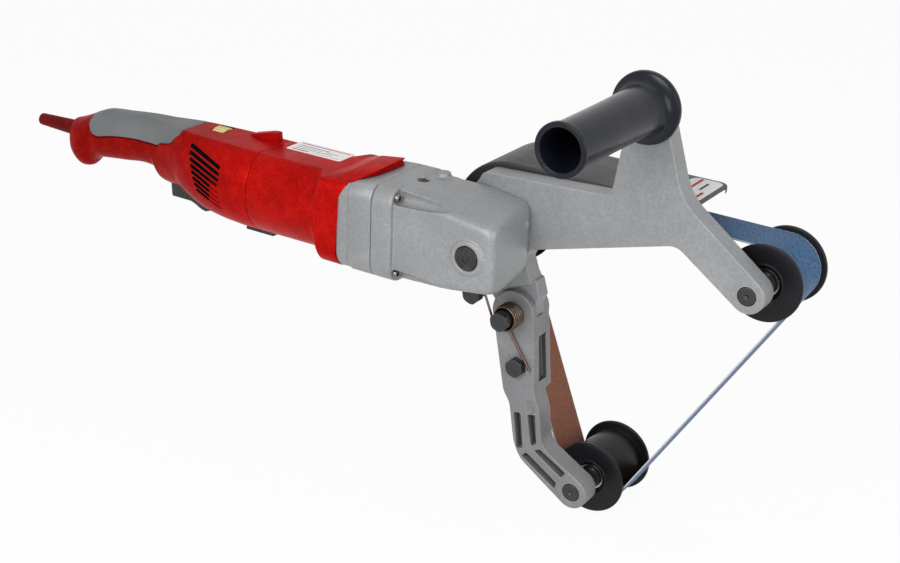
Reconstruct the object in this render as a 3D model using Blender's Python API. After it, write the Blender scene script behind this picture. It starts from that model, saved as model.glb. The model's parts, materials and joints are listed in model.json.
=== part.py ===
"""Pipe grinding machine: an inline motor unit, a right-angle gear case and a three-roller belt frame.

Working frame: X runs along the motor axis towards the rollers, Y runs along the spindle away from the
gear case, Z is up. Both axes cross at the origin while the pieces are made. The last step moves the
whole machine, so that its origin is at the middle of its box, on the level of its lowest point.
"""
import bpy
import bmesh
from math import acos, asin, atan2, ceil, cos, hypot, inf, pi, radians, sin
from mathutils import Vector

for old in list(bpy.data.objects):
    bpy.data.objects.remove(old, do_unlink=True)

# Shared fits
GAP = 0.0003                  # air kept between two pieces that touch
RUN_GAP = 0.0006              # air round a piece that turns
HOLE_SLACK = 0.0003           # radial slack of a bolt or an axle in its hole
WELD_LAP = 0.0010             # how far two joined bodies run into each other before they are united
CUT_OVER = 0.0020             # how far a cutter runs past the face that it opens

# Belt, a 40 x 820 mm abrasive loop
BELT_WIDTH = 0.0400
BELT_THICK = 0.0011
BELT_ARC_STEPS = 10
BELT_RUN_STEPS = 4

# Idler rollers: flanges, crowned drum and hub recess
ROLLER_NEAR_Y = 0.0604
ROLLER_WIDTH = 0.0492
FLANGE_R = 0.0297
FLANGE_THICK = 0.0032
FLANGE_ROUND = 0.0008
DRUM_MID_R = 0.0245
DRUM_END_R = 0.0228
DRUM_FLAT_SHARE = 0.30        # share of the roller's width that the crown keeps level
RECESS_R = 0.0140
RECESS_DEPTH = 0.0030
ROLLER_BORE_R = 0.0113
DRIVE_FLANGE_R = 0.0345
DRIVE_BORE_R = 0.0075

# Places of the three roller axes in the XZ plane; the drive roller turns on the spindle at the origin
UPPER_X = 0.2058
UPPER_Z = -0.0017
LOWER_X = 0.0803
LOWER_Z = -0.2027

# Axles of the idler rollers
AXLE_END_R = 0.0070
AXLE_JOURNAL_R = 0.0050
AXLE_SHOULDER_R = 0.0085
AXLE_SOCKET_R = 0.0022
AXLE_SOCKET_DEPTH = 0.0030
AXLE_NUT_R = 0.0082
AXLE_NUT_THICK = 0.0055
AXLE_TAIL = 0.0015
BEARING_R = ROLLER_BORE_R - RUN_GAP
BEARING_WIDTH = 0.0080
BEARING_SLEEVE_R = 0.0080

# Frame casting behind the gear case
FRAME_NEAR_Y = 0.0307
FRAME_THICK = 0.0170
FRAME_EDGE = 0.0013
FRAME_FAR_Y = FRAME_NEAR_Y + FRAME_THICK
PLATE_LEFT_X = -0.0146
PLATE_TOP_LEFT_Z = 0.0425
PLATE_TOP_RIGHT_X = 0.0942
PLATE_TOP_RIGHT_Z = 0.0476
PLATE_CORNER_R = 0.0050
PLATE_LEAN = 0.0120           # how far the plate's left side leans out down to the spindle's level
BULGE_R = 0.0335              # the plate's round left side, about the spindle
BULGE_ARC = (150.0, 232.0)
HANDLE_X = 0.1176
HANDLE_Z = 0.1189
UPRIGHT_TOP_R = 0.0125
UPRIGHT_RIGHT_X = 0.1502
UPRIGHT_RIGHT_Z = 0.0570
UPRIGHT_ROUND = 0.0120
INNER_ROUND = 0.0040
ARM_HALF_WIDTH = 0.0133
CROTCH_X = 0.1490
CROTCH_Z = 0.0222
LOBE_INNER_X = 0.0305
LOBE_INNER_Z = -0.0105
LOBE_WAIST_X = 0.0268
LOBE_WAIST_Z = -0.0200
LOBE_LOW_X = 0.0330
LOBE_LOW_Z = -0.0375
STEP_X = -0.0010
STEP_Z = -0.0523
STOP_BOSS_R = 0.0082
STOP_BOSS_ARC = (190.0, 262.0)
TONGUE_NEAR_Y = 0.0364
TONGUE_FAR_Y = 0.0500
TONGUE_R = 0.0170
TONGUE_ARC = (180.0, 382.0)
TONGUE_TOP_Z = -0.0260
TONGUE_LEFT_X = -0.0080
TONGUE_PAD_X = 0.0385
TONGUE_PAD_TOP_Z = -0.0370
TONGUE_PAD_LOW_Z = -0.0500
TONGUE_PAD_SLOPE = 0.0040
TONGUE_INSET = 0.0010         # keeps the tongue's outline off the lobe's own
SPINDLE_SEAT_R = 0.0163
SEAT_RING_R = 0.0215
SEAT_RING_DEPTH = 0.0040

# Tension arm
PIVOT_X = 0.0195
PIVOT_Z = -0.0655
PIVOT_HUB_R = 0.0185
REAR_LUG_R = 0.0168
ARM_NEAR_Y = 0.0300
NEAR_LUG_FAR_Y = TONGUE_NEAR_Y - RUN_GAP
REAR_LUG_NEAR_Y = TONGUE_FAR_Y + RUN_GAP
ARM_DEEP_FAR_Y = 0.0575
ARM_LOW_FAR_Y = 0.0475
FORK_CLEAR_R = TONGUE_R + RUN_GAP
ARM_END_R = 0.0134
ARM_EDGE = 0.0011
ARM_LEFT_TOP = (0.0055, -0.0820)
ARM_LEFT_STEP = (0.0145, -0.1330)
ARM_LEFT_LOW = (0.0205, -0.1415)
ARM_LEFT_ELBOW = (0.0262, -0.1745)
ARM_LEFT_BEND = (0.0325, -0.1872)
ARM_RIGHT_TOP = (0.0380, -0.0800)
ARM_RIGHT_MID = (0.0424, -0.1290)
ARM_RIGHT_LOW = (0.0476, -0.1400)
ARM_RIGHT_ELBOW = (0.0518, -0.1712)
ARM_DEEP_LOW_Z = -0.1335
ELBOW_R = 0.0090
REAR_LUG_ARC = (-10.0, 190.0)
DEEP_INSET = 0.0004           # the deeper upper half of the arm lies a little inside the near outline
DEEP_CORNER = 0.0040
FORK_ARC = (180.0, 360.0)     # the fork's floor, round the tongue of the frame
FORK_REACH = 0.0340
SLOT_DEPTH = 0.0060
SLOT_ROUND = 0.0012
# Corners of the four recesses in the near face, as (x, z)
ARM_SLOTS = (
    ((0.0250, -0.1490), (0.0311, -0.1480), (0.0348, -0.1775), (0.0294, -0.1795)),
    ((0.0374, -0.1474), (0.0440, -0.1460), (0.0468, -0.1705), (0.0422, -0.1735)),
    ((0.0342, -0.1850), (0.0384, -0.1808), (0.0668, -0.1986), (0.0655, -0.2042)),
    ((0.0450, -0.1768), (0.0505, -0.1745), (0.0745, -0.1876), (0.0705, -0.1925)),
)
POCKET_DEPTH = 0.0050
POCKET_NEAR_Y = 0.0385
POCKET_FAR_Y = 0.0510
POCKET_TOP_Z = -0.0830
POCKET_LOW_Z = -0.1210

# Bolts with hexagon heads
HEX_R = 0.0082
HEX_THICK = 0.0062
BOLT_R = 0.0050
HEX_CHAMFER = 0.0007
HEX_TURN = 12.0                # degrees by which every hexagon head is turned
HEAD_SIDE_SHARE = 0.5         # share of a round screw head's length that is straight
HEAD_TOP_SHARE = 0.7          # share of its radius that its flat top keeps
PIVOT_HEAD_Y = 0.0080
PIVOT_SLEEVE_R = 0.0072
PIVOT_END_Y = 0.0590
STOP_UP_X = -0.0056
STOP_UP_Z = -0.0490
STOP_UP_HEAD_Y = 0.0070
STOP_UP_SLEEVE_R = 0.0061
STOP_LOW_X = 0.0262
STOP_LOW_Z = -0.1083
STOP_LOW_END_Y = 0.0420

# Torsion spring round the pivot bolt
WIRE_R = 0.0010
COIL_R = 0.0094
COIL_TURNS = 5                # whole turns, besides the part turn that lines up the two legs
COIL_POINTS = 10              # points of the wire's centre line for each turn
UPPER_LEG = 0.0260
LOWER_LEG = 0.0470

# Belt guard: bent sheet with a near flange and a far hem
GUARD_R = 0.0475
GUARD_SHEET = 0.0015
GUARD_NEAR_Y = FRAME_FAR_Y + GAP
GUARD_FAR_Y = 0.1120
GUARD_END_X = 0.1525
GUARD_START = 207.0           # degrees round the spindle where the sheet begins
GUARD_FLANGE = 0.0130
GUARD_HEM = 0.0035
GUARD_CORNER_R = 0.0090
GUARD_ARC_STEPS = 16
GUARD_SCREW_X = (0.0250, 0.0820)
GUARD_SCREW_Z = 0.0385
GUARD_HOLE_DEEP = 0.0110       # blind holes from the casting's far side
GUARD_SCREW_LONG = 0.0120
GUARD_SCREW_HEAD = 0.0022

# Side handle, a hollow grip with a wide guard flange
HANDLE_END_Y = -0.0937
HANDLE_GRIP_R = 0.0174
HANDLE_LIP_R = 0.0191
HANDLE_LIP_LONG = 0.0045
HANDLE_ROOT_R = 0.0183
HANDLE_FLANGE_R = 0.0266
HANDLE_FLANGE_THICK = 0.0050
HANDLE_BORE_R = 0.0152
HANDLE_FLOOR = 0.0110
HANDLE_FILLET = 0.0064
HANDLE_PARALLEL = 0.45        # share of the grip's length before it starts to widen
HANDLE_CURVE = ((1.6, 0.0), (0.7, 0.12), (0.25, 0.40))    # the fillet in its own sizes: (back, out)
HANDLE_EDGE = 0.0020

# Gear case and its flanges
CASE_NEAR_Y = -0.0340
CASE_FAR_Y = FRAME_NEAR_Y - GAP
CASE_BACK_X = -0.0520
CASE_BACK_HALF = 0.0362
CASE_MID_X = -0.0120
CASE_MID_HALF = 0.0344
CASE_TIP_HALF = 0.0300
CASE_TIP_ROUND = 0.0085
NOSE_FALL = 0.25              # share of that rounding by which the top has fallen at the front
CASE_ROUND = 0.0100
# Levels of the near edge's rounding, as shares of CASE_ROUND: (depth behind the near face, margin)
CASE_LEVELS = ((0.0, 0.62), (0.08, 0.40), (0.30, 0.20), (0.75, 0.07), (1.70, 0.0), (5.20, 0.0), (6.44, 0.06))
CASE_NEAR_X = 0.0392          # front of the case near the handle side, and beside the frame
CASE_FAR_X = 0.0298
FLANGE_HALF = 0.0382
FLANGE_CORNER = 0.0155
FLANGE_FRONT_X = -0.0498
FLANGE_SPLIT_X = -0.0680
FLANGE_GROOVE_X = -0.0895
FLANGE_REAR_X = -0.1000
FLANGE_STEP = 0.0007
FLANGE_TOP = 0.0372
FLANGE_TOPS = (
    (FLANGE_REAR_X, 0.0318),
    (FLANGE_GROOVE_X, 0.0334),
    (FLANGE_GROOVE_X + FLANGE_STEP, 0.0341),
    (FLANGE_SPLIT_X - GAP, FLANGE_TOP),
)
CASE_CHAMBER_R = 0.0275
CASE_WALL = 0.0060
CASE_NECK_R = 0.0140
FAN_BORE_R = 0.0290
SCREW_PITCH = 0.0302          # half the spacing of the four case screws
CASE_SCREW_R = 0.0040
CASE_SCREW_HEAD = 0.0032
CASE_SCREW_SHANK_R = 0.0022
GROOVE_R = 0.0058
GROOVE_TAPER = 0.85
GROOVE_LIFT = 0.0010
GROOVE_END_X = -0.0040
SPOT_FACE = 0.0006            # depth of the seats under the four case screws
OIL_SCREW_X = -0.0480
OIL_SCREW_Y = 0.0020
OIL_SCREW_R = 0.0042
OIL_SEAT_Z = 0.0345
OIL_SCREW_TOP = 0.0366
BOSS_X = -0.0420
BOSS_Y = 0.0205
BOSS_R = 0.0066
BOSS_TAPER = 0.84
BOSS_FOOT_Z = 0.0200
BOSS_TOP_Z = 0.0388
NUB_X = 0.0318
NUB_Y = 0.0245
NUB_Z = 0.0122
NUB_R = 0.0026
NUB_LONG = 0.0100
LOCK_X = 0.0155
LOCK_R = 0.0092
LOCK_RING_R = 0.0128
LOCK_RING_RISE = 0.0012
LOCK_RING_SLOPE = 0.0010
LOCK_RING_FOOT = 0.0045
LOCK_PROUD = 0.0024
LOCK_PIN_R = 0.0028
LOCK_EDGE = 0.0012
LOCK_HEAD_LONG = 0.0060
LOCK_TRAVEL = 0.0025

# Motor housing
BARREL_R = 0.0370
BARREL_WALL = 0.0038
UPPER_SQUARE = 0.3            # how much squarer the upper half of the red sections is
DECK_DROP = 0.0040            # how far the flat along the top of both red housings lies below the full round
DECK_Z = BARREL_R - DECK_DROP
SEAM_X = -0.1890
FLARE_START_X = -0.1275
FLARE_END_X = -0.1175
RED_FLANGE_HALF = 0.0384
RED_FLANGE_CORNER = 0.0175
RED_FRONT_X = FLANGE_REAR_X - GAP
RING_POINTS = 32              # points of a section through a housing
DECK_STEPS = 4
DECK_ANGLE = 0.95             # where the deck's edge would lie on a plain round section, radians

# Visor over the joint of the motor and the gear case: (y, front x, top z) across its front edge
VISOR_REAR_X = -0.1155
VISOR_MID_SHARE = 0.42
VISOR_MID_RISE = 0.66
VISOR_THICK = 0.0026
VISOR_GAP = 0.0005
VISOR_EDGE = (
    (-0.0310, -0.0997, 0.0332),
    (-0.0260, -0.0925, 0.0347),
    (-0.0200, -0.0845, 0.0376),
    (-0.0100, -0.0802, 0.0402),
    (0.0000, -0.0790, 0.0412),
    (0.0110, -0.0784, 0.0418),
    (0.0205, -0.0784, 0.0420),
    (0.0260, -0.0850, 0.0380),
    (0.0310, -0.0997, 0.0332),
)

# Hump behind the seam
HUMP_REAR_X = -0.2140
HUMP_CREST_X = -0.1985
HUMP_NEAR_Y = 0.0090
HUMP_FAR_Y = 0.0165
HUMP_TOP = 0.0400
BRUSH_COVER_X = (-0.2120, -0.1840)
BRUSH_COVER_HALF = 0.0085
BRUSH_COVER_THICK = 0.0030
BOX_EDGE = 0.0006             # chamfer of the small boxy pieces

# Rear housing: stations along X as (x, top, bottom, half width, squareness)
REAR_STATIONS = (
    (-0.4062, 0.0124, -0.0165, 0.0092, 2.0),
    (-0.4048, 0.0138, -0.0205, 0.0117, 2.0),
    (-0.4010, 0.0152, -0.0240, 0.0138, 2.0),
    (-0.3950, 0.0173, -0.0265, 0.0158, 2.0),
    (-0.3880, 0.0202, -0.0250, 0.0163, 2.1),
    (-0.3825, 0.0226, -0.0188, 0.0163, 2.1),
    (-0.3760, 0.0255, -0.0152, 0.0163, 2.1),
    (-0.3670, 0.0285, -0.0138, 0.0165, 2.2),
    (-0.3450, 0.0308, -0.0112, 0.0168, 2.2),
    (-0.3210, 0.0332, -0.0086, 0.0172, 2.2),
    (-0.3085, 0.0340, -0.0098, 0.0176, 2.2),
    (-0.3015, 0.0344, -0.0188, 0.0184, 2.2),
    (-0.2950, 0.0350, -0.0200, 0.0198, 2.2),
    (-0.2770, 0.0362, -0.0208, 0.0245, 2.2),
    (-0.2650, 0.0366, -0.0255, 0.0290, 2.1),
    (-0.2470, 0.0366, -0.0325, BARREL_R - 0.0035, 2.0),
    (-0.2260, BARREL_R - 0.0003, 0.0012 - BARREL_R, BARREL_R - 0.0010, 2.0),
    (-0.2080, BARREL_R, -BARREL_R, BARREL_R, 2.0),
)
REAR_WALL = 0.0030
HOLLOW_STATIONS = (-0.2260, -0.2470, -0.2650, -0.2770, -0.2950, -0.3210, -0.3450, -0.3670, -0.3825)

# Soft overlay on the grip: (x, height of its lower edge)
OVERLAY_EDGE = (
    (-0.3790, 0.0200),
    (-0.3760, 0.0125),
    (-0.3725, 0.0088),
    (-0.3680, 0.0080),
    (-0.3580, 0.0102),
    (-0.3450, 0.0128),
    (-0.3210, 0.0152),
    (-0.2975, 0.0157),
    (-0.2945, 0.0182),
    (-0.2850, 0.0205),
    (-0.2765, 0.0228),
    (-0.2720, 0.0270),
    (-0.2640, 0.0303),
)
OVERLAY_THICK = 0.0018
OVERLAY_TOP_POINTS = 10
OVERLAY_LOW_POINTS = 9
OVERLAY_SEAM = 0.0350         # radians between the two edges of the seam
OVERLAY_START = 0.0120        # radians from the seam's upper edge to the overlay
DECK_LIMIT = 0.93             # keeps the deck's edges apart where the grip is lower than the deck
EDGE_LIMIT = 0.95             # keeps the overlay's edge off the top and the bottom of a section

# Cord sleeve
SLEEVE_Z = 0.0038
SLEEVE_REAR_X = -0.4485
SLEEVE_FRONT_X = -0.3970
SLEEVE_ROOT_X = -0.4100
SLEEVE_HOLE_X = (-0.4300, -0.3750)
SLEEVE_ROOT_R = 0.0066
SLEEVE_TIP_R = 0.0051
SLEEVE_BORE_R = 0.0034
SLEEVE_EDGE = 0.0008

# Vents
VENT_COUNT = 8
VENT_FIRST = (-0.2550, 0.0, 0.0270)    # rear end of the top slot
VENT_REAR_STEP = (0.0017, 0.0, -0.0047)
VENT_FRONT = (-0.2172, 0.0, 0.0173)    # front end of the top slot
VENT_FRONT_STEP = (0.0, 0.0, -0.0049)
VENT_HIGH = 0.0026
VENT_INNER_Y = 0.0150
VENT_OUTER_Y = 0.0450

# Trigger
TRIGGER_HALF = 0.0080
TRIGGER_REAR_X = -0.2935
TRIGGER_FRONT_X = -0.2420
TRIGGER_PIVOT_X = -0.2470
TRIGGER_PIVOT_Z = -0.0275
TRIGGER_ROOF_Z = -0.0145
TRIGGER_FLOOR_Z = -0.0302
TRIGGER_NOSE_Z = -0.0358
TRIGGER_CURL_X = -0.2740      # where the finger's hollow starts to turn down
TRIGGER_CURL_LONG = 0.0180
TRIGGER_NOSE_ARC = (-60.0, 60.0)
TRIGGER_ROUND = 0.0010
TRIGGER_SLOT_SIDE = 0.0008
TRIGGER_SLOT_END = 0.0012

# Speed wheel
WHEEL_X = -0.2500
WHEEL_Y = 0.0085
WHEEL_Z = 0.0219
WHEEL_R = 0.0126
WHEEL_WIDTH = 0.0120
WHEEL_TEETH = 20
WHEEL_TOOTH = 0.0005
WHEEL_BORE_R = 0.0020

# Switch block in the grip
SWITCH_REAR_X = -0.3050
SWITCH_FRONT_X = -0.2700
SWITCH_HALF = 0.0075
SWITCH_LOW_Z = -0.0040
SWITCH_TOP_Z = 0.0272

# Motor inside the housing
STATOR_R = BARREL_R - BARREL_WALL - GAP
STATOR_BORE_R = 0.0205
CORE_R = 0.0195
CORE_REAR_X = -0.1680
CORE_FRONT_X = -0.1220
WINDING_R = 0.0165
WINDING_LONG = 0.0080
SHAFT_R = 0.0050
SHAFT_REAR_X = -0.2200
PINION_REAR_X = -0.0290
PINION_FRONT_X = -0.0150
PINION_R = 0.0085
PINION_TIP_R = 0.0050
COMMUTATOR_R = 0.0115
COMMUTATOR_X = (-0.2050, -0.1885)
REAR_BEARING_X = (-0.2170, -0.2090)
REAR_BEARING_R = 0.0095
SPIDER_R = 0.0310
SPIDER_TOP = 0.0272
SPIDER_LIP = 0.0035
FRONT_BEARING_X = (-0.0660, -0.0560)
FRONT_BEARING_R = CASE_NECK_R - GAP
FAN_X = (-0.0965, -0.0830)
FAN_R = 0.0275
FAN_HUB_R = 0.0110
FAN_PLATE = 0.0025
FAN_BLADES = 9
FAN_BLADE = 0.0016
BRUSH_HALF = 0.0032
BRUSH_LONG = 0.0110
BRUSH_X = (-0.2005, -0.1935)

# Gear train and spindle
CROWN_R = 0.0262
CROWN_FACE_Y = 0.0112
CROWN_BACK_Y = 0.0215
CROWN_CONE_R = 0.0135
CROWN_CONE = 0.0040
SPINDLE_R = 0.0070
SPINDLE_NEAR_Y = -0.0220
SPINDLE_FAR_Y = 0.1150
SPINDLE_BEARING_Y = (0.0330, 0.0440)
DRIVE_NUT_R = 0.0125
DRIVE_NUT_Y = (0.1100, 0.1135)

# Screws that hold the frame casting to the gear case
FRAME_SCREW_RING_R = 0.0258
FRAME_SCREW_ANGLES = (45.0, 135.0, 225.0, 315.0)
FRAME_SCREW_R = 0.0040
FRAME_SCREW_HEAD = 0.0040
FRAME_SCREW_SHANK_R = 0.0024
FRAME_SCREW_LONG = FRAME_THICK

ROUND_STEPS = 26              # facets of a large turned piece
RING_STEPS = 16               # facets of a bearing, an axle or a shaft
SMALL_STEPS = 10              # facets of a small turned piece
HEX_SIDES = 6
HUB_STEPS = 14                # steps along the arcs of the outlines
END_STEPS = 10
FEW_STEPS = 4

# Faces of a box whose corners are two rings of four
BOX_FACES = ((0, 1, 2, 3), (4, 7, 6, 5), (0, 4, 5, 1), (1, 5, 6, 2), (2, 6, 7, 3), (3, 7, 4, 0))

X_AXIS = Vector((1, 0, 0))
Y_AXIS = Vector((0, 1, 0))
Z_AXIS = Vector((0, 0, 1))


# Materials
def paint(name, colour, roughness, metallic=0.0):
    made = bpy.data.materials.new(name)
    made.use_nodes = True
    made.diffuse_color = (*colour, 1.0)
    shader = made.node_tree.nodes["Principled BSDF"]
    shader.inputs["Base Color"].default_value = (*colour, 1.0)
    shader.inputs["Roughness"].default_value = roughness
    shader.inputs["Metallic"].default_value = metallic
    return made


RED = paint("red_housing", (0.60, 0.020, 0.022), 0.34)
DARK_RED = paint("dark_red_sleeve", (0.20, 0.012, 0.012), 0.50)
SOFT_GREY = paint("soft_grip_grey", (0.19, 0.20, 0.20), 0.80)
CAST_GREY = paint("cast_grey", (0.30, 0.31, 0.32), 0.55, 0.30)
BLACK = paint("black_plastic", (0.018, 0.018, 0.021), 0.45)
RUBBER = paint("black_rubber", (0.015, 0.015, 0.016), 0.70)
YELLOW = paint("pale_yellow", (0.72, 0.55, 0.22), 0.45)
BOLT_BLACK = paint("black_oxide_steel", (0.035, 0.036, 0.040), 0.40, 0.80)
BRIGHT = paint("bright_steel", (0.62, 0.63, 0.65), 0.25, 1.0)
SPRING_STEEL = paint("spring_steel", (0.30, 0.20, 0.15), 0.35, 0.9)
GUARD_DARK = paint("dark_sheet", (0.075, 0.072, 0.075), 0.50, 0.30)
BELT_BLUE = paint("abrasive_blue", (0.055, 0.130, 0.270), 0.90)
COPPER = paint("copper", (0.55, 0.22, 0.10), 0.35, 1.0)
CARBON = paint("carbon", (0.03, 0.03, 0.03), 0.60)
IRON = paint("laminated_iron", (0.22, 0.22, 0.23), 0.50, 0.8)


# Mesh helpers
def place(name, verts, faces, material, at=(0, 0, 0), smooth=35.0):
    """Makes an object whose origin is at the given point from vertices in the working frame."""
    origin = Vector(at)
    mesh = bpy.data.meshes.new(name)
    mesh.from_pydata([tuple(Vector(v) - origin) for v in verts], [], faces)
    shell = bmesh.new()
    shell.from_mesh(mesh)
    bmesh.ops.recalc_face_normals(shell, faces=shell.faces)
    shell.to_mesh(mesh)
    shell.free()
    if smooth:
        mesh.shade_smooth()
        mesh.set_sharp_from_angle(angle=radians(smooth))
    made = bpy.data.objects.new(name, mesh)
    made.location = origin
    bpy.context.scene.collection.objects.link(made)
    if material:
        mesh.materials.append(material)
    return made


def loft(rings, loop=False):
    """Vertices and faces of a closed skin through rings of equal length, capped at both ends."""
    count = len(rings[0])
    verts = [v for ring in rings for v in ring]
    faces = []
    spans = len(rings) if loop else len(rings) - 1
    for i in range(spans):
        a = i * count
        b = ((i + 1) % len(rings)) * count
        for j in range(count):
            k = (j + 1) % count
            faces.append((a + j, a + k, b + k, b + j))
    if not loop:
        faces.append(tuple(range(count)))
        faces.append(tuple(range(len(verts) - count, len(verts))))
    return verts, faces


def skin(name, rings, material, at=(0, 0, 0), loop=False, smooth=35.0):
    verts, faces = loft(rings, loop)
    return place(name, verts, faces, material, at, smooth)


def turned(name, profile, axis, centre, material, steps=ROUND_STEPS, at=None, phase=0.0):
    """Turns a profile of (radius, distance along the axis) points; zero radii close it on the axis."""
    side = Y_AXIS if axis == X_AXIS else X_AXIS
    other = axis.cross(side)
    middle = Vector(centre)
    verts = []
    rows = []
    for radius, along in profile:
        spot = middle + axis * along
        if radius == 0:
            rows.append([len(verts)])
            verts.append(spot)
            continue
        row = []
        for i in range(steps):
            angle = phase + 2 * pi * i / steps
            row.append(len(verts))
            verts.append(spot + (side * cos(angle) + other * sin(angle)) * radius)
        rows.append(row)
    faces = []
    closed = len(rows[0]) > 1
    spans = len(rows) if closed else len(rows) - 1
    for i in range(spans):
        low = rows[i]
        high = rows[(i + 1) % len(rows)]
        for j in range(steps):
            k = (j + 1) % steps
            if len(low) == 1 and len(high) == 1:
                continue
            if len(low) == 1:
                faces.append((low[0], high[k], high[j]))
            elif len(high) == 1:
                faces.append((low[j], low[k], high[0]))
            else:
                faces.append((low[j], low[k], high[k], high[j]))
    return place(name, verts, faces, material, middle if at is None else at)


def rod_profile(radius, start, end, edge):
    """A plain cylinder's profile with small chamfers."""
    return [
        (0, start),
        (radius - edge, start),
        (radius, start + edge),
        (radius, end - edge),
        (radius - edge, end),
        (0, end),
    ]


def prism(name, outline, near, far, material, at=(0, 0, 0), smooth=35.0):
    """A plate: an outline of (x, z) points carried along Y."""
    low = [Vector((x, near, z)) for x, z in outline]
    high = [Vector((x, far, z)) for x, z in outline]
    return skin(name, [low, high], material, at, smooth=smooth)


def block(name, low, high, material, at=(0, 0, 0)):
    outline = [(low[0], low[2]), (high[0], low[2]), (high[0], high[2]), (low[0], high[2])]
    return prism(name, outline, low[1], high[1], material, at, smooth=0.0)


def soften(made, width, segments=2, angle=40.0):
    edge = made.modifiers.new("edges", "BEVEL")
    edge.width = width
    edge.segments = segments
    edge.limit_method = "ANGLE"
    edge.angle_limit = radians(angle)
    return made


def combine(target, tool, operation):
    tool.hide_render = True
    tool.display_type = "WIRE"
    change = target.modifiers.new(operation.lower() + "_" + tool.name, "BOOLEAN")
    change.operation = operation
    change.solver = "EXACT"
    change.object = tool
    return target


def cut(target, tool):
    return combine(target, tool, "DIFFERENCE")


def unite(target, tool):
    return combine(target, tool, "UNION")


def swept(cx, cz, radius, start, turn, steps):
    """Points on a circle in the XZ plane, from a start angle through a turn, both in radians."""
    points = []
    for i in range(steps + 1):
        angle = start + turn * i / steps
        points.append((cx + radius * cos(angle), cz + radius * sin(angle)))
    return points


def arc(cx, cz, radius, start, end, steps):
    """Points on a circle in the XZ plane; the angles are in degrees from +X towards +Z."""
    return swept(cx, cz, radius, radians(start), radians(end - start), steps)


def fillet(before, corner, after, radius, steps=4):
    """Points that round one corner of an outline."""
    a = Vector(before) - Vector(corner)
    b = Vector(after) - Vector(corner)
    half = a.angle(b) / 2
    reach = radius / sin(half) * cos(half)
    one = Vector(corner) + a.normalized() * reach
    two = Vector(corner) + b.normalized() * reach
    middle = Vector(corner) + (a.normalized() + b.normalized()).normalized() * (radius / sin(half))
    first = atan2(one.y - middle.y, one.x - middle.x)
    last = atan2(two.y - middle.y, two.x - middle.x)
    turn = (last - first + pi) % (2 * pi) - pi
    return swept(middle.x, middle.y, radius, first, turn, steps)


def rounded(points, radius, steps):
    """An outline with all its corners rounded."""
    made = []
    for i, point in enumerate(points):
        made += fillet(points[i - 1], point, points[(i + 1) % len(points)], radius, steps)
    return made


def tangent(point, cx, cz, radius, side):
    """The point where a line from the given point touches a circle, on the chosen side."""
    dx = point[0] - cx
    dz = point[1] - cz
    reach = hypot(dx, dz)
    angle = atan2(dz, dx) + side * acos(radius / reach)
    return cx + radius * cos(angle), cz + radius * sin(angle), angle


def hex_bolt(name, x, z, profile, head_near, material):
    """A bolt along +Y: a chamfered hexagon head united with a turned shank."""
    shank = turned(name, profile, Y_AXIS, (x, 0, z), material, SMALL_STEPS)
    head_profile = [
        (0, head_near),
        (HEX_R - 2 * HEX_CHAMFER, head_near),
        (HEX_R, head_near + HEX_CHAMFER),
        (HEX_R, head_near + HEX_THICK),
        (0, head_near + HEX_THICK),
    ]
    turn = radians(HEX_TURN)
    head = turned(name + "_head_form", head_profile, Y_AXIS, (x, 0, z), None, HEX_SIDES, phase=turn)
    return unite(shank, head)


def make_nut(name, x, z, near, far, reach, bore_r):
    """A hexagon nut round a shaft along Y; its bore is round."""
    corners = 2 * HEX_SIDES
    outer = []
    inner = []
    for i in range(corners):
        out = Vector((cos(2 * pi * i / corners), 0, sin(2 * pi * i / corners)))
        outer.append(out * (reach if i % 2 == 0 else reach * cos(pi / HEX_SIDES)))
        inner.append(out * bore_r / cos(pi / corners))
    rings = []
    for ring, y in ((outer, near), (outer, far), (inner, far), (inner, near)):
        rings.append([point + Vector((x, y, z)) for point in ring])
    return skin(name, rings, BRIGHT, (x, 0, z), loop=True)


def screw_profile(tip, seat, shank_r, head_r, head_long):
    """A screw from its tip to its head, which lies past the seat and has a sloped rim."""
    return [
        (0, tip),
        (shank_r, tip),
        (shank_r, seat),
        (head_r, seat),
        (head_r, seat + head_long * HEAD_SIDE_SHARE),
        (head_r * HEAD_TOP_SHARE, seat + head_long),
        (0, seat + head_long),
    ]


# Belt: the loop round three equal circles
BELT_IN_R = DRUM_MID_R + GAP
BELT_OUT_R = BELT_IN_R + BELT_THICK
ROLLER_MID_Y = ROLLER_NEAR_Y + ROLLER_WIDTH / 2
BELT_NEAR_Y = ROLLER_MID_Y - BELT_WIDTH / 2
BELT_FAR_Y = ROLLER_MID_Y + BELT_WIDTH / 2
ROLLER_CENTRES = ((0.0, 0.0), (LOWER_X, LOWER_Z), (UPPER_X, UPPER_Z))


def belt_path(radius, arc_steps, straight_steps):
    """The loop's outline in the XZ plane, anticlockwise round the three roller centres."""
    points = []
    count = len(ROLLER_CENTRES)
    for i, (cx, cz) in enumerate(ROLLER_CENTRES):
        before = ROLLER_CENTRES[i - 1]
        after = ROLLER_CENTRES[(i + 1) % count]
        come = atan2(cz - before[1], cx - before[0]) - pi / 2
        leave = atan2(after[1] - cz, after[0] - cx) - pi / 2
        points += swept(cx, cz, radius, come, (leave - come) % (2 * pi), arc_steps)
        start = points[-1]
        end = (after[0] + radius * cos(leave), after[1] + radius * sin(leave))
        for j in range(1, straight_steps):
            share = j / straight_steps
            points.append((start[0] + (end[0] - start[0]) * share, start[1] + (end[1] - start[1]) * share))
    return points


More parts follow.
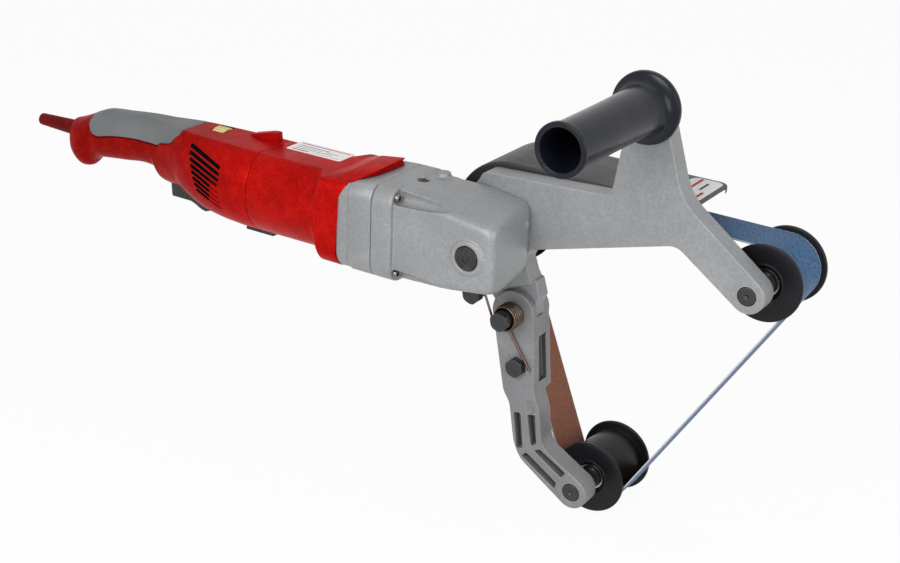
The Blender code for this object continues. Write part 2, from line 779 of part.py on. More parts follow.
def make_belt():
    inside = belt_path(BELT_IN_R, BELT_ARC_STEPS, BELT_RUN_STEPS)
    outside = belt_path(BELT_OUT_R, BELT_ARC_STEPS, BELT_RUN_STEPS)
    rings = []
    for (ix, iz), (ox, oz) in zip(inside, outside):
        near_in = Vector((ix, BELT_NEAR_Y, iz))
        far_in = Vector((ix, BELT_FAR_Y, iz))
        far_out = Vector((ox, BELT_FAR_Y, oz))
        near_out = Vector((ox, BELT_NEAR_Y, oz))
        rings.append([near_in, far_in, far_out, near_out])
    made = skin("belt", rings, BELT_BLUE, loop=True)
    length = 0.0
    for i, point in enumerate(inside):
        length += hypot(point[0] - inside[i - 1][0], point[1] - inside[i - 1][1])
    print("belt length along its backing, mm:", round(length * 1000, 1))
    return made


# Rollers
def roller_profile(flange_r, bore_r, recess_r):
    near = ROLLER_NEAR_Y
    far = ROLLER_NEAR_Y + ROLLER_WIDTH
    crown = ROLLER_WIDTH * DRUM_FLAT_SHARE / 2
    return [
        (recess_r, near),
        (flange_r - FLANGE_ROUND, near),
        (flange_r, near + FLANGE_ROUND),
        (flange_r, near + FLANGE_THICK),
        (DRUM_END_R, near + FLANGE_THICK),
        (DRUM_MID_R, ROLLER_MID_Y - crown),
        (DRUM_MID_R, ROLLER_MID_Y + crown),
        (DRUM_END_R, far - FLANGE_THICK),
        (flange_r, far - FLANGE_THICK),
        (flange_r, far - FLANGE_ROUND),
        (flange_r - FLANGE_ROUND, far),
        (recess_r, far),
        (recess_r, far - RECESS_DEPTH),
        (bore_r, far - RECESS_DEPTH),
        (bore_r, near + RECESS_DEPTH),
        (recess_r, near + RECESS_DEPTH),
    ]


def make_idler(prefix, x, z, axle_near):
    centre = (x, 0, z)
    near = ROLLER_NEAR_Y + RECESS_DEPTH
    far = ROLLER_NEAR_Y + ROLLER_WIDTH - RECESS_DEPTH
    profile = roller_profile(FLANGE_R, ROLLER_BORE_R, RECESS_R)
    idler = turned(prefix + "_roller", profile, Y_AXIS, centre, BLACK)
    hole = AXLE_JOURNAL_R + HOLE_SLACK
    bearing = [
        (hole, near),
        (BEARING_R, near),
        (BEARING_R, near + BEARING_WIDTH),
        (BEARING_SLEEVE_R, near + BEARING_WIDTH),
        (BEARING_SLEEVE_R, far - BEARING_WIDTH),
        (BEARING_R, far - BEARING_WIDTH),
        (BEARING_R, far),
        (hole, far),
    ]
    turned(prefix + "_bearing", bearing, Y_AXIS, centre, BRIGHT, RING_STEPS)
    shoulder_near = FRAME_FAR_Y + GAP
    nut_near = far + GAP
    axle = [
        (0, axle_near + AXLE_SOCKET_DEPTH),
        (AXLE_SOCKET_R, axle_near + AXLE_SOCKET_DEPTH),
        (AXLE_SOCKET_R, axle_near),
        (AXLE_END_R - FLANGE_ROUND, axle_near),
        (AXLE_END_R, axle_near + FLANGE_ROUND),
        (AXLE_END_R, shoulder_near),
        (AXLE_SHOULDER_R, shoulder_near),
        (AXLE_SHOULDER_R, near - GAP),
        (AXLE_JOURNAL_R, near - GAP),
        (AXLE_JOURNAL_R, nut_near + AXLE_NUT_THICK + AXLE_TAIL),
        (0, nut_near + AXLE_NUT_THICK + AXLE_TAIL),
    ]
    turned(prefix + "_axle", axle, Y_AXIS, centre, BOLT_BLACK, RING_STEPS)
    make_nut(prefix + "_axle_nut", x, z, nut_near, nut_near + AXLE_NUT_THICK, AXLE_NUT_R, hole)
    return idler


# Frame casting
def frame_outline():
    top_left = tangent((PLATE_TOP_RIGHT_X, PLATE_TOP_RIGHT_Z), HANDLE_X, HANDLE_Z, UPRIGHT_TOP_R, -1)
    top_right = tangent((UPRIGHT_RIGHT_X, UPRIGHT_RIGHT_Z), HANDLE_X, HANDLE_Z, UPRIGHT_TOP_R, 1)
    end_up = tangent((UPRIGHT_RIGHT_X, UPRIGHT_RIGHT_Z), UPPER_X, UPPER_Z, ARM_HALF_WIDTH, -1)
    end_low = tangent((CROTCH_X, CROTCH_Z), UPPER_X, UPPER_Z, ARM_HALF_WIDTH, 1)
    turn_top = (top_left[2] - top_right[2]) % (2 * pi)
    turn_end = (end_up[2] - end_low[2]) % (2 * pi)
    inner = (LOBE_INNER_X, LOBE_INNER_Z)
    crotch = (CROTCH_X, CROTCH_Z)
    upright = (UPRIGHT_RIGHT_X, UPRIGHT_RIGHT_Z)
    plate_right = (PLATE_TOP_RIGHT_X, PLATE_TOP_RIGHT_Z)
    plate_left = (PLATE_LEFT_X, PLATE_TOP_LEFT_Z)
    points = [(LOBE_WAIST_X, LOBE_WAIST_Z), inner]
    points += fillet(inner, crotch, end_low[:2], INNER_ROUND)
    points += swept(UPPER_X, UPPER_Z, ARM_HALF_WIDTH, end_low[2], turn_end, END_STEPS)
    points += fillet(end_up[:2], upright, top_right[:2], UPRIGHT_ROUND)
    points += swept(HANDLE_X, HANDLE_Z, UPRIGHT_TOP_R, top_right[2], turn_top, END_STEPS)
    points += fillet(top_left[:2], plate_right, plate_left, INNER_ROUND)
    points += fillet(plate_right, plate_left, (PLATE_LEFT_X - PLATE_LEAN, 0.0), PLATE_CORNER_R)
    points += arc(0.0, 0.0, BULGE_R, *BULGE_ARC, END_STEPS)
    points += arc(STOP_UP_X, STOP_UP_Z, STOP_BOSS_R, *STOP_BOSS_ARC, FEW_STEPS)
    points += [(STEP_X, STEP_Z), (LOBE_LOW_X, LOBE_LOW_Z)]
    return points


def make_frame():
    casting = prism("frame_plate", frame_outline(), FRAME_NEAR_Y, FRAME_FAR_Y, CAST_GREY)
    soften(casting, FRAME_EDGE, 1, 50.0)
    tongue = arc(PIVOT_X, PIVOT_Z, TONGUE_R, *TONGUE_ARC, HUB_STEPS)
    tongue += [
        (PIVOT_X + TONGUE_R, TONGUE_PAD_LOW_Z - TONGUE_PAD_SLOPE),
        (TONGUE_PAD_X, TONGUE_PAD_LOW_Z),
        (TONGUE_PAD_X - TONGUE_PAD_SLOPE, TONGUE_PAD_TOP_Z),
        (LOBE_LOW_X - TONGUE_INSET, TONGUE_PAD_TOP_Z + TONGUE_INSET),
        (LOBE_WAIST_X - TONGUE_INSET, TONGUE_TOP_Z),
        (TONGUE_LEFT_X, TONGUE_TOP_Z),
        (TONGUE_LEFT_X, STEP_Z),
    ]
    tongue_form = prism("tongue_form", tongue, TONGUE_NEAR_Y, TONGUE_FAR_Y, None)
    unite(casting, tongue_form)
    ring = [
        (SPINDLE_SEAT_R - WELD_LAP, FRAME_FAR_Y - WELD_LAP),
        (SEAT_RING_R, FRAME_FAR_Y - WELD_LAP),
        (SEAT_RING_R, FRAME_FAR_Y + SEAT_RING_DEPTH),
        (SPINDLE_SEAT_R - WELD_LAP, FRAME_FAR_Y + SEAT_RING_DEPTH),
    ]
    unite(casting, turned("seat_ring_form", ring, Y_AXIS, (0, 0, 0), None))
    near = FRAME_NEAR_Y - CUT_OVER
    far = FRAME_FAR_Y + SEAT_RING_DEPTH + CUT_OVER
    holes = [
        ("spindle", 0.0, 0.0, SPINDLE_SEAT_R, ROUND_STEPS),
        ("upper_axle", UPPER_X, UPPER_Z, AXLE_END_R + HOLE_SLACK, RING_STEPS),
        ("handle_bolt", HANDLE_X, HANDLE_Z, BOLT_R + HOLE_SLACK, SMALL_STEPS),
        ("pivot", PIVOT_X, PIVOT_Z, BOLT_R + HOLE_SLACK, SMALL_STEPS),
        ("stop", STOP_UP_X, STOP_UP_Z, BOLT_R + HOLE_SLACK, SMALL_STEPS),
    ]
    for i, degrees in enumerate(FRAME_SCREW_ANGLES):
        x = FRAME_SCREW_RING_R * cos(radians(degrees))
        z = FRAME_SCREW_RING_R * sin(radians(degrees))
        holes.append(("screw_%d" % (i + 1), x, z, FRAME_SCREW_SHANK_R + HOLE_SLACK, SMALL_STEPS))
    for i, x in enumerate(GUARD_SCREW_X):
        radius = FRAME_SCREW_SHANK_R + HOLE_SLACK
        holes.append(("guard_%d" % (i + 1), x, GUARD_SCREW_Z, radius, SMALL_STEPS))
    for label, x, z, radius, steps in holes:
        start = FRAME_FAR_Y - GUARD_HOLE_DEEP if label.startswith("guard") else near
        profile = [(0, start), (radius, start), (radius, far), (0, far)]
        cut(casting, turned("hole_form_" + label, profile, Y_AXIS, (x, 0, z), None, steps))
    return casting


# Tension arm
def make_tension_arm():
    pivot = (PIVOT_X, 0, PIVOT_Z)
    left = tangent(ARM_LEFT_TOP, PIVOT_X, PIVOT_Z, PIVOT_HUB_R, -1)
    right = tangent(ARM_RIGHT_TOP, PIVOT_X, PIVOT_Z, PIVOT_HUB_R, 1)
    hub_turn = (left[2] - right[2]) % (2 * pi)
    end_left = tangent(ARM_LEFT_BEND, LOWER_X, LOWER_Z, ARM_END_R, 1)
    end_right = tangent(ARM_RIGHT_ELBOW, LOWER_X, LOWER_Z, ARM_END_R, -1)
    end_turn = (end_right[2] - end_left[2]) % (2 * pi)
    outline = swept(PIVOT_X, PIVOT_Z, PIVOT_HUB_R, right[2], hub_turn, HUB_STEPS)
    outline += [ARM_LEFT_STEP, ARM_LEFT_LOW]
    outline += fillet(ARM_LEFT_LOW, ARM_LEFT_ELBOW, ARM_LEFT_BEND, ELBOW_R, FEW_STEPS // 2)
    outline += fillet(ARM_LEFT_ELBOW, ARM_LEFT_BEND, end_left[:2], ELBOW_R, FEW_STEPS // 2)
    outline += swept(LOWER_X, LOWER_Z, ARM_END_R, end_left[2], end_turn, END_STEPS)
    outline += fillet(end_right[:2], ARM_RIGHT_ELBOW, ARM_RIGHT_LOW, ELBOW_R, FEW_STEPS)
    outline += [ARM_RIGHT_LOW, ARM_RIGHT_MID]
    arm = prism("tension_arm", outline, ARM_NEAR_Y, ARM_LOW_FAR_Y, CAST_GREY, pivot)
    soften(arm, ARM_EDGE, 1, 50.0)
    deep = arc(PIVOT_X, PIVOT_Z, REAR_LUG_R, *REAR_LUG_ARC, HUB_STEPS)
    deep += [
        (ARM_LEFT_TOP[0] + DEEP_INSET, ARM_LEFT_TOP[1]),
        (ARM_LEFT_STEP[0] + DEEP_INSET, ARM_DEEP_LOW_Z + DEEP_CORNER),
        (ARM_LEFT_STEP[0] + DEEP_CORNER, ARM_DEEP_LOW_Z),
        (ARM_RIGHT_MID[0] - DEEP_CORNER, ARM_DEEP_LOW_Z),
        (ARM_RIGHT_MID[0] - DEEP_INSET, ARM_RIGHT_MID[1]),
        (ARM_RIGHT_TOP[0] - DEEP_INSET, ARM_RIGHT_TOP[1]),
    ]
    deep_form = prism("deep_form", deep, ARM_LOW_FAR_Y - DEEP_CORNER, ARM_DEEP_FAR_Y, None)
    soften(deep_form, ARM_EDGE, 1, 50.0)
    unite(arm, deep_form)
    fork = arc(PIVOT_X, PIVOT_Z, FORK_CLEAR_R, *FORK_ARC, HUB_STEPS)
    fork += [(PIVOT_X + FORK_REACH, PIVOT_Z), (PIVOT_X + FORK_REACH, PIVOT_Z + FORK_REACH)]
    fork += [(PIVOT_X - FORK_REACH, PIVOT_Z + FORK_REACH), (PIVOT_X - FORK_REACH, PIVOT_Z)]
    cut(arm, prism("fork_form", fork, NEAR_LUG_FAR_Y, REAR_LUG_NEAR_Y, None))
    for i, corners in enumerate(ARM_SLOTS):
        ring = rounded(corners, SLOT_ROUND, FEW_STEPS // 2)
        near = ARM_NEAR_Y - CUT_OVER
        cut(arm, prism("slot_form_%d" % (i + 1), ring[::-1], near, ARM_NEAR_Y + SLOT_DEPTH, None))
    edge_top = ARM_RIGHT_TOP[0] - POCKET_DEPTH
    edge_low = ARM_RIGHT_MID[0] - POCKET_DEPTH
    pocket = [
        (edge_top, POCKET_TOP_Z),
        (edge_low, POCKET_LOW_Z),
        (edge_low + 2 * POCKET_DEPTH, POCKET_LOW_Z),
        (edge_top + 2 * POCKET_DEPTH, POCKET_TOP_Z),
    ]
    cut(arm, prism("pocket_form", pocket, POCKET_NEAR_Y, POCKET_FAR_Y, None))
    near = ARM_NEAR_Y - CUT_OVER
    holes = [
        ("pivot", PIVOT_X, PIVOT_Z, BOLT_R + HOLE_SLACK, ARM_DEEP_FAR_Y + CUT_OVER, SMALL_STEPS),
        ("axle", LOWER_X, LOWER_Z, AXLE_END_R + HOLE_SLACK, ARM_DEEP_FAR_Y + CUT_OVER, RING_STEPS),
        ("stop", STOP_LOW_X, STOP_LOW_Z, BOLT_R + HOLE_SLACK, STOP_LOW_END_Y + GAP, SMALL_STEPS),
    ]
    for label, x, z, radius, far, steps in holes:
        profile = [(0, near), (radius, near), (radius, far), (0, far)]
        cut(arm, turned("arm_hole_form_" + label, profile, Y_AXIS, (x, 0, z), None, steps))
    return arm


# Bolts of the frame
def make_frame_bolts():
    pivot = [
        (0, PIVOT_HEAD_Y + WELD_LAP),
        (PIVOT_SLEEVE_R, PIVOT_HEAD_Y + WELD_LAP),
        (PIVOT_SLEEVE_R, ARM_NEAR_Y - GAP),
        (BOLT_R, ARM_NEAR_Y - GAP),
        (BOLT_R, PIVOT_END_Y),
        (0, PIVOT_END_Y),
    ]
    hex_bolt("pivot_bolt", PIVOT_X, PIVOT_Z, pivot, PIVOT_HEAD_Y, BOLT_BLACK)
    upper = [
        (0, STOP_UP_HEAD_Y + WELD_LAP),
        (STOP_UP_SLEEVE_R, STOP_UP_HEAD_Y + WELD_LAP),
        (STOP_UP_SLEEVE_R, FRAME_NEAR_Y - GAP),
        (BOLT_R, FRAME_NEAR_Y - GAP),
        (BOLT_R, FRAME_FAR_Y + WELD_LAP),
        (0, FRAME_FAR_Y + WELD_LAP),
    ]
    hex_bolt("stop_bolt_upper", STOP_UP_X, STOP_UP_Z, upper, STOP_UP_HEAD_Y, BOLT_BLACK)
    head_near = ARM_NEAR_Y - GAP - HEX_THICK
    lower = [
        (0, head_near + WELD_LAP),
        (BOLT_R, head_near + WELD_LAP),
        (BOLT_R, STOP_LOW_END_Y),
        (0, STOP_LOW_END_Y),
    ]
    hex_bolt("stop_bolt_lower", STOP_LOW_X, STOP_LOW_Z, lower, head_near, BOLT_BLACK)


# Torsion spring: leg, coils and leg as one tube on a computed centre line
def crossed_tangent(to_x, to_z, reach, side):
    """Direction of the line that passes the coil on one side and another round piece on the other."""
    dx = to_x - PIVOT_X
    dz = to_z - PIVOT_Z
    return atan2(dz, dx) + side * asin((COIL_R + reach) / hypot(dx, dz))


def spring_points():
    upper = crossed_tangent(STOP_UP_X, STOP_UP_Z, STOP_UP_SLEEVE_R + WIRE_R + GAP, -1)
    lower = crossed_tangent(STOP_LOW_X, STOP_LOW_Z, HEX_R + WIRE_R + GAP, 1)
    start = upper + pi / 2
    end = lower - pi / 2
    turns = COIL_TURNS + (end - start) / (2 * pi) % 1
    near = PIVOT_HEAD_Y + HEX_THICK + WIRE_R + RUN_GAP
    far = ARM_NEAR_Y - WIRE_R - RUN_GAP
    coil = []
    steps = ceil(turns * COIL_POINTS)
    for i in range(steps + 1):
        share = i / steps
        angle = start + 2 * pi * turns * share
        y = near + (far - near) * share
        coil.append(Vector((PIVOT_X + COIL_R * cos(angle), y, PIVOT_Z + COIL_R * sin(angle))))
    up = Vector((cos(upper), 0, sin(upper)))
    down = Vector((cos(lower), 0, sin(lower)))
    points = [coil[0] + up * UPPER_LEG, coil[0] + up * (UPPER_LEG - 2 * WIRE_R), coil[0] + up * COIL_R / 2]
    points += coil
    points += [coil[-1] + down * COIL_R / 2]
    points += [coil[-1] + down * (LOWER_LEG - 2 * WIRE_R), coil[-1] + down * LOWER_LEG]
    pitch = (far - near) / turns
    print("spring turns", round(turns, 3), "gap between turns, mm:", round((pitch - 2 * WIRE_R) * 1000, 2))
    return points


def make_spring():
    curve = bpy.data.curves.new("tension_spring", "CURVE")
    curve.dimensions = "3D"
    curve.bevel_depth = WIRE_R
    curve.bevel_resolution = 1
    curve.use_fill_caps = True
    curve.materials.append(SPRING_STEEL)
    points = spring_points()
    pivot = Vector((PIVOT_X, 0, PIVOT_Z))
    wire = curve.splines.new("POLY")
    wire.points.add(len(points) - 1)
    for spot, point in zip(wire.points, points):
        spot.co = (*(point - pivot), 1.0)
    made = bpy.data.objects.new("tension_spring", curve)
    made.location = pivot
    bpy.context.scene.collection.objects.link(made)
    return made


# Belt guard
def make_guard():
    stations = []
    for i in range(GUARD_ARC_STEPS + 1):
        degrees = GUARD_START + (90.0 - GUARD_START) * i / GUARD_ARC_STEPS
        angle = radians(degrees)
        stations.append((Vector((0, 0, 0)), Vector((cos(angle), 0, sin(angle))), 0.0))
    last_flat = GUARD_END_X - GUARD_CORNER_R
    stations.append((Vector((last_flat, 0, 0)), Z_AXIS, 0.0))
    for i in range(1, FEW_STEPS + 1):
        turn = pi / 2 * i / FEW_STEPS
        x = last_flat + GUARD_CORNER_R * sin(turn)
        stations.append((Vector((x, 0, 0)), Z_AXIS, GUARD_CORNER_R * (1 - cos(turn))))
    rings = []
    top = GUARD_R
    under = GUARD_R - GUARD_SHEET
    for foot, out, trim in stations:
        near = GUARD_NEAR_Y
        far = GUARD_FAR_Y - trim
        section = [
            (near, top),
            (far, top),
            (far, under - GUARD_HEM),
            (far - GUARD_SHEET, under - GUARD_HEM),
            (far - GUARD_SHEET, under),
            (near + GUARD_SHEET, under),
            (near + GUARD_SHEET, under - GUARD_FLANGE),
            (near, under - GUARD_FLANGE),
        ]
        rings.append([foot + out * height + Y_AXIS * y for y, height in section])
    guard = skin("belt_guard", rings, GUARD_DARK)
    near = GUARD_NEAR_Y - CUT_OVER
    far = GUARD_NEAR_Y + GUARD_SHEET + CUT_OVER
    for i, x in enumerate(GUARD_SCREW_X):
        radius = FRAME_SCREW_SHANK_R + HOLE_SLACK
        profile = [(0, near), (radius, near), (radius, far), (0, far)]
        centre = (x, 0, GUARD_SCREW_Z)
        cut(guard, turned("guard_hole_form_%d" % (i + 1), profile, Y_AXIS, centre, None, SMALL_STEPS))
        head = GUARD_NEAR_Y + GUARD_SHEET + GAP
        tip = head - GUARD_SCREW_LONG
        profile = screw_profile(tip, head, FRAME_SCREW_SHANK_R, FRAME_SCREW_R, GUARD_SCREW_HEAD)
        turned("guard_screw_%d" % (i + 1), profile, Y_AXIS, centre, BOLT_BLACK, SMALL_STEPS)
    return guard


# Side handle
def make_handle():
    seat = FRAME_NEAR_Y - GAP
    flange_front = seat - HANDLE_FLANGE_THICK
    long = flange_front - HANDLE_END_Y
    curve = []
    for back, out in HANDLE_CURVE:
        curve.append((HANDLE_ROOT_R + HANDLE_FILLET * out, flange_front - HANDLE_FILLET * back))
    profile = [
        (HANDLE_BORE_R, HANDLE_END_Y),
        (HANDLE_LIP_R - FLANGE_ROUND, HANDLE_END_Y),
        (HANDLE_LIP_R, HANDLE_END_Y + FLANGE_ROUND),
        (HANDLE_LIP_R, HANDLE_END_Y + HANDLE_LIP_LONG - FLANGE_ROUND),
        (HANDLE_GRIP_R, HANDLE_END_Y + HANDLE_LIP_LONG + FLANGE_ROUND),
        (HANDLE_GRIP_R, HANDLE_END_Y + long * HANDLE_PARALLEL),
        *curve,
        (HANDLE_FLANGE_R - HANDLE_EDGE, flange_front),
        (HANDLE_FLANGE_R, flange_front + HANDLE_EDGE),
        (HANDLE_FLANGE_R, seat - FLANGE_ROUND),
        (HANDLE_FLANGE_R - FLANGE_ROUND, seat),
        (BOLT_R + HOLE_SLACK, seat),
        (BOLT_R + HOLE_SLACK, seat - HANDLE_FLOOR),
        (HANDLE_BORE_R, seat - HANDLE_FLOOR),
    ]
    turned("side_handle", profile, Y_AXIS, (HANDLE_X, 0, HANDLE_Z), RUBBER)
    head_near = seat - HANDLE_FLOOR - GAP - HEX_THICK
    bolt = [
        (0, head_near + WELD_LAP),
        (BOLT_R, head_near + WELD_LAP),
        (BOLT_R, FRAME_FAR_Y + WELD_LAP),
        (0, FRAME_FAR_Y + WELD_LAP),
    ]
    hex_bolt("handle_bolt", HANDLE_X, HANDLE_Z, bolt, head_near, BRIGHT)


# Sections of the housings
def decked(point, edge, top=None):
    """(y, z) points of a section: round the bottom between its two deck edges, then across the deck."""
    low_steps = RING_POINTS - DECK_STEPS
    points = [point(pi - edge + (pi + 2 * edge) * i / low_steps) for i in range(low_steps)]
    far = point(edge)[0]
    for i in range(DECK_STEPS):
        share = i / DECK_STEPS
        if top is None:
            points.append(point(edge + (pi - 2 * edge) * share))
        else:
            points.append((far * (1 - 2 * share), top))
    return points


def disc(radius):
    return decked(lambda angle: (radius * cos(angle), radius * sin(angle)), DECK_ANGLE)


def flat_topped(radius, top):
    return decked(lambda angle: (radius * cos(angle), radius * sin(angle)), asin(top / radius), top)


def barrel_section():
    """The motor barrel: round below, a little squarer above, with the flat deck."""
    power = 2 / (2 + UPPER_SQUARE)

    def point(angle):
        c = cos(angle)
        s = sin(angle)
        if s <= 0:
            return BARREL_R * c, BARREL_R * s
        return BARREL_R * abs(c) ** power * (1 if c >= 0 else -1), BARREL_R * s ** power

    return decked(point, asin((DECK_Z / BARREL_R) ** (1 / power)), DECK_Z)


def rounded_square(half, corner, top):
    inner = half - corner

    def point(angle):
        y = (inner if cos(angle) >= 0 else -inner) + corner * cos(angle)
        z = (inner if sin(angle) >= 0 else -inner) + corner * sin(angle)
        return y, z

    return decked(point, asin((top - inner) / corner), top)


def ring_at(x, section):
    return [Vector((x, y, z)) for y, z in section]


# Motor housing
def make_motor_housing():
    barrel = barrel_section()
    flange = rounded_square(RED_FLANGE_HALF, RED_FLANGE_CORNER, DECK_Z)
    bore = flat_topped(BARREL_R - BARREL_WALL, DECK_Z - BARREL_WALL)
    halfway = [((a[0] + b[0]) / 2, (a[1] + b[1]) / 2) for a, b in zip(barrel, flange)]
    rings = [
        ring_at(SEAM_X, barrel),
        ring_at(FLARE_START_X, barrel),
        ring_at((FLARE_START_X + FLARE_END_X) / 2, halfway),
        ring_at(FLARE_END_X, flange),
        ring_at(RED_FRONT_X, flange),
        ring_at(RED_FRONT_X, bore),
        ring_at(SEAM_X, bore),
    ]
    housing = skin("motor_housing", rings, RED, loop=True)
    unite(housing, skin("visor_form", visor_rings(), None))
    return housing


def flange_top(x):
    """Height of the gear flange's sloping top at a given x."""
    table = FLANGE_TOPS
    for (x0, z0), (x1, z1) in zip(table, table[1:]):
        if x0 <= x <= x1:
            return z0 + (z1 - z0) * (x - x0) / (x1 - x0)
    return table[0][1]


def visor_rings():
    """Four sections of the visor: its rear, both sides of the joint and its front edge."""
    foot = DECK_Z + GAP
    joint = RED_FRONT_X
    rings = []
    for place_x in (VISOR_REAR_X, joint - WELD_LAP, joint, None):
        upper = []
        lower = []
        for y, front, top in VISOR_EDGE:
            x = front if place_x is None else place_x
            share = (x - VISOR_REAR_X) / (front - VISOR_REAR_X)
            if share < VISOR_MID_SHARE:
                rise = VISOR_MID_RISE * share / VISOR_MID_SHARE
            else:
                rest = (share - VISOR_MID_SHARE) / (1 - VISOR_MID_SHARE)
                rise = VISOR_MID_RISE + (1 - VISOR_MID_RISE) * rest
            z = foot + (top - foot) * rise
            under = flange_top(x) + VISOR_GAP if x >= joint else DECK_Z - VISOR_THICK
            upper.append(Vector((x, y, z)))
            lower.append(Vector((x, y, min(under, z - GAP))))
        rings.append(upper + lower[::-1])
    return rings


# Rear housing and its soft overlay
def edge_height(x):
    """Height of the overlay's lower edge at a station."""
    table = OVERLAY_EDGE
    if x <= table[0][0]:
        return table[0][1]
    for (x0, z0), (x1, z1) in zip(table, table[1:]):
        if x0 <= x <= x1:
            return z0 + (z1 - z0) * (x - x0) / (x1 - x0)
    return table[-1][1]


def station_at(x):
    """Top, bottom, half width and squareness of the rear housing at any x."""
    table = REAR_STATIONS
    for one, two in zip(table, table[1:]):
        if one[0] <= x <= two[0]:
            share = (x - one[0]) / (two[0] - one[0])
            return tuple(a + (b - a) * share for a, b in zip(one[1:], two[1:]))
    return table[-1][1:]


def surface_point(x, angle, inset):
    top, bottom, half, square = station_at(x)
    middle = (top + bottom) / 2
    high = (top - bottom) / 2 - inset
    wide = half - inset
    c = cos(angle)
    s = sin(angle)
    power = 2 / (square + (UPPER_SQUARE if s > 0 else 0))
    y = wide * abs(c) ** power * (1 if c >= 0 else -1)
    z = middle + high * abs(s) ** power * (1 if s >= 0 else -1)
    return Vector((x, y, min(z, DECK_Z - inset)))


def seam_angle(x):
    """Angle on the section where the overlay's lower edge lies."""
    top, bottom, half, square = station_at(x)
    middle = (top + bottom) / 2
    high = (top - bottom) / 2
    share = (edge_height(x) - middle) / high
    share = max(-EDGE_LIMIT, min(EDGE_LIMIT, share))
    if share >= 0:
        square += UPPER_SQUARE
    return asin(abs(share) ** (square / 2)) * (1 if share >= 0 else -1)


def deck_angle(x, inset):
    """Angle on the section where the flat deck begins; a narrow grip has only a short flat."""
    top, bottom, half, square = station_at(x)
    middle = (top + bottom) / 2
    share = (DECK_Z - inset - middle) / ((top - bottom) / 2 - inset)
    return asin(min(share, DECK_LIMIT) ** ((square + UPPER_SQUARE) / 2))


def upper_angles(x, inset, seam):
    """Angles over the top: up to the deck's edge, across the deck and down again."""
    edge = max(deck_angle(x, inset), seam + OVERLAY_SEAM)
    side_steps = (OVERLAY_TOP_POINTS - DECK_STEPS) // 2
    angles = [seam + (edge - seam) * i / side_steps for i in range(side_steps)]
    angles += [edge + (pi - 2 * edge) * i / DECK_STEPS for i in range(DECK_STEPS)]
    angles += [pi - edge + (edge - seam) * i / side_steps for i in range(side_steps + 1)]
    return angles


def rear_ring(x, top_inset, low_inset):
    """A section whose upper run lies under the overlay."""
    seam = seam_angle(x)
    ring = [surface_point(x, angle, top_inset) for angle in upper_angles(x, top_inset, seam)]
    start = pi - seam + OVERLAY_SEAM
    end = 2 * pi + seam - OVERLAY_SEAM
    for i in range(OVERLAY_LOW_POINTS + 1):
        angle = start + (end - start) * i / OVERLAY_LOW_POINTS
        ring.append(surface_point(x, angle, low_inset))
    return ring


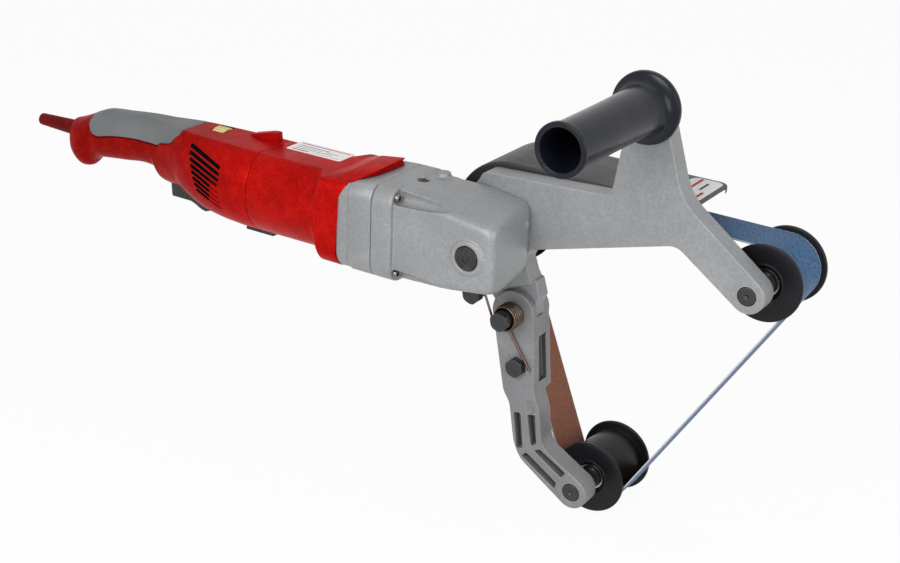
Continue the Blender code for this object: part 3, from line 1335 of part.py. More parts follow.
def make_rear_housing():
    first = OVERLAY_EDGE[0][0]
    last = OVERLAY_EDGE[-1][0]
    inset = OVERLAY_THICK + GAP
    xs = [s[0] for s in REAR_STATIONS]
    xs += [x for x, z in OVERLAY_EDGE[1:-1]]
    xs = sorted(set(xs))
    rings = []
    for x in xs:
        if first < x < last:
            rings.append(rear_ring(x, inset, 0.0))
        else:
            rings.append(rear_ring(x, 0.0, 0.0))
    starts = [(first - GAP, 0.0), (first, inset), (last, inset), (last + GAP, 0.0)]
    for x, depth in starts:
        rings.append(rear_ring(x, depth, 0.0))
    rings.sort(key=lambda ring: ring[0].x)
    front = SEAM_X - GAP
    count = len(rings[0])
    rings.append([Vector((front, p.y, p.z)) for p in rear_ring(REAR_STATIONS[-1][0], 0.0, 0.0)])
    inner = []
    for x in (front,) + HOLLOW_STATIONS:
        reach = min(x, REAR_STATIONS[-1][0])
        ring = rear_ring(reach, REAR_WALL + inset, REAR_WALL)
        inner.append([Vector((x, p.y, p.z)) for p in ring])
    verts = [v for ring in rings + inner for v in ring]
    faces = []
    for i in range(len(rings) + len(inner) - 1):
        a = i * count
        b = a + count
        for j in range(count):
            k = (j + 1) % count
            faces.append((a + j, a + k, b + k, b + j))
    faces.append(tuple(range(count)))
    faces.append(tuple(range(len(verts) - count, len(verts))))
    housing = place("rear_housing", verts, faces, RED)
    housing.modifiers.new("flat_faces", "TRIANGULATE")
    vent_verts = []
    vent_faces = []
    for side in (-1, 1):
        for i in range(VENT_COUNT):
            rear = Vector(VENT_FIRST) + Vector(VENT_REAR_STEP) * i
            fore = Vector(VENT_FRONT) + Vector(VENT_FRONT_STEP) * i
            up = Y_AXIS.cross(rear - fore).normalized() * (VENT_HIGH / 2)
            base = len(vent_verts)
            for y in (side * VENT_INNER_Y, side * VENT_OUTER_Y):
                for corner in (rear - up, fore - up, fore + up, rear + up):
                    vent_verts.append(corner + Y_AXIS * y)
            for quad in BOX_FACES:
                vent_faces.append(tuple(base + corner for corner in quad))
    cut(housing, place("vent_form", vent_verts, vent_faces, None, smooth=0.0))
    low = (TRIGGER_REAR_X - TRIGGER_SLOT_END, -TRIGGER_HALF - TRIGGER_SLOT_SIDE, -BARREL_R - CUT_OVER)
    high = (TRIGGER_FRONT_X + TRIGGER_SLOT_END, TRIGGER_HALF + TRIGGER_SLOT_SIDE, TRIGGER_ROOF_Z + CUT_OVER)
    cut(housing, block("trigger_slot_form", low, high, None))
    half = WHEEL_WIDTH / 2 + RUN_GAP
    clear = WHEEL_R + 2 * RUN_GAP
    profile = [(0, WHEEL_X - half), (clear, WHEEL_X - half), (clear, WHEEL_X + half), (0, WHEEL_X + half)]
    cut(housing, turned("wheel_slot_form", profile, X_AXIS, (0, WHEEL_Y, WHEEL_Z), None))
    mouth = SLEEVE_ROOT_R + GAP
    rear, fore = SLEEVE_HOLE_X
    profile = [(0, rear), (mouth, rear), (mouth, fore), (0, fore)]
    centre = (0, 0, SLEEVE_Z)
    form = turned("sleeve_hole_form", profile, X_AXIS, centre, None, RING_STEPS, phase=pi / RING_STEPS)
    cut(housing, form)
    hump_rings = []
    foot = DECK_Z - WELD_LAP
    for y in (HUMP_NEAR_Y, HUMP_FAR_Y):
        hump_rings.append([
            Vector((HUMP_REAR_X, y, foot)),
            Vector((HUMP_CREST_X, y, HUMP_TOP)),
            Vector((SEAM_X - RUN_GAP, y, HUMP_TOP)),
            Vector((SEAM_X - RUN_GAP, y, foot)),
        ])
    unite(housing, skin("hump_form", hump_rings, None, smooth=0.0))
    return housing


def make_overlay():
    first = OVERLAY_EDGE[0][0] + GAP
    last = OVERLAY_EDGE[-1][0] - GAP
    xs = [s[0] for s in REAR_STATIONS if first < s[0] < last]
    xs += [x for x, z in OVERLAY_EDGE[1:-1]]
    xs = sorted(set(xs + [first, last]))
    rings = []
    for x in xs:
        seam = seam_angle(x) + OVERLAY_START
        thick = OVERLAY_THICK - GAP
        outer = [surface_point(x, angle, 0.0) for angle in upper_angles(x, 0.0, seam)]
        inner = [surface_point(x, angle, thick) for angle in upper_angles(x, thick, seam)]
        rings.append(outer + list(reversed(inner)))
    return skin("grip_overlay", rings, SOFT_GREY)


def make_sleeve():
    profile = [
        (SLEEVE_BORE_R, SLEEVE_REAR_X),
        (SLEEVE_TIP_R - SLEEVE_EDGE, SLEEVE_REAR_X),
        (SLEEVE_TIP_R, SLEEVE_REAR_X + SLEEVE_EDGE),
        (SLEEVE_ROOT_R, SLEEVE_ROOT_X),
        (SLEEVE_ROOT_R, SLEEVE_FRONT_X),
        (SLEEVE_BORE_R, SLEEVE_FRONT_X),
    ]
    centre = (0, 0, SLEEVE_Z)
    return turned("cord_sleeve", profile, X_AXIS, centre, DARK_RED, RING_STEPS, phase=pi / RING_STEPS)


def make_trigger():
    outline = [(TRIGGER_REAR_X, TRIGGER_ROOF_Z), (TRIGGER_REAR_X + TRIGGER_ROUND, TRIGGER_FLOOR_Z)]
    for i in range(FEW_STEPS + 1):
        share = i / FEW_STEPS
        drop = (TRIGGER_NOSE_Z - TRIGGER_FLOOR_Z) * (1 - cos(pi * share)) / 2
        outline.append((TRIGGER_CURL_X + TRIGGER_CURL_LONG * share, TRIGGER_FLOOR_Z + drop))
    nose = TRIGGER_FRONT_X - TRIGGER_PIVOT_X
    outline += arc(TRIGGER_PIVOT_X, TRIGGER_PIVOT_Z, nose, *TRIGGER_NOSE_ARC, FEW_STEPS)
    outline.append((TRIGGER_CURL_X, TRIGGER_ROOF_Z))
    pivot = (TRIGGER_PIVOT_X, 0, TRIGGER_PIVOT_Z)
    made = prism("trigger", outline, -TRIGGER_HALF, TRIGGER_HALF, BLACK, pivot)
    return soften(made, TRIGGER_ROUND, 1)


def make_wheel():
    profile_r = []
    for i in range(WHEEL_TEETH * 2):
        profile_r.append(WHEEL_R if i % 2 == 0 else WHEEL_R - WHEEL_TOOTH)
    count = len(profile_r)
    rings = []
    half = WHEEL_WIDTH / 2
    for x, inner in ((-half, False), (half, False), (half, True), (-half, True)):
        ring = []
        for i, radius in enumerate(profile_r):
            reach = WHEEL_BORE_R if inner else radius
            angle = 2 * pi * i / count
            ring.append(Vector((WHEEL_X + x, WHEEL_Y + reach * cos(angle), WHEEL_Z + reach * sin(angle))))
        rings.append(ring)
    return skin("speed_wheel", rings, YELLOW, (WHEEL_X, WHEEL_Y, WHEEL_Z), loop=True, smooth=20.0)


def make_rear_details():
    low = (SWITCH_REAR_X, -SWITCH_HALF, SWITCH_LOW_Z)
    high = (SWITCH_FRONT_X, SWITCH_HALF, SWITCH_TOP_Z)
    soften(block("switch_block", low, high, BLACK), BOX_EDGE, 1)
    low_z = -BARREL_R - BRUSH_COVER_THICK
    outline = [
        (BRUSH_COVER_X[0], low_z),
        (BRUSH_COVER_X[1], low_z),
        (BRUSH_COVER_X[1], low_z + BRUSH_COVER_THICK - GAP),
        (BRUSH_COVER_X[0], low_z + BRUSH_COVER_THICK - GAP),
    ]
    cover = prism("brush_cover", outline, -BRUSH_COVER_HALF, BRUSH_COVER_HALF, BLACK, smooth=0.0)
    return soften(cover, BOX_EDGE, 1)


# Gear case
def gear_flange_rings():
    """Sections of the flange next to the motor: its top slopes down under the visor."""
    rings = []
    for (x, top), step in zip(FLANGE_TOPS, (FLANGE_STEP, FLANGE_STEP, 0.0, 0.0)):
        rings.append(ring_at(x, rounded_square(FLANGE_HALF - step, FLANGE_CORNER, top)))
    return rings


def make_gear_flange():
    bore = disc(FAN_BORE_R)
    rings = gear_flange_rings()
    rings += [
        ring_at(FLANGE_SPLIT_X - GAP, bore),
        ring_at(FLANGE_REAR_X, bore),
    ]
    return skin("gear_flange", rings, CAST_GREY, loop=True)


def case_outline(front, inset):
    """The gear case seen along the spindle: a blunt nose, shrunk by a margin."""
    tip_x = front - inset
    tip = CASE_TIP_HALF - inset
    mid = CASE_MID_HALF - inset
    back = CASE_BACK_HALF - inset
    corner = (tip_x, tip - CASE_TIP_ROUND * NOSE_FALL)
    upper = fillet((CASE_MID_X, mid), corner, (tip_x, 0.0), CASE_TIP_ROUND)
    upper.reverse()
    lower = [(x, -z) for x, z in reversed(upper)]
    outline = lower + upper
    outline += [(CASE_MID_X, mid), (CASE_BACK_X, back), (CASE_BACK_X, -back), (CASE_MID_X, -mid)]
    return outline


def make_gear_case():
    rings = []
    for reach, inset in CASE_LEVELS:
        y = CASE_NEAR_Y + CASE_ROUND * reach
        if reach == CASE_LEVELS[-1][0]:
            y = CASE_FAR_Y
        share = (y - CASE_NEAR_Y) / (CASE_FAR_Y - CASE_NEAR_Y)
        front = CASE_NEAR_X + (CASE_FAR_X - CASE_NEAR_X) * share
        rings.append([Vector((x, y, z)) for x, z in case_outline(front, CASE_ROUND * inset)])
    case = skin("gear_case", rings, CAST_GREY)
    wide = rounded_square(FLANGE_HALF, FLANGE_CORNER, FLANGE_TOP)
    edge = FLANGE_STEP * 2
    slim = rounded_square(FLANGE_HALF - edge, FLANGE_CORNER, FLANGE_TOP - edge)
    collar = skin("collar_form", [
        ring_at(FLANGE_SPLIT_X, wide),
        ring_at(FLANGE_FRONT_X - edge, wide),
        ring_at(FLANGE_FRONT_X, slim),
    ], None)
    unite(case, collar)
    lip = [
        (0, CASE_NEAR_Y + LOCK_RING_FOOT),
        (LOCK_RING_R + LOCK_RING_SLOPE, CASE_NEAR_Y + LOCK_RING_FOOT),
        (LOCK_RING_R + LOCK_RING_SLOPE, CASE_NEAR_Y),
        (LOCK_RING_R, CASE_NEAR_Y - LOCK_RING_RISE),
        (0, CASE_NEAR_Y - LOCK_RING_RISE),
    ]
    unite(case, turned("lock_ring_form", lip, Y_AXIS, (LOCK_X, 0, 0), None))
    boss = [
        (0, BOSS_FOOT_Z),
        (BOSS_R, BOSS_FOOT_Z),
        (BOSS_R * BOSS_TAPER, BOSS_TOP_Z - FLANGE_ROUND),
        (BOSS_R * BOSS_TAPER - FLANGE_ROUND, BOSS_TOP_Z),
        (0, BOSS_TOP_Z),
    ]
    unite(case, turned("top_boss_form", boss, Z_AXIS, (BOSS_X, BOSS_Y, 0), None, RING_STEPS))
    nub = [(0, NUB_X - NUB_LONG), (NUB_R, NUB_X - NUB_LONG), (NUB_R, NUB_X - FLANGE_ROUND), (0, NUB_X)]
    unite(case, turned("nub_form", nub, X_AXIS, (0, NUB_Y, NUB_Z), None, SMALL_STEPS))
    chamber = [
        (0, CASE_NEAR_Y + CASE_WALL),
        (CASE_CHAMBER_R - CASE_WALL, CASE_NEAR_Y + CASE_WALL),
        (CASE_CHAMBER_R, CASE_NEAR_Y + 2 * CASE_WALL),
        (CASE_CHAMBER_R, CASE_FAR_Y + CUT_OVER),
        (0, CASE_FAR_Y + CUT_OVER),
    ]
    cut(case, turned("chamber_form", chamber, Y_AXIS, (0, 0, 0), None))
    neck_end = FLANGE_SPLIT_X - CUT_OVER
    neck = [(0, neck_end), (CASE_NECK_R, neck_end), (CASE_NECK_R, 0), (0, 0)]
    cut(case, turned("neck_form", neck, X_AXIS, (0, 0, 0), None, RING_STEPS))
    number = 0
    for side in (-1, 1):
        for up in (1, -1):
            number += 1
            y = side * SCREW_PITCH
            z = up * SCREW_PITCH
            seat_x = FLANGE_FRONT_X - SPOT_FACE
            groove = [
                (0, seat_x),
                (GROOVE_R, seat_x),
                (GROOVE_R * GROOVE_TAPER, (FLANGE_FRONT_X + GROOVE_END_X) / 2),
                (0, GROOVE_END_X),
            ]
            centre = (0, y, z + up * GROOVE_LIFT)
            cut(case, turned("groove_form_%d" % number, groove, X_AXIS, centre, None, RING_STEPS))
            hole = CASE_SCREW_SHANK_R + HOLE_SLACK
            bore = [
                (0, FLANGE_SPLIT_X - CUT_OVER),
                (hole, FLANGE_SPLIT_X - CUT_OVER),
                (hole, FLANGE_FRONT_X + CUT_OVER),
                (0, FLANGE_FRONT_X + CUT_OVER),
            ]
            cut(case, turned("case_hole_form_%d" % number, bore, X_AXIS, (0, y, z), None, SMALL_STEPS))
            head = seat_x + GAP
            tip = FLANGE_SPLIT_X + GAP
            screw = screw_profile(tip, head, CASE_SCREW_SHANK_R, CASE_SCREW_R, CASE_SCREW_HEAD)
            turned("case_screw_%d" % number, screw, X_AXIS, (0, y, z), BOLT_BLACK, SMALL_STEPS)
    lock_hole = [
        (0, CASE_NEAR_Y - 2 * CUT_OVER),
        (LOCK_R + HOLE_SLACK, CASE_NEAR_Y - 2 * CUT_OVER),
        (LOCK_R + HOLE_SLACK, CASE_NEAR_Y + CASE_WALL + CUT_OVER),
        (0, CASE_NEAR_Y + CASE_WALL + CUT_OVER),
    ]
    centre = (LOCK_X, 0, 0)
    cut(case, turned("lock_hole_form", lock_hole, Y_AXIS, centre, None, phase=pi / ROUND_STEPS))
    button = [
        (0, CASE_NEAR_Y - LOCK_PROUD),
        (LOCK_R - LOCK_EDGE, CASE_NEAR_Y - LOCK_PROUD),
        (LOCK_R, CASE_NEAR_Y - LOCK_PROUD + LOCK_EDGE),
        (LOCK_R, CASE_NEAR_Y - LOCK_PROUD + LOCK_HEAD_LONG),
        (LOCK_PIN_R, CASE_NEAR_Y - LOCK_PROUD + LOCK_HEAD_LONG),
        (LOCK_PIN_R, CROWN_FACE_Y - CROWN_CONE - LOCK_TRAVEL - RUN_GAP),
        (0, CROWN_FACE_Y - CROWN_CONE - LOCK_TRAVEL - RUN_GAP),
    ]
    turned("lock_button", button, Y_AXIS, centre, BLACK, phase=pi / ROUND_STEPS)
    hole = OIL_SCREW_R + HOLE_SLACK
    above = OIL_SCREW_TOP + CUT_OVER
    oil_hole = [(0, OIL_SEAT_Z), (hole, OIL_SEAT_Z), (hole, above), (0, above)]
    centre = (OIL_SCREW_X, OIL_SCREW_Y, 0)
    cut(case, turned("oil_hole_form", oil_hole, Z_AXIS, centre, None, SMALL_STEPS))
    oil = [
        (0, OIL_SEAT_Z + GAP),
        (OIL_SCREW_R, OIL_SEAT_Z + GAP),
        (OIL_SCREW_R, OIL_SCREW_TOP - GAP),
        (OIL_SCREW_R - FLANGE_ROUND, OIL_SCREW_TOP),
        (0, OIL_SCREW_TOP),
    ]
    turned("oil_screw", oil, Z_AXIS, centre, BOLT_BLACK, SMALL_STEPS)
    return case


# Motor parts inside the housing
def make_motor():
    outer = flat_topped(STATOR_R, DECK_Z - BARREL_WALL - GAP)
    inner = disc(STATOR_BORE_R)
    stator = [ring_at(CORE_REAR_X, outer), ring_at(CORE_FRONT_X, outer)]
    stator += [ring_at(CORE_FRONT_X, inner), ring_at(CORE_REAR_X, inner)]
    skin("stator", stator, IRON, loop=True)
    hole = SHAFT_R + HOLE_SLACK
    core = [
        (hole, CORE_REAR_X - WINDING_LONG),
        (WINDING_R, CORE_REAR_X - WINDING_LONG),
        (WINDING_R, CORE_REAR_X),
        (CORE_R, CORE_REAR_X),
        (CORE_R, CORE_FRONT_X),
        (WINDING_R, CORE_FRONT_X),
        (WINDING_R, CORE_FRONT_X + WINDING_LONG),
        (hole, CORE_FRONT_X + WINDING_LONG),
    ]
    turned("armature_core", core, X_AXIS, (0, 0, 0), COPPER, RING_STEPS)
    commutator = [
        (hole, COMMUTATOR_X[0]),
        (COMMUTATOR_R, COMMUTATOR_X[0]),
        (COMMUTATOR_R, COMMUTATOR_X[1]),
        (hole, COMMUTATOR_X[1]),
    ]
    turned("commutator", commutator, X_AXIS, (0, 0, 0), COPPER, RING_STEPS)
    shaft = [
        (0, SHAFT_REAR_X),
        (SHAFT_R, SHAFT_REAR_X),
        (SHAFT_R, PINION_REAR_X),
        (PINION_R, PINION_REAR_X),
        (PINION_TIP_R, PINION_FRONT_X),
        (0, PINION_FRONT_X),
    ]
    turned("motor_shaft", shaft, X_AXIS, (0, 0, 0), BRIGHT, SMALL_STEPS)
    for name, ends, outer in (
        ("rear_bearing", REAR_BEARING_X, REAR_BEARING_R),
        ("front_bearing", FRONT_BEARING_X, FRONT_BEARING_R),
    ):
        ring = [(hole, ends[0]), (outer, ends[0]), (outer, ends[1]), (hole, ends[1])]
        turned(name, ring, X_AXIS, (0, 0, 0), BRIGHT, RING_STEPS)
    seat = REAR_BEARING_R + GAP
    bore = disc(seat)
    hub = disc(seat + SPIDER_LIP)
    rim = flat_topped(SPIDER_R, SPIDER_TOP)
    spider = [
        ring_at(REAR_BEARING_X[0], bore),
        ring_at(REAR_BEARING_X[0], hub),
        ring_at(REAR_BEARING_X[1] - SPIDER_LIP, hub),
        ring_at(REAR_BEARING_X[1] - SPIDER_LIP, rim),
        ring_at(REAR_BEARING_X[1], rim),
        ring_at(REAR_BEARING_X[1], bore),
    ]
    skin("rear_spider", spider, BLACK, loop=True)
    for name, side in (("carbon_brush_upper", 1), ("carbon_brush_lower", -1)):
        near = side * (COMMUTATOR_R + GAP)
        far = side * (COMMUTATOR_R + GAP + BRUSH_LONG)
        low = (BRUSH_X[0], -BRUSH_HALF, min(near, far))
        high = (BRUSH_X[1], BRUSH_HALF, max(near, far))
        block(name, low, high, CARBON)
    make_fan()


def make_fan():
    hole = SHAFT_R + HOLE_SLACK
    plate = [
        (hole, FAN_X[0]),
        (FAN_HUB_R, FAN_X[0]),
        (FAN_HUB_R, FAN_X[1] - FAN_PLATE),
        (FAN_R, FAN_X[1] - FAN_PLATE),
        (FAN_R, FAN_X[1]),
        (hole, FAN_X[1]),
    ]
    fan = turned("fan", plate, X_AXIS, (0, 0, 0), BLACK, FAN_BLADES * 3)
    verts = []
    faces = []
    for i in range(FAN_BLADES):
        angle = 2 * pi * i / FAN_BLADES
        out = Vector((0, cos(angle), sin(angle)))
        side = Vector((0, -sin(angle), cos(angle))) * (FAN_BLADE / 2)
        base = len(verts)
        for x in (FAN_X[0] + FAN_BLADE, FAN_X[1] - FAN_PLATE + WELD_LAP):
            for reach, sign in (
                (FAN_HUB_R - WELD_LAP, -1),
                (FAN_R - FAN_BLADE, -1),
                (FAN_R - FAN_BLADE, 1),
                (FAN_HUB_R - WELD_LAP, 1),
            ):
                verts.append(out * reach + side * sign + X_AXIS * x)
        for quad in BOX_FACES:
            faces.append(tuple(base + corner for corner in quad))
    unite(fan, place("fan_blade_form", verts, faces, None, smooth=0.0))
    return fan


# Spindle, crown gear and drive roller
def make_drive():
    hole = SPINDLE_R + HOLE_SLACK
    crown = [
        (hole, CROWN_FACE_Y - CROWN_CONE),
        (CROWN_CONE_R, CROWN_FACE_Y - CROWN_CONE),
        (CROWN_R, CROWN_FACE_Y),
        (CROWN_R, CROWN_BACK_Y),
        (hole, CROWN_BACK_Y),
    ]
    turned("crown_gear", crown, Y_AXIS, (0, 0, 0), BRIGHT)
    spindle = rod_profile(SPINDLE_R, SPINDLE_NEAR_Y, SPINDLE_FAR_Y, FLANGE_ROUND)
    turned("spindle", spindle, Y_AXIS, (0, 0, 0), BRIGHT, RING_STEPS)
    bearing = [
        (hole, SPINDLE_BEARING_Y[0]),
        (SPINDLE_SEAT_R - GAP, SPINDLE_BEARING_Y[0]),
        (SPINDLE_SEAT_R - GAP, SPINDLE_BEARING_Y[1]),
        (hole, SPINDLE_BEARING_Y[1]),
    ]
    turned("spindle_bearing", bearing, Y_AXIS, (0, 0, 0), BRIGHT)
    roller = roller_profile(DRIVE_FLANGE_R, DRIVE_BORE_R, RECESS_R)
    turned("drive_roller", roller, Y_AXIS, (0, 0, 0), RUBBER)
    make_nut("drive_nut", 0, 0, *DRIVE_NUT_Y, DRIVE_NUT_R, hole)
    for i, degrees in enumerate(FRAME_SCREW_ANGLES):
        x = FRAME_SCREW_RING_R * cos(radians(degrees))
        z = FRAME_SCREW_RING_R * sin(radians(degrees))
        seat = FRAME_FAR_Y + GAP
        tip = seat - FRAME_SCREW_LONG
        profile = screw_profile(tip, seat, FRAME_SCREW_SHANK_R, FRAME_SCREW_R, FRAME_SCREW_HEAD)
        turned("frame_screw_%d" % (i + 1), profile, Y_AXIS, (x, 0, z), BOLT_BLACK, SMALL_STEPS)


def settle_frame():
    """Moves every piece, so that the origin is under the middle of the box, at its lowest level."""
    bpy.context.view_layer.update()
    graph = bpy.context.evaluated_depsgraph_get()
    low = Vector((inf, inf, inf))
    high = -low
    for made in bpy.context.scene.objects:
        if made.hide_render:
            continue
        solid = made.evaluated_get(graph)
        mesh = solid.to_mesh()
        for vert in mesh.vertices:
            spot = solid.matrix_world @ vert.co
            low = Vector(map(min, low, spot))
            high = Vector(map(max, high, spot))
        solid.to_mesh_clear()
    shift = Vector((-(low.x + high.x) / 2, -(low.y + high.y) / 2, -low.z))
    for made in bpy.context.scene.objects:
        made.location += shift
    bpy.context.view_layer.update()
    print("box, mm:", [round(v * 1000, 1) for v in (high - low)])
    print("moved by, mm:", [round(v * 1000, 3) for v in shift])


make_rear_housing()
make_overlay()
make_sleeve()
make_trigger()
make_wheel()
make_rear_details()
make_motor_housing()
make_motor()
make_gear_flange()
make_gear_case()
make_drive()
make_frame()
make_handle()
make_guard()
make_belt()
make_idler("upper", UPPER_X, UPPER_Z, FRAME_NEAR_Y - GAP)
make_idler("lower", LOWER_X, LOWER_Z, ARM_NEAR_Y - GAP)
make_tension_arm()
make_frame_bolts()
make_spring()
settle_frame()
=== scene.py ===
# %% [markdown]
# # A pipe grinding machine, dressed for its picture
# The machine is a motor body with a trigger grip, a cast gear case, and a cast frame that
# carries an abrasive loop over three rollers. A spring arm keeps the loop tight, so that it
# can wrap round a pipe. The CAD model already fixes every place and every joint, so this
# lesson loads it as a frame and then gives each piece the shape and the finish of the real one.

# %% Load the frame
import bpy
import bmesh
import json
import numpy as np
from math import acos, asin, atan2, cos, hypot, pi, radians, sin
from mathutils import Matrix, Vector


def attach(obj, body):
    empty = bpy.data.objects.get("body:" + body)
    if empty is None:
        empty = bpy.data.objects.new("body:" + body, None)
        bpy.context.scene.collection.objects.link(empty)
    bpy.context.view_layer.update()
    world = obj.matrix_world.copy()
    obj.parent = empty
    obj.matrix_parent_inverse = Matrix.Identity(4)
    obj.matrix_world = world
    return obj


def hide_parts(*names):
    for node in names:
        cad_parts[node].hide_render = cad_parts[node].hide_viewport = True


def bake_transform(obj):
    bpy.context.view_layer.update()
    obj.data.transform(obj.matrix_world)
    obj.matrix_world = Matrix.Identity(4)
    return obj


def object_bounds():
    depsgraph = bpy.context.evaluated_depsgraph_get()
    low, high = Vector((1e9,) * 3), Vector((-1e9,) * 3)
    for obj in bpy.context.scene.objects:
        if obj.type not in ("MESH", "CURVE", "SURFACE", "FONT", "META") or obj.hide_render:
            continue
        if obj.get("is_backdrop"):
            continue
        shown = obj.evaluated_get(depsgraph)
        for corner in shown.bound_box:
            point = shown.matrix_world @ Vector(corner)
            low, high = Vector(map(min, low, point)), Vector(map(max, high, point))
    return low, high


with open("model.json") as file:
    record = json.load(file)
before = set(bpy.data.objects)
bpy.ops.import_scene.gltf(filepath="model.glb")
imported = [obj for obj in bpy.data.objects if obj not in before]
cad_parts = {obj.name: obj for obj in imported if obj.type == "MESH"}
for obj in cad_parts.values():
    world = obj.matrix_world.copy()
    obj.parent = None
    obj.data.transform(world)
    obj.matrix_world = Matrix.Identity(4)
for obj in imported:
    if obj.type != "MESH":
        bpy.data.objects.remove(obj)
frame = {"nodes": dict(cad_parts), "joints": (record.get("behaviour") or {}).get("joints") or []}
cad_low, cad_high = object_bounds()
nodes = frame["nodes"]
print("CAD nodes:", len(nodes), "box in mm:", [round(v * 1000, 1) for v in cad_high - cad_low])

# %% [markdown]
# ## A working frame in millimetres
# A workshop measures such a machine in millimetres from where the motor's axis crosses the
# spindle. The CAD puts its own origin on the floor, so one vector, the place of the spindle's
# joint, carries every point from the working frame into the shared one. The objects
# themselves stay at the origin, unturned, because the export expects that.

# %% Working frame
joints = {joint["name"]: joint for joint in frame["joints"]}
CROSSING = Vector(joints["drive_spin"]["pos_m"])
MM = 0.001
X_AXIS, Y_AXIS, Z_AXIS = Vector((1, 0, 0)), Vector((0, 1, 0)), Vector((0, 0, 1))


def spot(x, y, z):
    """A point of the working frame, in the shared frame and in metres."""
    return CROSSING + Vector((x, y, z)) * MM


def linked(name, data):
    """A new object in the scene, at the origin and unturned."""
    made = bpy.data.objects.new(name, data)
    bpy.context.scene.collection.objects.link(made)
    return made


print("the axes cross at", [round(v, 4) for v in CROSSING])

# %% [markdown]
# ## The camera
# The photograph was taken from the side of the handle, a little above the machine. Matching
# known corners of the CAD model to pixels gave the place, the direction and the focal length.
# Those values go in as a plain rotation matrix, which is easier to check than three angles.

# %% Camera
CAMERA_PLACE = (593.4, -974.0, 448.2)
CAMERA_RIGHT = Vector((0.83719, 0.54564, 0.03714))
CAMERA_UP = Vector((-0.24164, 0.30812, 0.92015))
CAMERA_BACK = Vector((0.49063, -0.77932, 0.38980))
FOCAL_PIXELS = 1645.3
IMAGE_WIDTH = 900
SENSOR = 36.0

camera = bpy.data.cameras.new("camera")
camera.sensor_width = SENSOR
camera.lens = FOCAL_PIXELS * SENSOR / IMAGE_WIDTH
camera.clip_end = 20.0
camera_object = linked("camera", camera)
turn = Matrix((CAMERA_RIGHT, CAMERA_UP, CAMERA_BACK)).transposed().to_4x4()
camera_object.matrix_world = Matrix.Translation(spot(*CAMERA_PLACE)) @ turn
bpy.context.scene.camera = camera_object
print("lens", round(camera.lens, 1), "mm")

# %% [markdown]
# ## Shader maths that reads like arithmetic
# A procedural material is a formula over the surface. Wiring maths nodes by hand hides that
# formula, so a small class wraps an output socket and overloads the operators. Everything
# that isn't arithmetic, such as noise or bump, comes from one method that adds a node.


# %% Wires and finishes
def arithmetic(operation, swapped=False):
    """A method that adds one maths node; swapped puts the other value first."""
    def method(self, other):
        pair = (other, self) if swapped else (self, other)
        return self.finish.maths(operation, *pair)

    return method


class Wire:
    """An output socket that takes part in arithmetic."""

    def __init__(self, finish, socket):
        self.finish = finish
        self.socket = socket

    __add__ = __radd__ = arithmetic("ADD")
    __sub__ = arithmetic("SUBTRACT")
    __rsub__ = arithmetic("SUBTRACT", swapped=True)
    __mul__ = __rmul__ = arithmetic("MULTIPLY")
    __truediv__ = arithmetic("DIVIDE")
    __rtruediv__ = arithmetic("DIVIDE", swapped=True)
    __pow__ = arithmetic("POWER")
    __gt__ = arithmetic("GREATER_THAN")
    __lt__ = arithmetic("LESS_THAN")


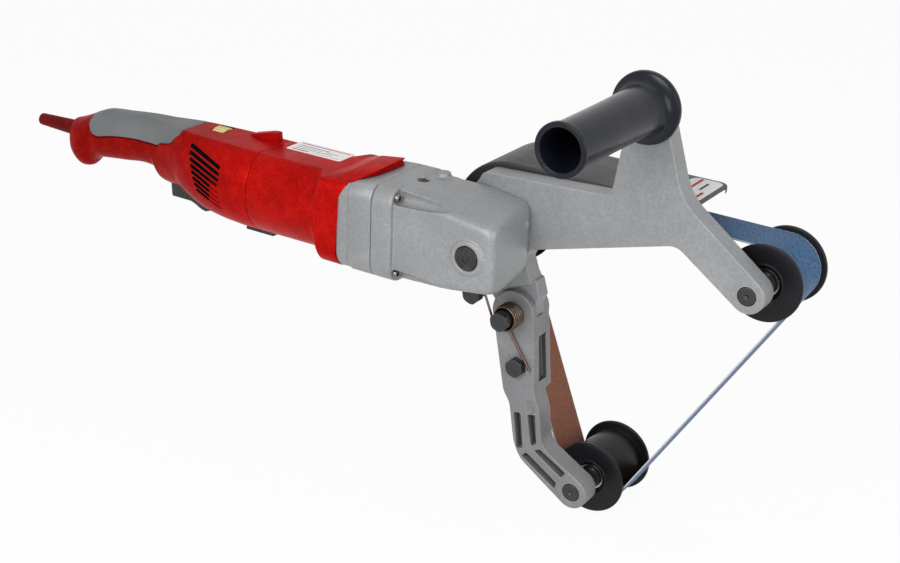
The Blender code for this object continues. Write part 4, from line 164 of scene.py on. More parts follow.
class Finish:
    """One material, with its Principled shader and its coordinates."""

    def __init__(self, name, **fixed):
        self.material = bpy.data.materials.new(name)
        self.material.use_nodes = True
        self.tree = self.material.node_tree
        self.shader = self.tree.nodes["Principled BSDF"]
        self.place = self.add("TexCoord", out="Object")
        for socket, value in fixed.items():
            self.shader.inputs[socket.replace("_", " ")].default_value = value

    def feed(self, socket, value):
        if isinstance(value, Wire):
            self.tree.links.new(value.socket, socket)
        else:
            socket.default_value = value

    def node(self, kind, inputs=None, out=0, **settings):
        made = self.tree.nodes.new(kind)
        for name, value in settings.items():
            setattr(made, name, value)
        for name, value in (inputs or {}).items():
            self.feed(made.inputs[name], value)
        return Wire(self, made.outputs[out])

    def add(self, kind, inputs=None, out=0, **settings):
        return self.node("ShaderNode" + kind, inputs, out, **settings)

    def maths(self, operation, a, b=0.0, c=0.0):
        return self.add("Math", {0: a, 1: b, 2: c}, operation=operation)

    def split(self, vector):
        """The X, Y and Z of a vector."""
        parts = self.add("SeparateXYZ", {0: vector}).socket.node.outputs
        return [Wire(self, part) for part in parts]

    def noise(self, per_mm, detail=3.0, where=None, stretch=None):
        """Noise from 0 to 1 with about so many lumps per millimetre."""
        base = self.place if where is None else where
        if stretch:
            base = self.add("Mapping", {"Vector": base, "Scale": stretch}, out="Vector")
        inputs = {"Vector": base, "Scale": per_mm / MM, "Detail": detail}
        return self.add("TexNoise", inputs, out="Fac")

    def cells(self, per_mm):
        return self.add("TexVoronoi", {"Vector": self.place, "Scale": per_mm / MM}, out="Distance")

    def band(self, value, low, high, start=0.0, end=1.0):
        """The value rescaled from low..high to start..end, and held there."""
        inputs = {0: value, 1: low, 2: high, 3: start, 4: end}
        return self.add("MapRange", inputs, clamp=True)

    def mix(self, share, a, b):
        """Share 0 gives the first colour and share 1 the second."""
        made = self.tree.nodes.new("ShaderNodeMix")
        made.data_type = "RGBA"
        self.feed(made.inputs[0], share)
        for socket, value in ((made.inputs[6], a), (made.inputs[7], b)):
            self.feed(socket, value if isinstance(value, Wire) else (*value, 1.0))
        return Wire(self, made.outputs[2])

    def bump(self, height, depth_mm, under=None):
        inputs = {"Height": height, "Strength": 1.0, "Distance": depth_mm * MM}
        if under is not None:
            inputs["Normal"] = under
        return self.add("Bump", inputs, out="Normal")

    def edge(self, radius_mm):
        """About 0 on a flat and towards 1 on a sharp edge."""
        round_normal = self.add("Bevel", {"Radius": radius_mm * MM}, out="Normal", samples=4)
        plain_normal = self.add("NewGeometry", out="Normal")
        inputs = {0: round_normal, 1: plain_normal}
        dot = self.add("VectorMath", inputs, out="Value", operation="DOT_PRODUCT")
        return self.band(1.0 - dot, 0.02, 0.25)

    def show(self, colour, roughness, normal):
        for socket, value in (("Base Color", colour), ("Roughness", roughness), ("Normal", normal)):
            self.feed(self.shader.inputs[socket], value)
        return self.material


print("shader helpers ready")

# %% [markdown]
# ## Moulded red plastic
# The motor body and the grip are glass-filled nylon in a strong red. The mould leaves a fine
# matt grain, so a highlight breaks up at its edge, and rubbing makes the edges a little paler
# and smoother. The grain is noise as bump, and a large noise shifts the tone a little. Pale
# specks and broad pale patches are painted highlight, and painted shade darkens the red towards the grip's
# end.


# %% Red plastics
GRAIN_PER_MM, GRAIN_DEPTH = 2.4, 0.018
GRIP_PAINTED_SHADE = 0.37


def moulded(name, colour, deep, pale, roughness, gloss=0.30, rear=None, tint=0.0, rim=1.0):
    """Rear gives a range of X, over which painted shade darkens the plastic towards the grip's end."""
    made = Finish(name, Specular_IOR_Level=gloss, Metallic=tint, Specular_Tint=(1.0, rim, rim, 1.0))
    tone = made.noise(0.035, 4.0)
    speck = made.noise(0.75, 2.0)
    rubbed = made.edge(0.9) * made.band(made.noise(0.2), 0.35, 0.65)
    base = made.mix(made.band(tone, 0.3, 0.7), colour, deep)
    # Painted shade: over the rear range of X the colour darkens towards the grip's end.
    if rear:
        x = (made.split(made.place)[0] - CROSSING.x) / MM
        base = made.mix(made.band(x, *rear), [c * GRIP_PAINTED_SHADE for c in colour], base)
    base = made.mix(made.band(speck, 0.42, 0.62, 0.0, 0.45), base, deep)
    # Painted highlight: pale specks and broad pale patches stand in for broken glints.
    base = made.mix(made.band(speck, 0.50, 0.36, 0.0, 0.22), base, pale)
    base = made.mix(made.band(made.noise(0.11, 4.0), 0.48, 0.66, 0.0, 0.17), base, pale)
    base = made.mix(rubbed * 0.5, base, pale)
    smudge = made.band(made.noise(0.06, 5.0), 0.35, 0.7)
    rough = roughness + smudge * 0.10 - rubbed * 0.08 + (speck - 0.5) * 0.22
    return made.show(base, rough, made.bump(made.noise(GRAIN_PER_MM, 2.0), GRAIN_DEPTH))


RED = moulded(
    "red_nylon", (0.500, 0.0046, 0.0036), (0.300, 0.0034, 0.0028), (0.74, 0.022, 0.012), 0.30,
    gloss=0.05, rear=(-305.0, -187.0), tint=0.30, rim=0.25,
)
SLEEVE_RED = moulded(
    "red_sleeve_rubber", (0.150, 0.004, 0.0035), (0.090, 0.003, 0.003), (0.24, 0.010, 0.008), 0.46,
    gloss=0.06,
)
BLACK = moulded("black_nylon", (0.026, 0.026, 0.028), (0.016, 0.016, 0.017), (0.08, 0.08, 0.085), 0.34)
YELLOW = moulded("pale_yellow_nylon", (0.74, 0.62, 0.26), (0.60, 0.47, 0.16), (0.86, 0.78, 0.50), 0.42)
print("plastics: red, dark red, black and pale yellow")

# %% [markdown]
# ## Soft grey overlay and black rubber
# The grip's overlay is a soft elastomer: dull, mid grey, with a faint dusty sheen. The side
# handle is firm black rubber with a bluish gloss where the mould was polished. Both are the
# same recipe with other numbers, and sheen is set straight on the shader's own sockets.


# %% Elastomers
def elastomer(name, colour, deep, roughness, sheen, grain, gloss=0.30):
    made = Finish(name, Specular_IOR_Level=gloss, Sheen_Weight=sheen, Sheen_Roughness=0.45)
    tone = made.noise(0.05, 5.0)
    fine = made.noise(3.2, 2.0)
    dust = made.band(made.noise(0.5, 6.0), 0.55, 0.8)
    base = made.mix(made.band(tone, 0.3, 0.7), colour, deep)
    base = made.mix(dust * 0.10, base, [min(1.0, c * 1.7 + 0.02) for c in colour])
    base = made.mix(made.edge(0.8) * 0.35, base, [min(1.0, c * 1.9 + 0.05) for c in colour])
    rough = roughness + made.band(tone, 0.3, 0.7) * 0.08 + dust * 0.06
    return made.show(base, rough, made.bump(fine, grain))


OVERLAY_GREY = elastomer("soft_grey_overlay", (0.165, 0.171, 0.177), (0.130, 0.136, 0.142), 0.60, 0.10, 0.02)
HANDLE_RUBBER = elastomer(
    "black_handle_rubber", (0.0085, 0.0105, 0.0175), (0.0045, 0.0055, 0.010), 0.19, 0.01, 0.012, 0.22,
)
ROLLER_BLACK = elastomer(
    "black_roller", (0.008, 0.008, 0.0105), (0.0045, 0.0045, 0.006), 0.34, 0.02, 0.008, 0.22,
)
# Painted shade: a near-black finish that stands for the dark inside the vent slots.
VENT_PAINTED_SHADE = elastomer("painted_shade_in_vents", (0.004, 0.004, 0.005), (0.002, 0.002, 0.003), 0.80, 0.0, 0.01, 0.04)
print("elastomers: overlay, handle and rollers")

# %% [markdown]
# ## Blasted aluminium castings
# The gear case, the frame and the arm are die-cast aluminium under a silver-grey paint. Seen
# close, the surface is speckled: tiny pale and dark grains over a cloudy mid grey. Cells give
# the grains, two noises give the clouds and the roughness, and the edges are slightly paler.


# %% Castings
def casting(name, colour, deep, pale, speckle):
    made = Finish(name, Specular_IOR_Level=0.5, Metallic=0.25)
    cloud = made.noise(0.03, 5.0)
    mottle = made.noise(0.42, 4.0)
    grain = made.noise(1.6, 3.0)
    pepper = made.cells(0.95)
    bright_grain = made.band(pepper, 0.06, 0.22, 1.0, 0.0)
    dark_grain = made.band(made.noise(2.3, 2.0), 0.60, 0.74)
    edge = made.edge(1.2)
    base = made.mix(made.band(cloud, 0.3, 0.7), colour, deep)
    base = made.mix(made.band(mottle, 0.38, 0.62) * 0.40, base, [c * 0.78 for c in deep])
    base = made.mix(bright_grain * speckle, base, pale)
    base = made.mix(dark_grain * speckle, base, [c * 0.62 for c in deep])
    base = made.mix(edge * 0.42, base, pale)
    rough = 0.48 + (grain - 0.5) * 0.25 - edge * 0.08
    return made.show(base, rough, made.bump(grain, 0.035, made.bump(pepper, 0.02)))


CAST = casting("blasted_casting", (0.318, 0.326, 0.334), (0.262, 0.269, 0.276), (0.56, 0.57, 0.58), 0.42)
CAST_DARK = casting(
    "blasted_arm_casting", (0.270, 0.271, 0.278), (0.205, 0.206, 0.213), (0.50, 0.50, 0.51), 0.40,
)
CAST_SHADE = casting("shaded_casting", (0.120, 0.121, 0.125), (0.085, 0.086, 0.090), (0.22, 0.22, 0.23), 0.30)
print("castings: case and frame, arm, and the floors of the arm's pockets")

# %% [markdown]
# ## Steels, sheet and the motor's metals
# Bolts are blackened, bearings and the spindle are bright and turned, the spring is bare
# wire with a warm tint, and the guard is dark powder-coated sheet. Turned steel shows rings
# round its axis, so its bump reads the distance from the axis rather than plain noise.


# %% Metals
def metal(name, colour, worn, roughness, scratches=0.5, metallic=1.0, radius_mm=0.7):
    made = Finish(name, Metallic=metallic)
    edge = made.edge(radius_mm)
    stain = made.noise(0.12, 5.0)
    scratch = made.noise(1.0, 2.0, stretch=(0.6, 5.0, 0.6))
    base = made.mix(made.band(stain, 0.3, 0.7) * 0.6, colour, [c * 0.72 for c in colour])
    base = made.mix(edge * scratches, base, worn)
    rough = roughness + (stain - 0.5) * 0.22 + (scratch - 0.5) * 0.12
    return made.show(base, rough, made.bump(scratch, 0.006))


BOLT_BLACK = metal("blackened_steel", (0.052, 0.052, 0.056), (0.32, 0.32, 0.33), 0.32, 0.5, 0.70)
AXLE_DARK = metal("browned_steel", (0.060, 0.056, 0.055), (0.34, 0.33, 0.32), 0.38, 0.5, 0.75)
BRIGHT = metal("turned_steel", (0.62, 0.63, 0.65), (0.86, 0.86, 0.87), 0.24)
SPRING_WIRE = metal("spring_wire", (0.155, 0.105, 0.085), (0.55, 0.46, 0.40), 0.26)
SCREW_STEEL = metal("oiled_steel", (0.230, 0.205, 0.200), (0.70, 0.68, 0.66), 0.24)
COPPER = metal("copper_windings", (0.62, 0.25, 0.11), (0.85, 0.5, 0.35), 0.36)
IRON = metal("laminated_iron", (0.20, 0.20, 0.21), (0.40, 0.40, 0.41), 0.50, 0.4, 0.9)
CARBON = metal("brush_carbon", (0.035, 0.035, 0.036), (0.08, 0.08, 0.08), 0.60, 0.3, 0.1)
GUARD_SHEET = metal("powder_coated_sheet", (0.020, 0.019, 0.021), (0.11, 0.11, 0.115), 0.45, 0.5, 0.2, 1.0)
print("metals: blackened, browned, bright, spring, copper, iron, carbon and sheet")

# %% [markdown]
# ## Floor, backdrop and light
# A catalogue picture stands on white. The floor and the world show white only to the camera,
# to glossy rays and to transmission rays, so the light that falls on the machine stays plain.
# Part of the floor's colour still comes from the lamps, which is what keeps the shadow.

# %% Stage and lamps
WORLD_LEVEL = 0.37
FLOOR_OWN_LIGHT = 0.94
FLOOR_SIZE = 12.0


def seen_directly(tree):
    """1 for camera, glossy and transmission rays."""
    path = tree.nodes.new("ShaderNodeLightPath")
    total = path.outputs["Is Camera Ray"]
    for other in ("Is Glossy Ray", "Is Transmission Ray"):
        both = tree.nodes.new("ShaderNodeMath")
        both.operation = "MAXIMUM"
        tree.links.new(total, both.inputs[0])
        tree.links.new(path.outputs[other], both.inputs[1])
        total = both.outputs[0]
    return total


def mixed_shader(tree, share, first, second, output):
    """Feeds the tree's output with a mix of two shaders."""
    both = tree.nodes.new("ShaderNodeMixShader")
    for socket, source in zip(both.inputs, (share, first, second)):
        tree.links.new(source, socket)
    tree.links.new(both.outputs[0], tree.nodes[output].inputs["Surface"])


world = bpy.data.worlds.new("studio")
world.use_nodes = True
bpy.context.scene.world = world
tree = world.node_tree
plain = tree.nodes["Background"]
white = tree.nodes.new("ShaderNodeBackground")
for node, level in ((plain, WORLD_LEVEL), (white, 1.0)):
    node.inputs["Color"].default_value = (1, 1, 1, 1)
    node.inputs["Strength"].default_value = level
mixed_shader(tree, seen_directly(tree), plain.outputs[0], white.outputs[0], "World Output")

floor_finish = bpy.data.materials.new("pale_floor")
floor_finish.use_nodes = True
tree = floor_finish.node_tree
matt = tree.nodes["Principled BSDF"]
matt.inputs["Base Color"].default_value = (0.90, 0.90, 0.90, 1)
matt.inputs["Roughness"].default_value = 0.9
glow = tree.nodes.new("ShaderNodeEmission")
glow.inputs["Color"].default_value = (1, 1, 1, 1)
share = tree.nodes.new("ShaderNodeMath")
share.operation = "MULTIPLY"
share.inputs[1].default_value = FLOOR_OWN_LIGHT
tree.links.new(seen_directly(tree), share.inputs[0])
mixed_shader(tree, share.outputs[0], matt.outputs[0], glow.outputs[0], "Material Output")

half = FLOOR_SIZE / 2
floor_mesh = bpy.data.meshes.new("floor")
corners = [(-half, -half, 0), (half, -half, 0), (half, half, 0), (-half, half, 0)]
floor_mesh.from_pydata(corners, [], [(0, 1, 2, 3)])
floor_mesh.materials.append(floor_finish)
linked("floor", floor_mesh)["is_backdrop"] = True

LAMPS_AIM = spot(0, 0, -50)
LAMPS = (
    ("key", (0, -1200, 640), 0.8, 12.0),
    ("fill", (1250, -450, 450), 1.0, 7.5),
    ("top", (100, 300, 1300), 1.2, 1.2),
)
for name, place, size, power in LAMPS:
    lamp = bpy.data.lights.new(name, "AREA")
    lamp.shape = "DISK"
    lamp.size = size
    lamp.energy = power
    lamp_object = linked(name, lamp)
    lamp_object.location = spot(*place)
    lamp_object.rotation_euler = (LAMPS_AIM - spot(*place)).to_track_quat("-Z", "Y").to_euler()
bpy.context.scene.view_settings.view_transform = "Standard"
print("stage set with", len(LAMPS), "lamps")

# %% [markdown]
# ## Closed skins from sections
# Housings, castings and turned pieces are all skins through a row of sections. One helper
# makes the object from points in millimetres, one joins sections into a closed skin, and one
# turns a profile round an axis. Outlines get soft corners from a small curve at each corner.


# %% Mesh helpers
def sealed(mesh, gap_mm=None):
    """Turns the faces of a mesh outwards, once points closer than a gap are one."""
    shell = bmesh.new()
    shell.from_mesh(mesh)
    if gap_mm:
        bmesh.ops.remove_doubles(shell, verts=shell.verts, dist=gap_mm * MM)
    bmesh.ops.recalc_face_normals(shell, faces=shell.faces)
    shell.to_mesh(mesh)
    shell.free()


def shaded(mesh, angle):
    """Smooth shading, sharp where two faces meet at more than an angle in degrees."""
    mesh.shade_smooth()
    mesh.set_sharp_from_angle(angle=radians(angle))


def solid(name, verts, faces, smooth=40.0):
    """A mesh object from points of the working frame."""
    mesh = bpy.data.meshes.new(name)
    mesh.from_pydata([spot(*v) for v in verts], [], faces)
    sealed(mesh)
    shaded(mesh, smooth)
    return linked(name, mesh)


def skin(name, rings, loop=False, smooth=40.0):
    """A closed skin through sections of equal length; a loop joins the last to the first."""
    count = len(rings[0])
    spans = len(rings) if loop else len(rings) - 1
    faces = []
    for i in range(spans):
        a, b = i * count, (i + 1) % len(rings) * count
        faces += [(a + j, a + (j + 1) % count, b + (j + 1) % count, b + j) for j in range(count)]
    if not loop:
        last = (len(rings) - 1) * count
        faces += [tuple(range(count)), tuple(range(last, last + count))]
    return solid(name, [v for ring in rings for v in ring], faces, smooth)


def turned(name, profile, axis, centre, steps=96):
    """Turns (radius, distance) points round X, Y or Z; zero radii close the skin on the axis."""
    side, other = {"X": (Y_AXIS, Z_AXIS), "Y": (Z_AXIS, X_AXIS), "Z": (X_AXIS, Y_AXIS)}[axis]
    along = side.cross(other)
    verts, rows, faces = [], [], []
    for radius, distance in profile:
        foot = Vector(centre) + along * distance
        around = 1 if radius == 0 else steps
        rows.append(list(range(len(verts), len(verts) + around)))
        for i in range(around):
            angle = 2 * pi * i / steps
            verts.append(foot + (side * cos(angle) + other * sin(angle)) * radius)
    closed = profile[0][0] != 0
    for i in range(len(rows) if closed else len(rows) - 1):
        low, high = rows[i], rows[(i + 1) % len(rows)]
        for j in range(steps):
            k = (j + 1) % steps
            quad = [low[j % len(low)], low[k % len(low)], high[k % len(high)], high[j % len(high)]]
            quad = [v for n, v in enumerate(quad) if v != quad[n - 1]]
            if len(quad) > 2:
                faces.append(tuple(quad))
    return solid(name, verts, faces)


def pin(radius, start, end, axis, centre, steps=64):
    """A plain round form between two distances along an axis."""
    profile = ((0, start), (radius, start), (radius, end), (0, end))
    return turned("pin_form", profile, axis, centre, steps)


def plate(name, outline, near, far):
    """An (x, z) outline carried across from one Y to another."""
    return skin(name, [[(x, y, z) for x, z in outline] for y in (near, far)])


def eased(points, radius, steps=4, closed=False):
    """Softens the corners of a line of 2-D points; a third number is that corner's own radius."""
    made = []
    for i, point in enumerate(points):
        here = Vector(point[:2])
        if not closed and i in (0, len(points) - 1):
            made.append(tuple(here))
            continue
        before = Vector(points[i - 1][:2]) - here
        after = Vector(points[(i + 1) % len(points)][:2]) - here
        wide = point[2] if len(point) > 2 else radius
        start = here + before.normalized() * min(wide, before.length * 0.46)
        end = here + after.normalized() * min(wide, after.length * 0.46)
        for k in range(steps + 1):
            t = k / steps
            made.append(tuple(start * (1 - t) ** 2 + here * 2 * t * (1 - t) + end * t ** 2))
    return made


def settle(made):
    """Turns an object with modifiers into a plain mesh."""
    graph = bpy.context.evaluated_depsgraph_get()
    mesh = bpy.data.meshes.new_from_object(made.evaluated_get(graph), depsgraph=graph)
    made.modifiers.clear()
    made.data = mesh
    return made


def join(target, tool, operation="DIFFERENCE"):
    """Cuts a form out of a piece, or unites it with it, and throws the form away."""
    change = target.modifiers.new(tool.name, "BOOLEAN")
    change.operation, change.solver, change.object = operation, "EXACT", tool
    settle(target)
    bpy.data.objects.remove(tool)
    return target


def softened(made, width, segments=3, angle=40.0):
    edges = made.modifiers.new("edges", "BEVEL")
    edges.width, edges.segments = width * MM, segments
    edges.limit_method, edges.angle_limit = "ANGLE", radians(angle)
    return settle(made)


def flowing(table):
    """A curve through the rows of a table that never swings past them."""
    rows = np.array(table, float)
    x, y = rows[:, 0], rows[:, 1:]
    step = np.diff(x)[:, None]
    slope = np.diff(y, axis=0) / step
    before, after = slope[:-1], slope[1:]
    ahead, behind = 2 * step[1:] + step[:-1], step[1:] + 2 * step[:-1]
    rate = np.zeros_like(y)
    rate[0], rate[-1] = slope[0], slope[-1]
    with np.errstate(divide="ignore", invalid="ignore"):
        mean = (ahead + behind) / (ahead / before + behind / after)
    rate[1:-1] = np.where(before * after > 0, mean, 0.0)

    def value(at):
        i = int(np.clip(np.searchsorted(x, at) - 1, 0, len(step) - 1))
        h = step[i, 0]
        t = min(max((at - x[i]) / h, 0.0), 1.0)
        lead = (2 * t ** 3 - 3 * t ** 2 + 1) * y[i] + (t ** 3 - 2 * t ** 2 + t) * h * rate[i]
        return lead + (3 * t ** 2 - 2 * t ** 3) * y[i + 1] + (t ** 3 - t ** 2) * h * rate[i + 1]

    return value


def dress(made, finish, body, slot, *replaced, smooth=None):
    """The last step of every piece: its finish, its body and the nodes it stands for; the slot is not used.
    """
    made.data.materials.clear()
    made.data.materials.append(finish)
    if smooth:
        shaded(made.data, smooth)
    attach(made, body)
    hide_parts(*replaced)
    print(made.name, "with", len(made.data.polygons), "faces rides on", body)
    return made


# %% [markdown]
# ## Motor housing
# The motor sits in a moulded barrel. Its lower half is round, its upper half a little squarer,
# and a flat deck runs along the top. At the front the barrel flares into a flange for the gear
# case. A loft through exact sections keeps the deck flat, which a stretched cylinder wouldn't.

# %% Barrel sections
BARREL_R = 37.0
DECK_Z = 33.0
SEAM_X = -189.0
RED_FRONT_X = -100.3
FLARE_X, FLARE_LONG = -127.5, 10.0
WALL = 3.8
UPPER_POWER = 2 / 2.3
LOW_STEPS, DECK_STEPS = 84, 16
SKIRT_REACH = 8.6


def decked(point, edge, top=None):
    """A section: round the bottom between the deck's two edges, then across the deck."""
    points = [point(pi - edge + (pi + 2 * edge) * i / LOW_STEPS) for i in range(LOW_STEPS)]
    far = point(edge)[0]
    for share in np.arange(DECK_STEPS) / DECK_STEPS:
        round_top = point(edge + (pi - 2 * edge) * share)
        points.append(round_top if top is None else (far * (1 - 2 * share), top))
    return points


def barrel_section():
    def point(angle):
        c, s = cos(angle), sin(angle)
        if s <= 0:
            return BARREL_R * c, BARREL_R * s
        return BARREL_R * abs(c) ** UPPER_POWER * (1 if c >= 0 else -1), BARREL_R * s ** UPPER_POWER

    return decked(point, asin((DECK_Z / BARREL_R) ** (1 / UPPER_POWER)), DECK_Z)


def rounded_square(half, corner, top):
    inner = half - corner

    def point(angle):
        y = (inner if cos(angle) >= 0 else -inner) + corner * cos(angle)
        z = (inner if sin(angle) >= 0 else -inner) + corner * sin(angle)
        return y, z

    return decked(point, asin((top - inner) / corner), top)


def disc(radius):
    return decked(lambda angle: (radius * cos(angle), radius * sin(angle)), 0.95)


def shrunk(section, depth):
    """The section moved inwards by a depth."""
    made = []
    for i, (y, z) in enumerate(section):
        y0, z0 = section[i - 1]
        y1, z1 = section[(i + 1) % len(section)]
        long = hypot(y1 - y0, z1 - z0) or 1.0
        made.append((y - (z1 - z0) / long * depth, z + (y1 - y0) / long * depth))
    return made


def ring_at(x, section):
    return [(x, y, z) for y, z in section]


def between(a, b, share):
    """A section between two others."""
    return [(p[0] + (q[0] - p[0]) * share, p[1] + (q[1] - p[1]) * share) for p, q in zip(a, b)]


barrel = barrel_section()
red_flange = rounded_square(38.4, 17.5, DECK_Z)
print("points in a section:", len(barrel))

# %% The barrel with its flared flange
rings = [ring_at(SEAM_X + x, shrunk(barrel, depth)) for x, depth in ((0.0, 0.7), (0.3, 0.2))]
rings.append(ring_at(SEAM_X + 0.9, barrel))
for share in np.arange(13) / 12:
    ease = share * share * (3 - 2 * share)
    rings.append(ring_at(FLARE_X + FLARE_LONG * share, between(barrel, red_flange, ease)))


def skirted(back, section):
    """The front rim: low down it is square, higher up it reaches forward over the grey flange."""
    made = []
    for y, z in section:
        share = min(max((z - 10.0) / 23.0, 0.0), 1.0)
        made.append((RED_FRONT_X - back + SKIRT_REACH * share * share, y, z))
    return made


rings.append(skirted(0.9, red_flange))
rings += [skirted(back, shrunk(red_flange, depth)) for back, depth in ((0.3, 0.15), (0.0, 0.6))]
rings += [ring_at(RED_FRONT_X - 0.01, shrunk(*form)) for form in ((red_flange, 0.65), (barrel, WALL))]
rings.append(ring_at(SEAM_X, shrunk(barrel, WALL)))
motor_housing = skin("motor_housing_shell", rings, loop=True)

# %% [markdown]
# ## The visor over the joint
# A raised tongue of the housing covers the joint to the gear case: it climbs from the deck,
# its two sides are cut slanting, and it ends over the grey flange. Its front edge is a table
# of Y, X and height, and along its length it climbs a steeper ramp and then a gentler one.

# %% Visor
VISOR_REAR_X, VISOR_FRONT_X = -115.5, -78.4
VISOR_HALF = 31.0
RAMP_LONG, RAMP_HIGH = 0.42, 0.66
VISOR_EDGE = (
    (-31.0, -91.6, 33.4), (-26.0, -88.8, 35.1), (-20.0, -84.5, 37.6), (-10.0, -80.2, 40.2),
    (0.0, -79.0, 41.2), (11.0, VISOR_FRONT_X, 41.8), (20.5, VISOR_FRONT_X, 42.0), (26.0, -83.0, 38.4),
    (31.0, -91.6, 33.4),
)
FLANGE_TOPS = flowing(((-100.0, 31.8), (-89.5, 33.4), (-88.8, 34.1), (-68.3, 37.2)))
visor_edge = flowing(VISOR_EDGE)
rings = []
visor_xs = [VISOR_REAR_X, *np.linspace(VISOR_REAR_X + 1, RED_FRONT_X - 0.2, 9)]
for x in (*visor_xs, *np.linspace(RED_FRONT_X, VISOR_FRONT_X, 14)):
    upper, lower = [], []
    for y in np.linspace(-VISOR_HALF, VISOR_HALF, 63):
        front, top = visor_edge(y)
        at = min(x, front)
        share = (at - VISOR_REAR_X) / (front - VISOR_REAR_X)
        if share < RAMP_LONG:
            rise = RAMP_HIGH * share / RAMP_LONG
        else:
            rise = RAMP_HIGH + (1 - RAMP_HIGH) * (share - RAMP_LONG) / (1 - RAMP_LONG)
        top_z = DECK_Z + 0.3 + (top - DECK_Z - 0.3) * rise - (0.5 if x >= front else 0.0)
        under = FLANGE_TOPS(at)[0] + 0.5 if at >= RED_FRONT_X else DECK_Z - 2.6
        upper.append((at, y, top_z))
        lower.append((at, y, min(under, top_z - 0.3)))
    rings.append(upper + lower[::-1])
visor = skin("visor_form", rings)
sealed(visor.data, 0.001)
join(motor_housing, visor, "UNION")
dress(motor_housing, RED, "machine", "red_housing", "motor_housing", smooth=35.0)

# %% [markdown]
# ## Rear housing and grip
# Behind the seam the body narrows into a curved grip that ends in a small hook. A table of
# stations gives its top, bottom, half width and squareness. A curve that never swings past
# its rows runs through them, so the shell is smooth but keeps every measured place.

# %% Stations of the grip
REAR_STATIONS = (
    (-406.2, 12.4, -16.5, 9.2, 2.0), (-404.8, 13.8, -20.5, 11.7, 2.0), (-401.0, 15.2, -24.0, 13.8, 2.0),
    (-395.0, 17.3, -26.5, 15.8, 2.0), (-388.0, 20.2, -25.0, 16.3, 2.1), (-382.5, 22.6, -18.8, 16.3, 2.1),
    (-376.0, 25.5, -15.2, 16.3, 2.1), (-367.0, 28.5, -13.8, 16.5, 2.2), (-345.0, 30.8, -11.2, 16.8, 2.2),
    (-321.0, 33.2, -8.6, 17.2, 2.2), (-308.5, 34.0, -9.8, 17.6, 2.2), (-301.5, 34.4, -18.8, 18.4, 2.2),
    (-295.0, 35.0, -20.0, 19.8, 2.2), (-277.0, 36.2, -20.8, 24.5, 2.2), (-265.0, 36.6, -25.5, 29.0, 2.1),
    (-247.0, 36.6, -32.5, 33.5, 2.0), (-226.0, 36.7, -35.8, 36.0, 2.0), (-208.0, 37.0, -37.0, 37.0, 2.0),
)
OVERLAY_EDGE = (
    (-379.0, 20.0), (-376.0, 12.5), (-372.5, 8.8), (-368.0, 8.0), (-358.0, 10.2), (-345.0, 12.8),
    (-321.0, 15.2), (-297.5, 15.7), (-294.5, 18.2), (-285.0, 20.5), (-279.5, 22.8), (-276.5, 26.6),
    (-272.0, 30.3),
)
OVERLAY_THICK = 1.8
SEAM_WIDTH = 0.035
TOP_SQUARER = 0.3
station = flowing(REAR_STATIONS)
overlay_edge = flowing(OVERLAY_EDGE)


def section_at(x):
    """Middle height, half height, half width and squareness of the grip."""
    top, bottom, half, square = station(x)
    return (top + bottom) / 2, (top - bottom) / 2, half, square


def surface_point(x, angle, inset):
    """A point of the grip's surface, or below it by an inset."""
    middle, tall, half, square = section_at(x)
    high, wide = tall - inset, half - inset
    c, s = cos(angle), sin(angle)
    power = 2 / (square + (TOP_SQUARER if s > 0 else 0))
    y = wide * abs(c) ** power * (1 if c >= 0 else -1)
    z = middle + high * abs(s) ** power * (1 if s >= 0 else -1)
    return (x, y, min(z, DECK_Z - inset))


def seam_angle(x):
    """Where the overlay's lower edge lies on the section."""
    middle, tall, half, square = section_at(x)
    share = max(-0.95, min(0.95, (overlay_edge(x)[0] - middle) / tall))
    square += TOP_SQUARER if share >= 0 else 0.0
    return asin(abs(share) ** (square / 2)) * (1 if share >= 0 else -1)


def upper_angles(x, inset, seam):
    """Angles over the top: up to the deck's edge, across the deck and down again."""
    side, deck = 15, 14
    middle, tall, half, square = section_at(x)
    share = (DECK_Z - inset - middle) / (tall - inset)
    edge = max(asin(min(share, 0.93) ** ((square + TOP_SQUARER) / 2)), seam + SEAM_WIDTH)
    angles = [seam + (edge - seam) * i / side for i in range(side)]
    angles += [edge + (pi - 2 * edge) * i / deck for i in range(deck)]
    return angles + [pi - edge + (edge - seam) * i / side for i in range(side + 1)]


def rear_ring(x, top_inset, low_inset, at=None):
    """One section of the rear shell, with the overlay's part of it set in by its own inset."""
    seam, low = seam_angle(x), 44
    ring = [surface_point(x, angle, top_inset) for angle in upper_angles(x, top_inset, seam)]
    start, end = pi - seam + SEAM_WIDTH, 2 * pi + seam - SEAM_WIDTH
    ring += [surface_point(x, start + (end - start) * i / low, low_inset) for i in range(low + 1)]
    return [(x if at is None else at, y, z) for x, y, z in ring]


print("grip width in mm at x -321:", 2 * round(station(-321.0)[2], 2))

# %% The rear shell
FIRST, LAST = OVERLAY_EDGE[0][0], OVERLAY_EDGE[-1][0]
UNDER = OVERLAY_THICK + 0.3
FRONT_X = SEAM_X - 0.3
ROUND_X = -208.0
plan = [(x, UNDER if FIRST < x < LAST else 0.0) for x in np.arange(-405.6, -191.0, 1.6)]
plan += [(FIRST - 0.3, 0.0), (FIRST, UNDER), (LAST, UNDER), (LAST + 0.3, 0.0)]
end_plan = ((-406.2, 3.5, -406.2), (-406.19, 1.4, -406.1), (-406.15, 0.4, -405.95))
rings = [rear_ring(x, depth, depth, at) for x, depth, at in end_plan]
rings += [rear_ring(x, depth, 0.0) for x, depth in sorted(plan)]
front_plan = ((-190.3, 0.0), (FRONT_X - 0.35, 0.2), (FRONT_X, 0.7))
rings += [rear_ring(ROUND_X, depth, depth, x) for x, depth in front_plan]
inner_plan = [FRONT_X, *np.arange(-212.0, -384.0, -4.0)]
rings += [rear_ring(min(x, ROUND_X), 3.0 + UNDER, 3.0, x) for x in inner_plan]
rear_housing = skin("rear_housing_shell", rings)
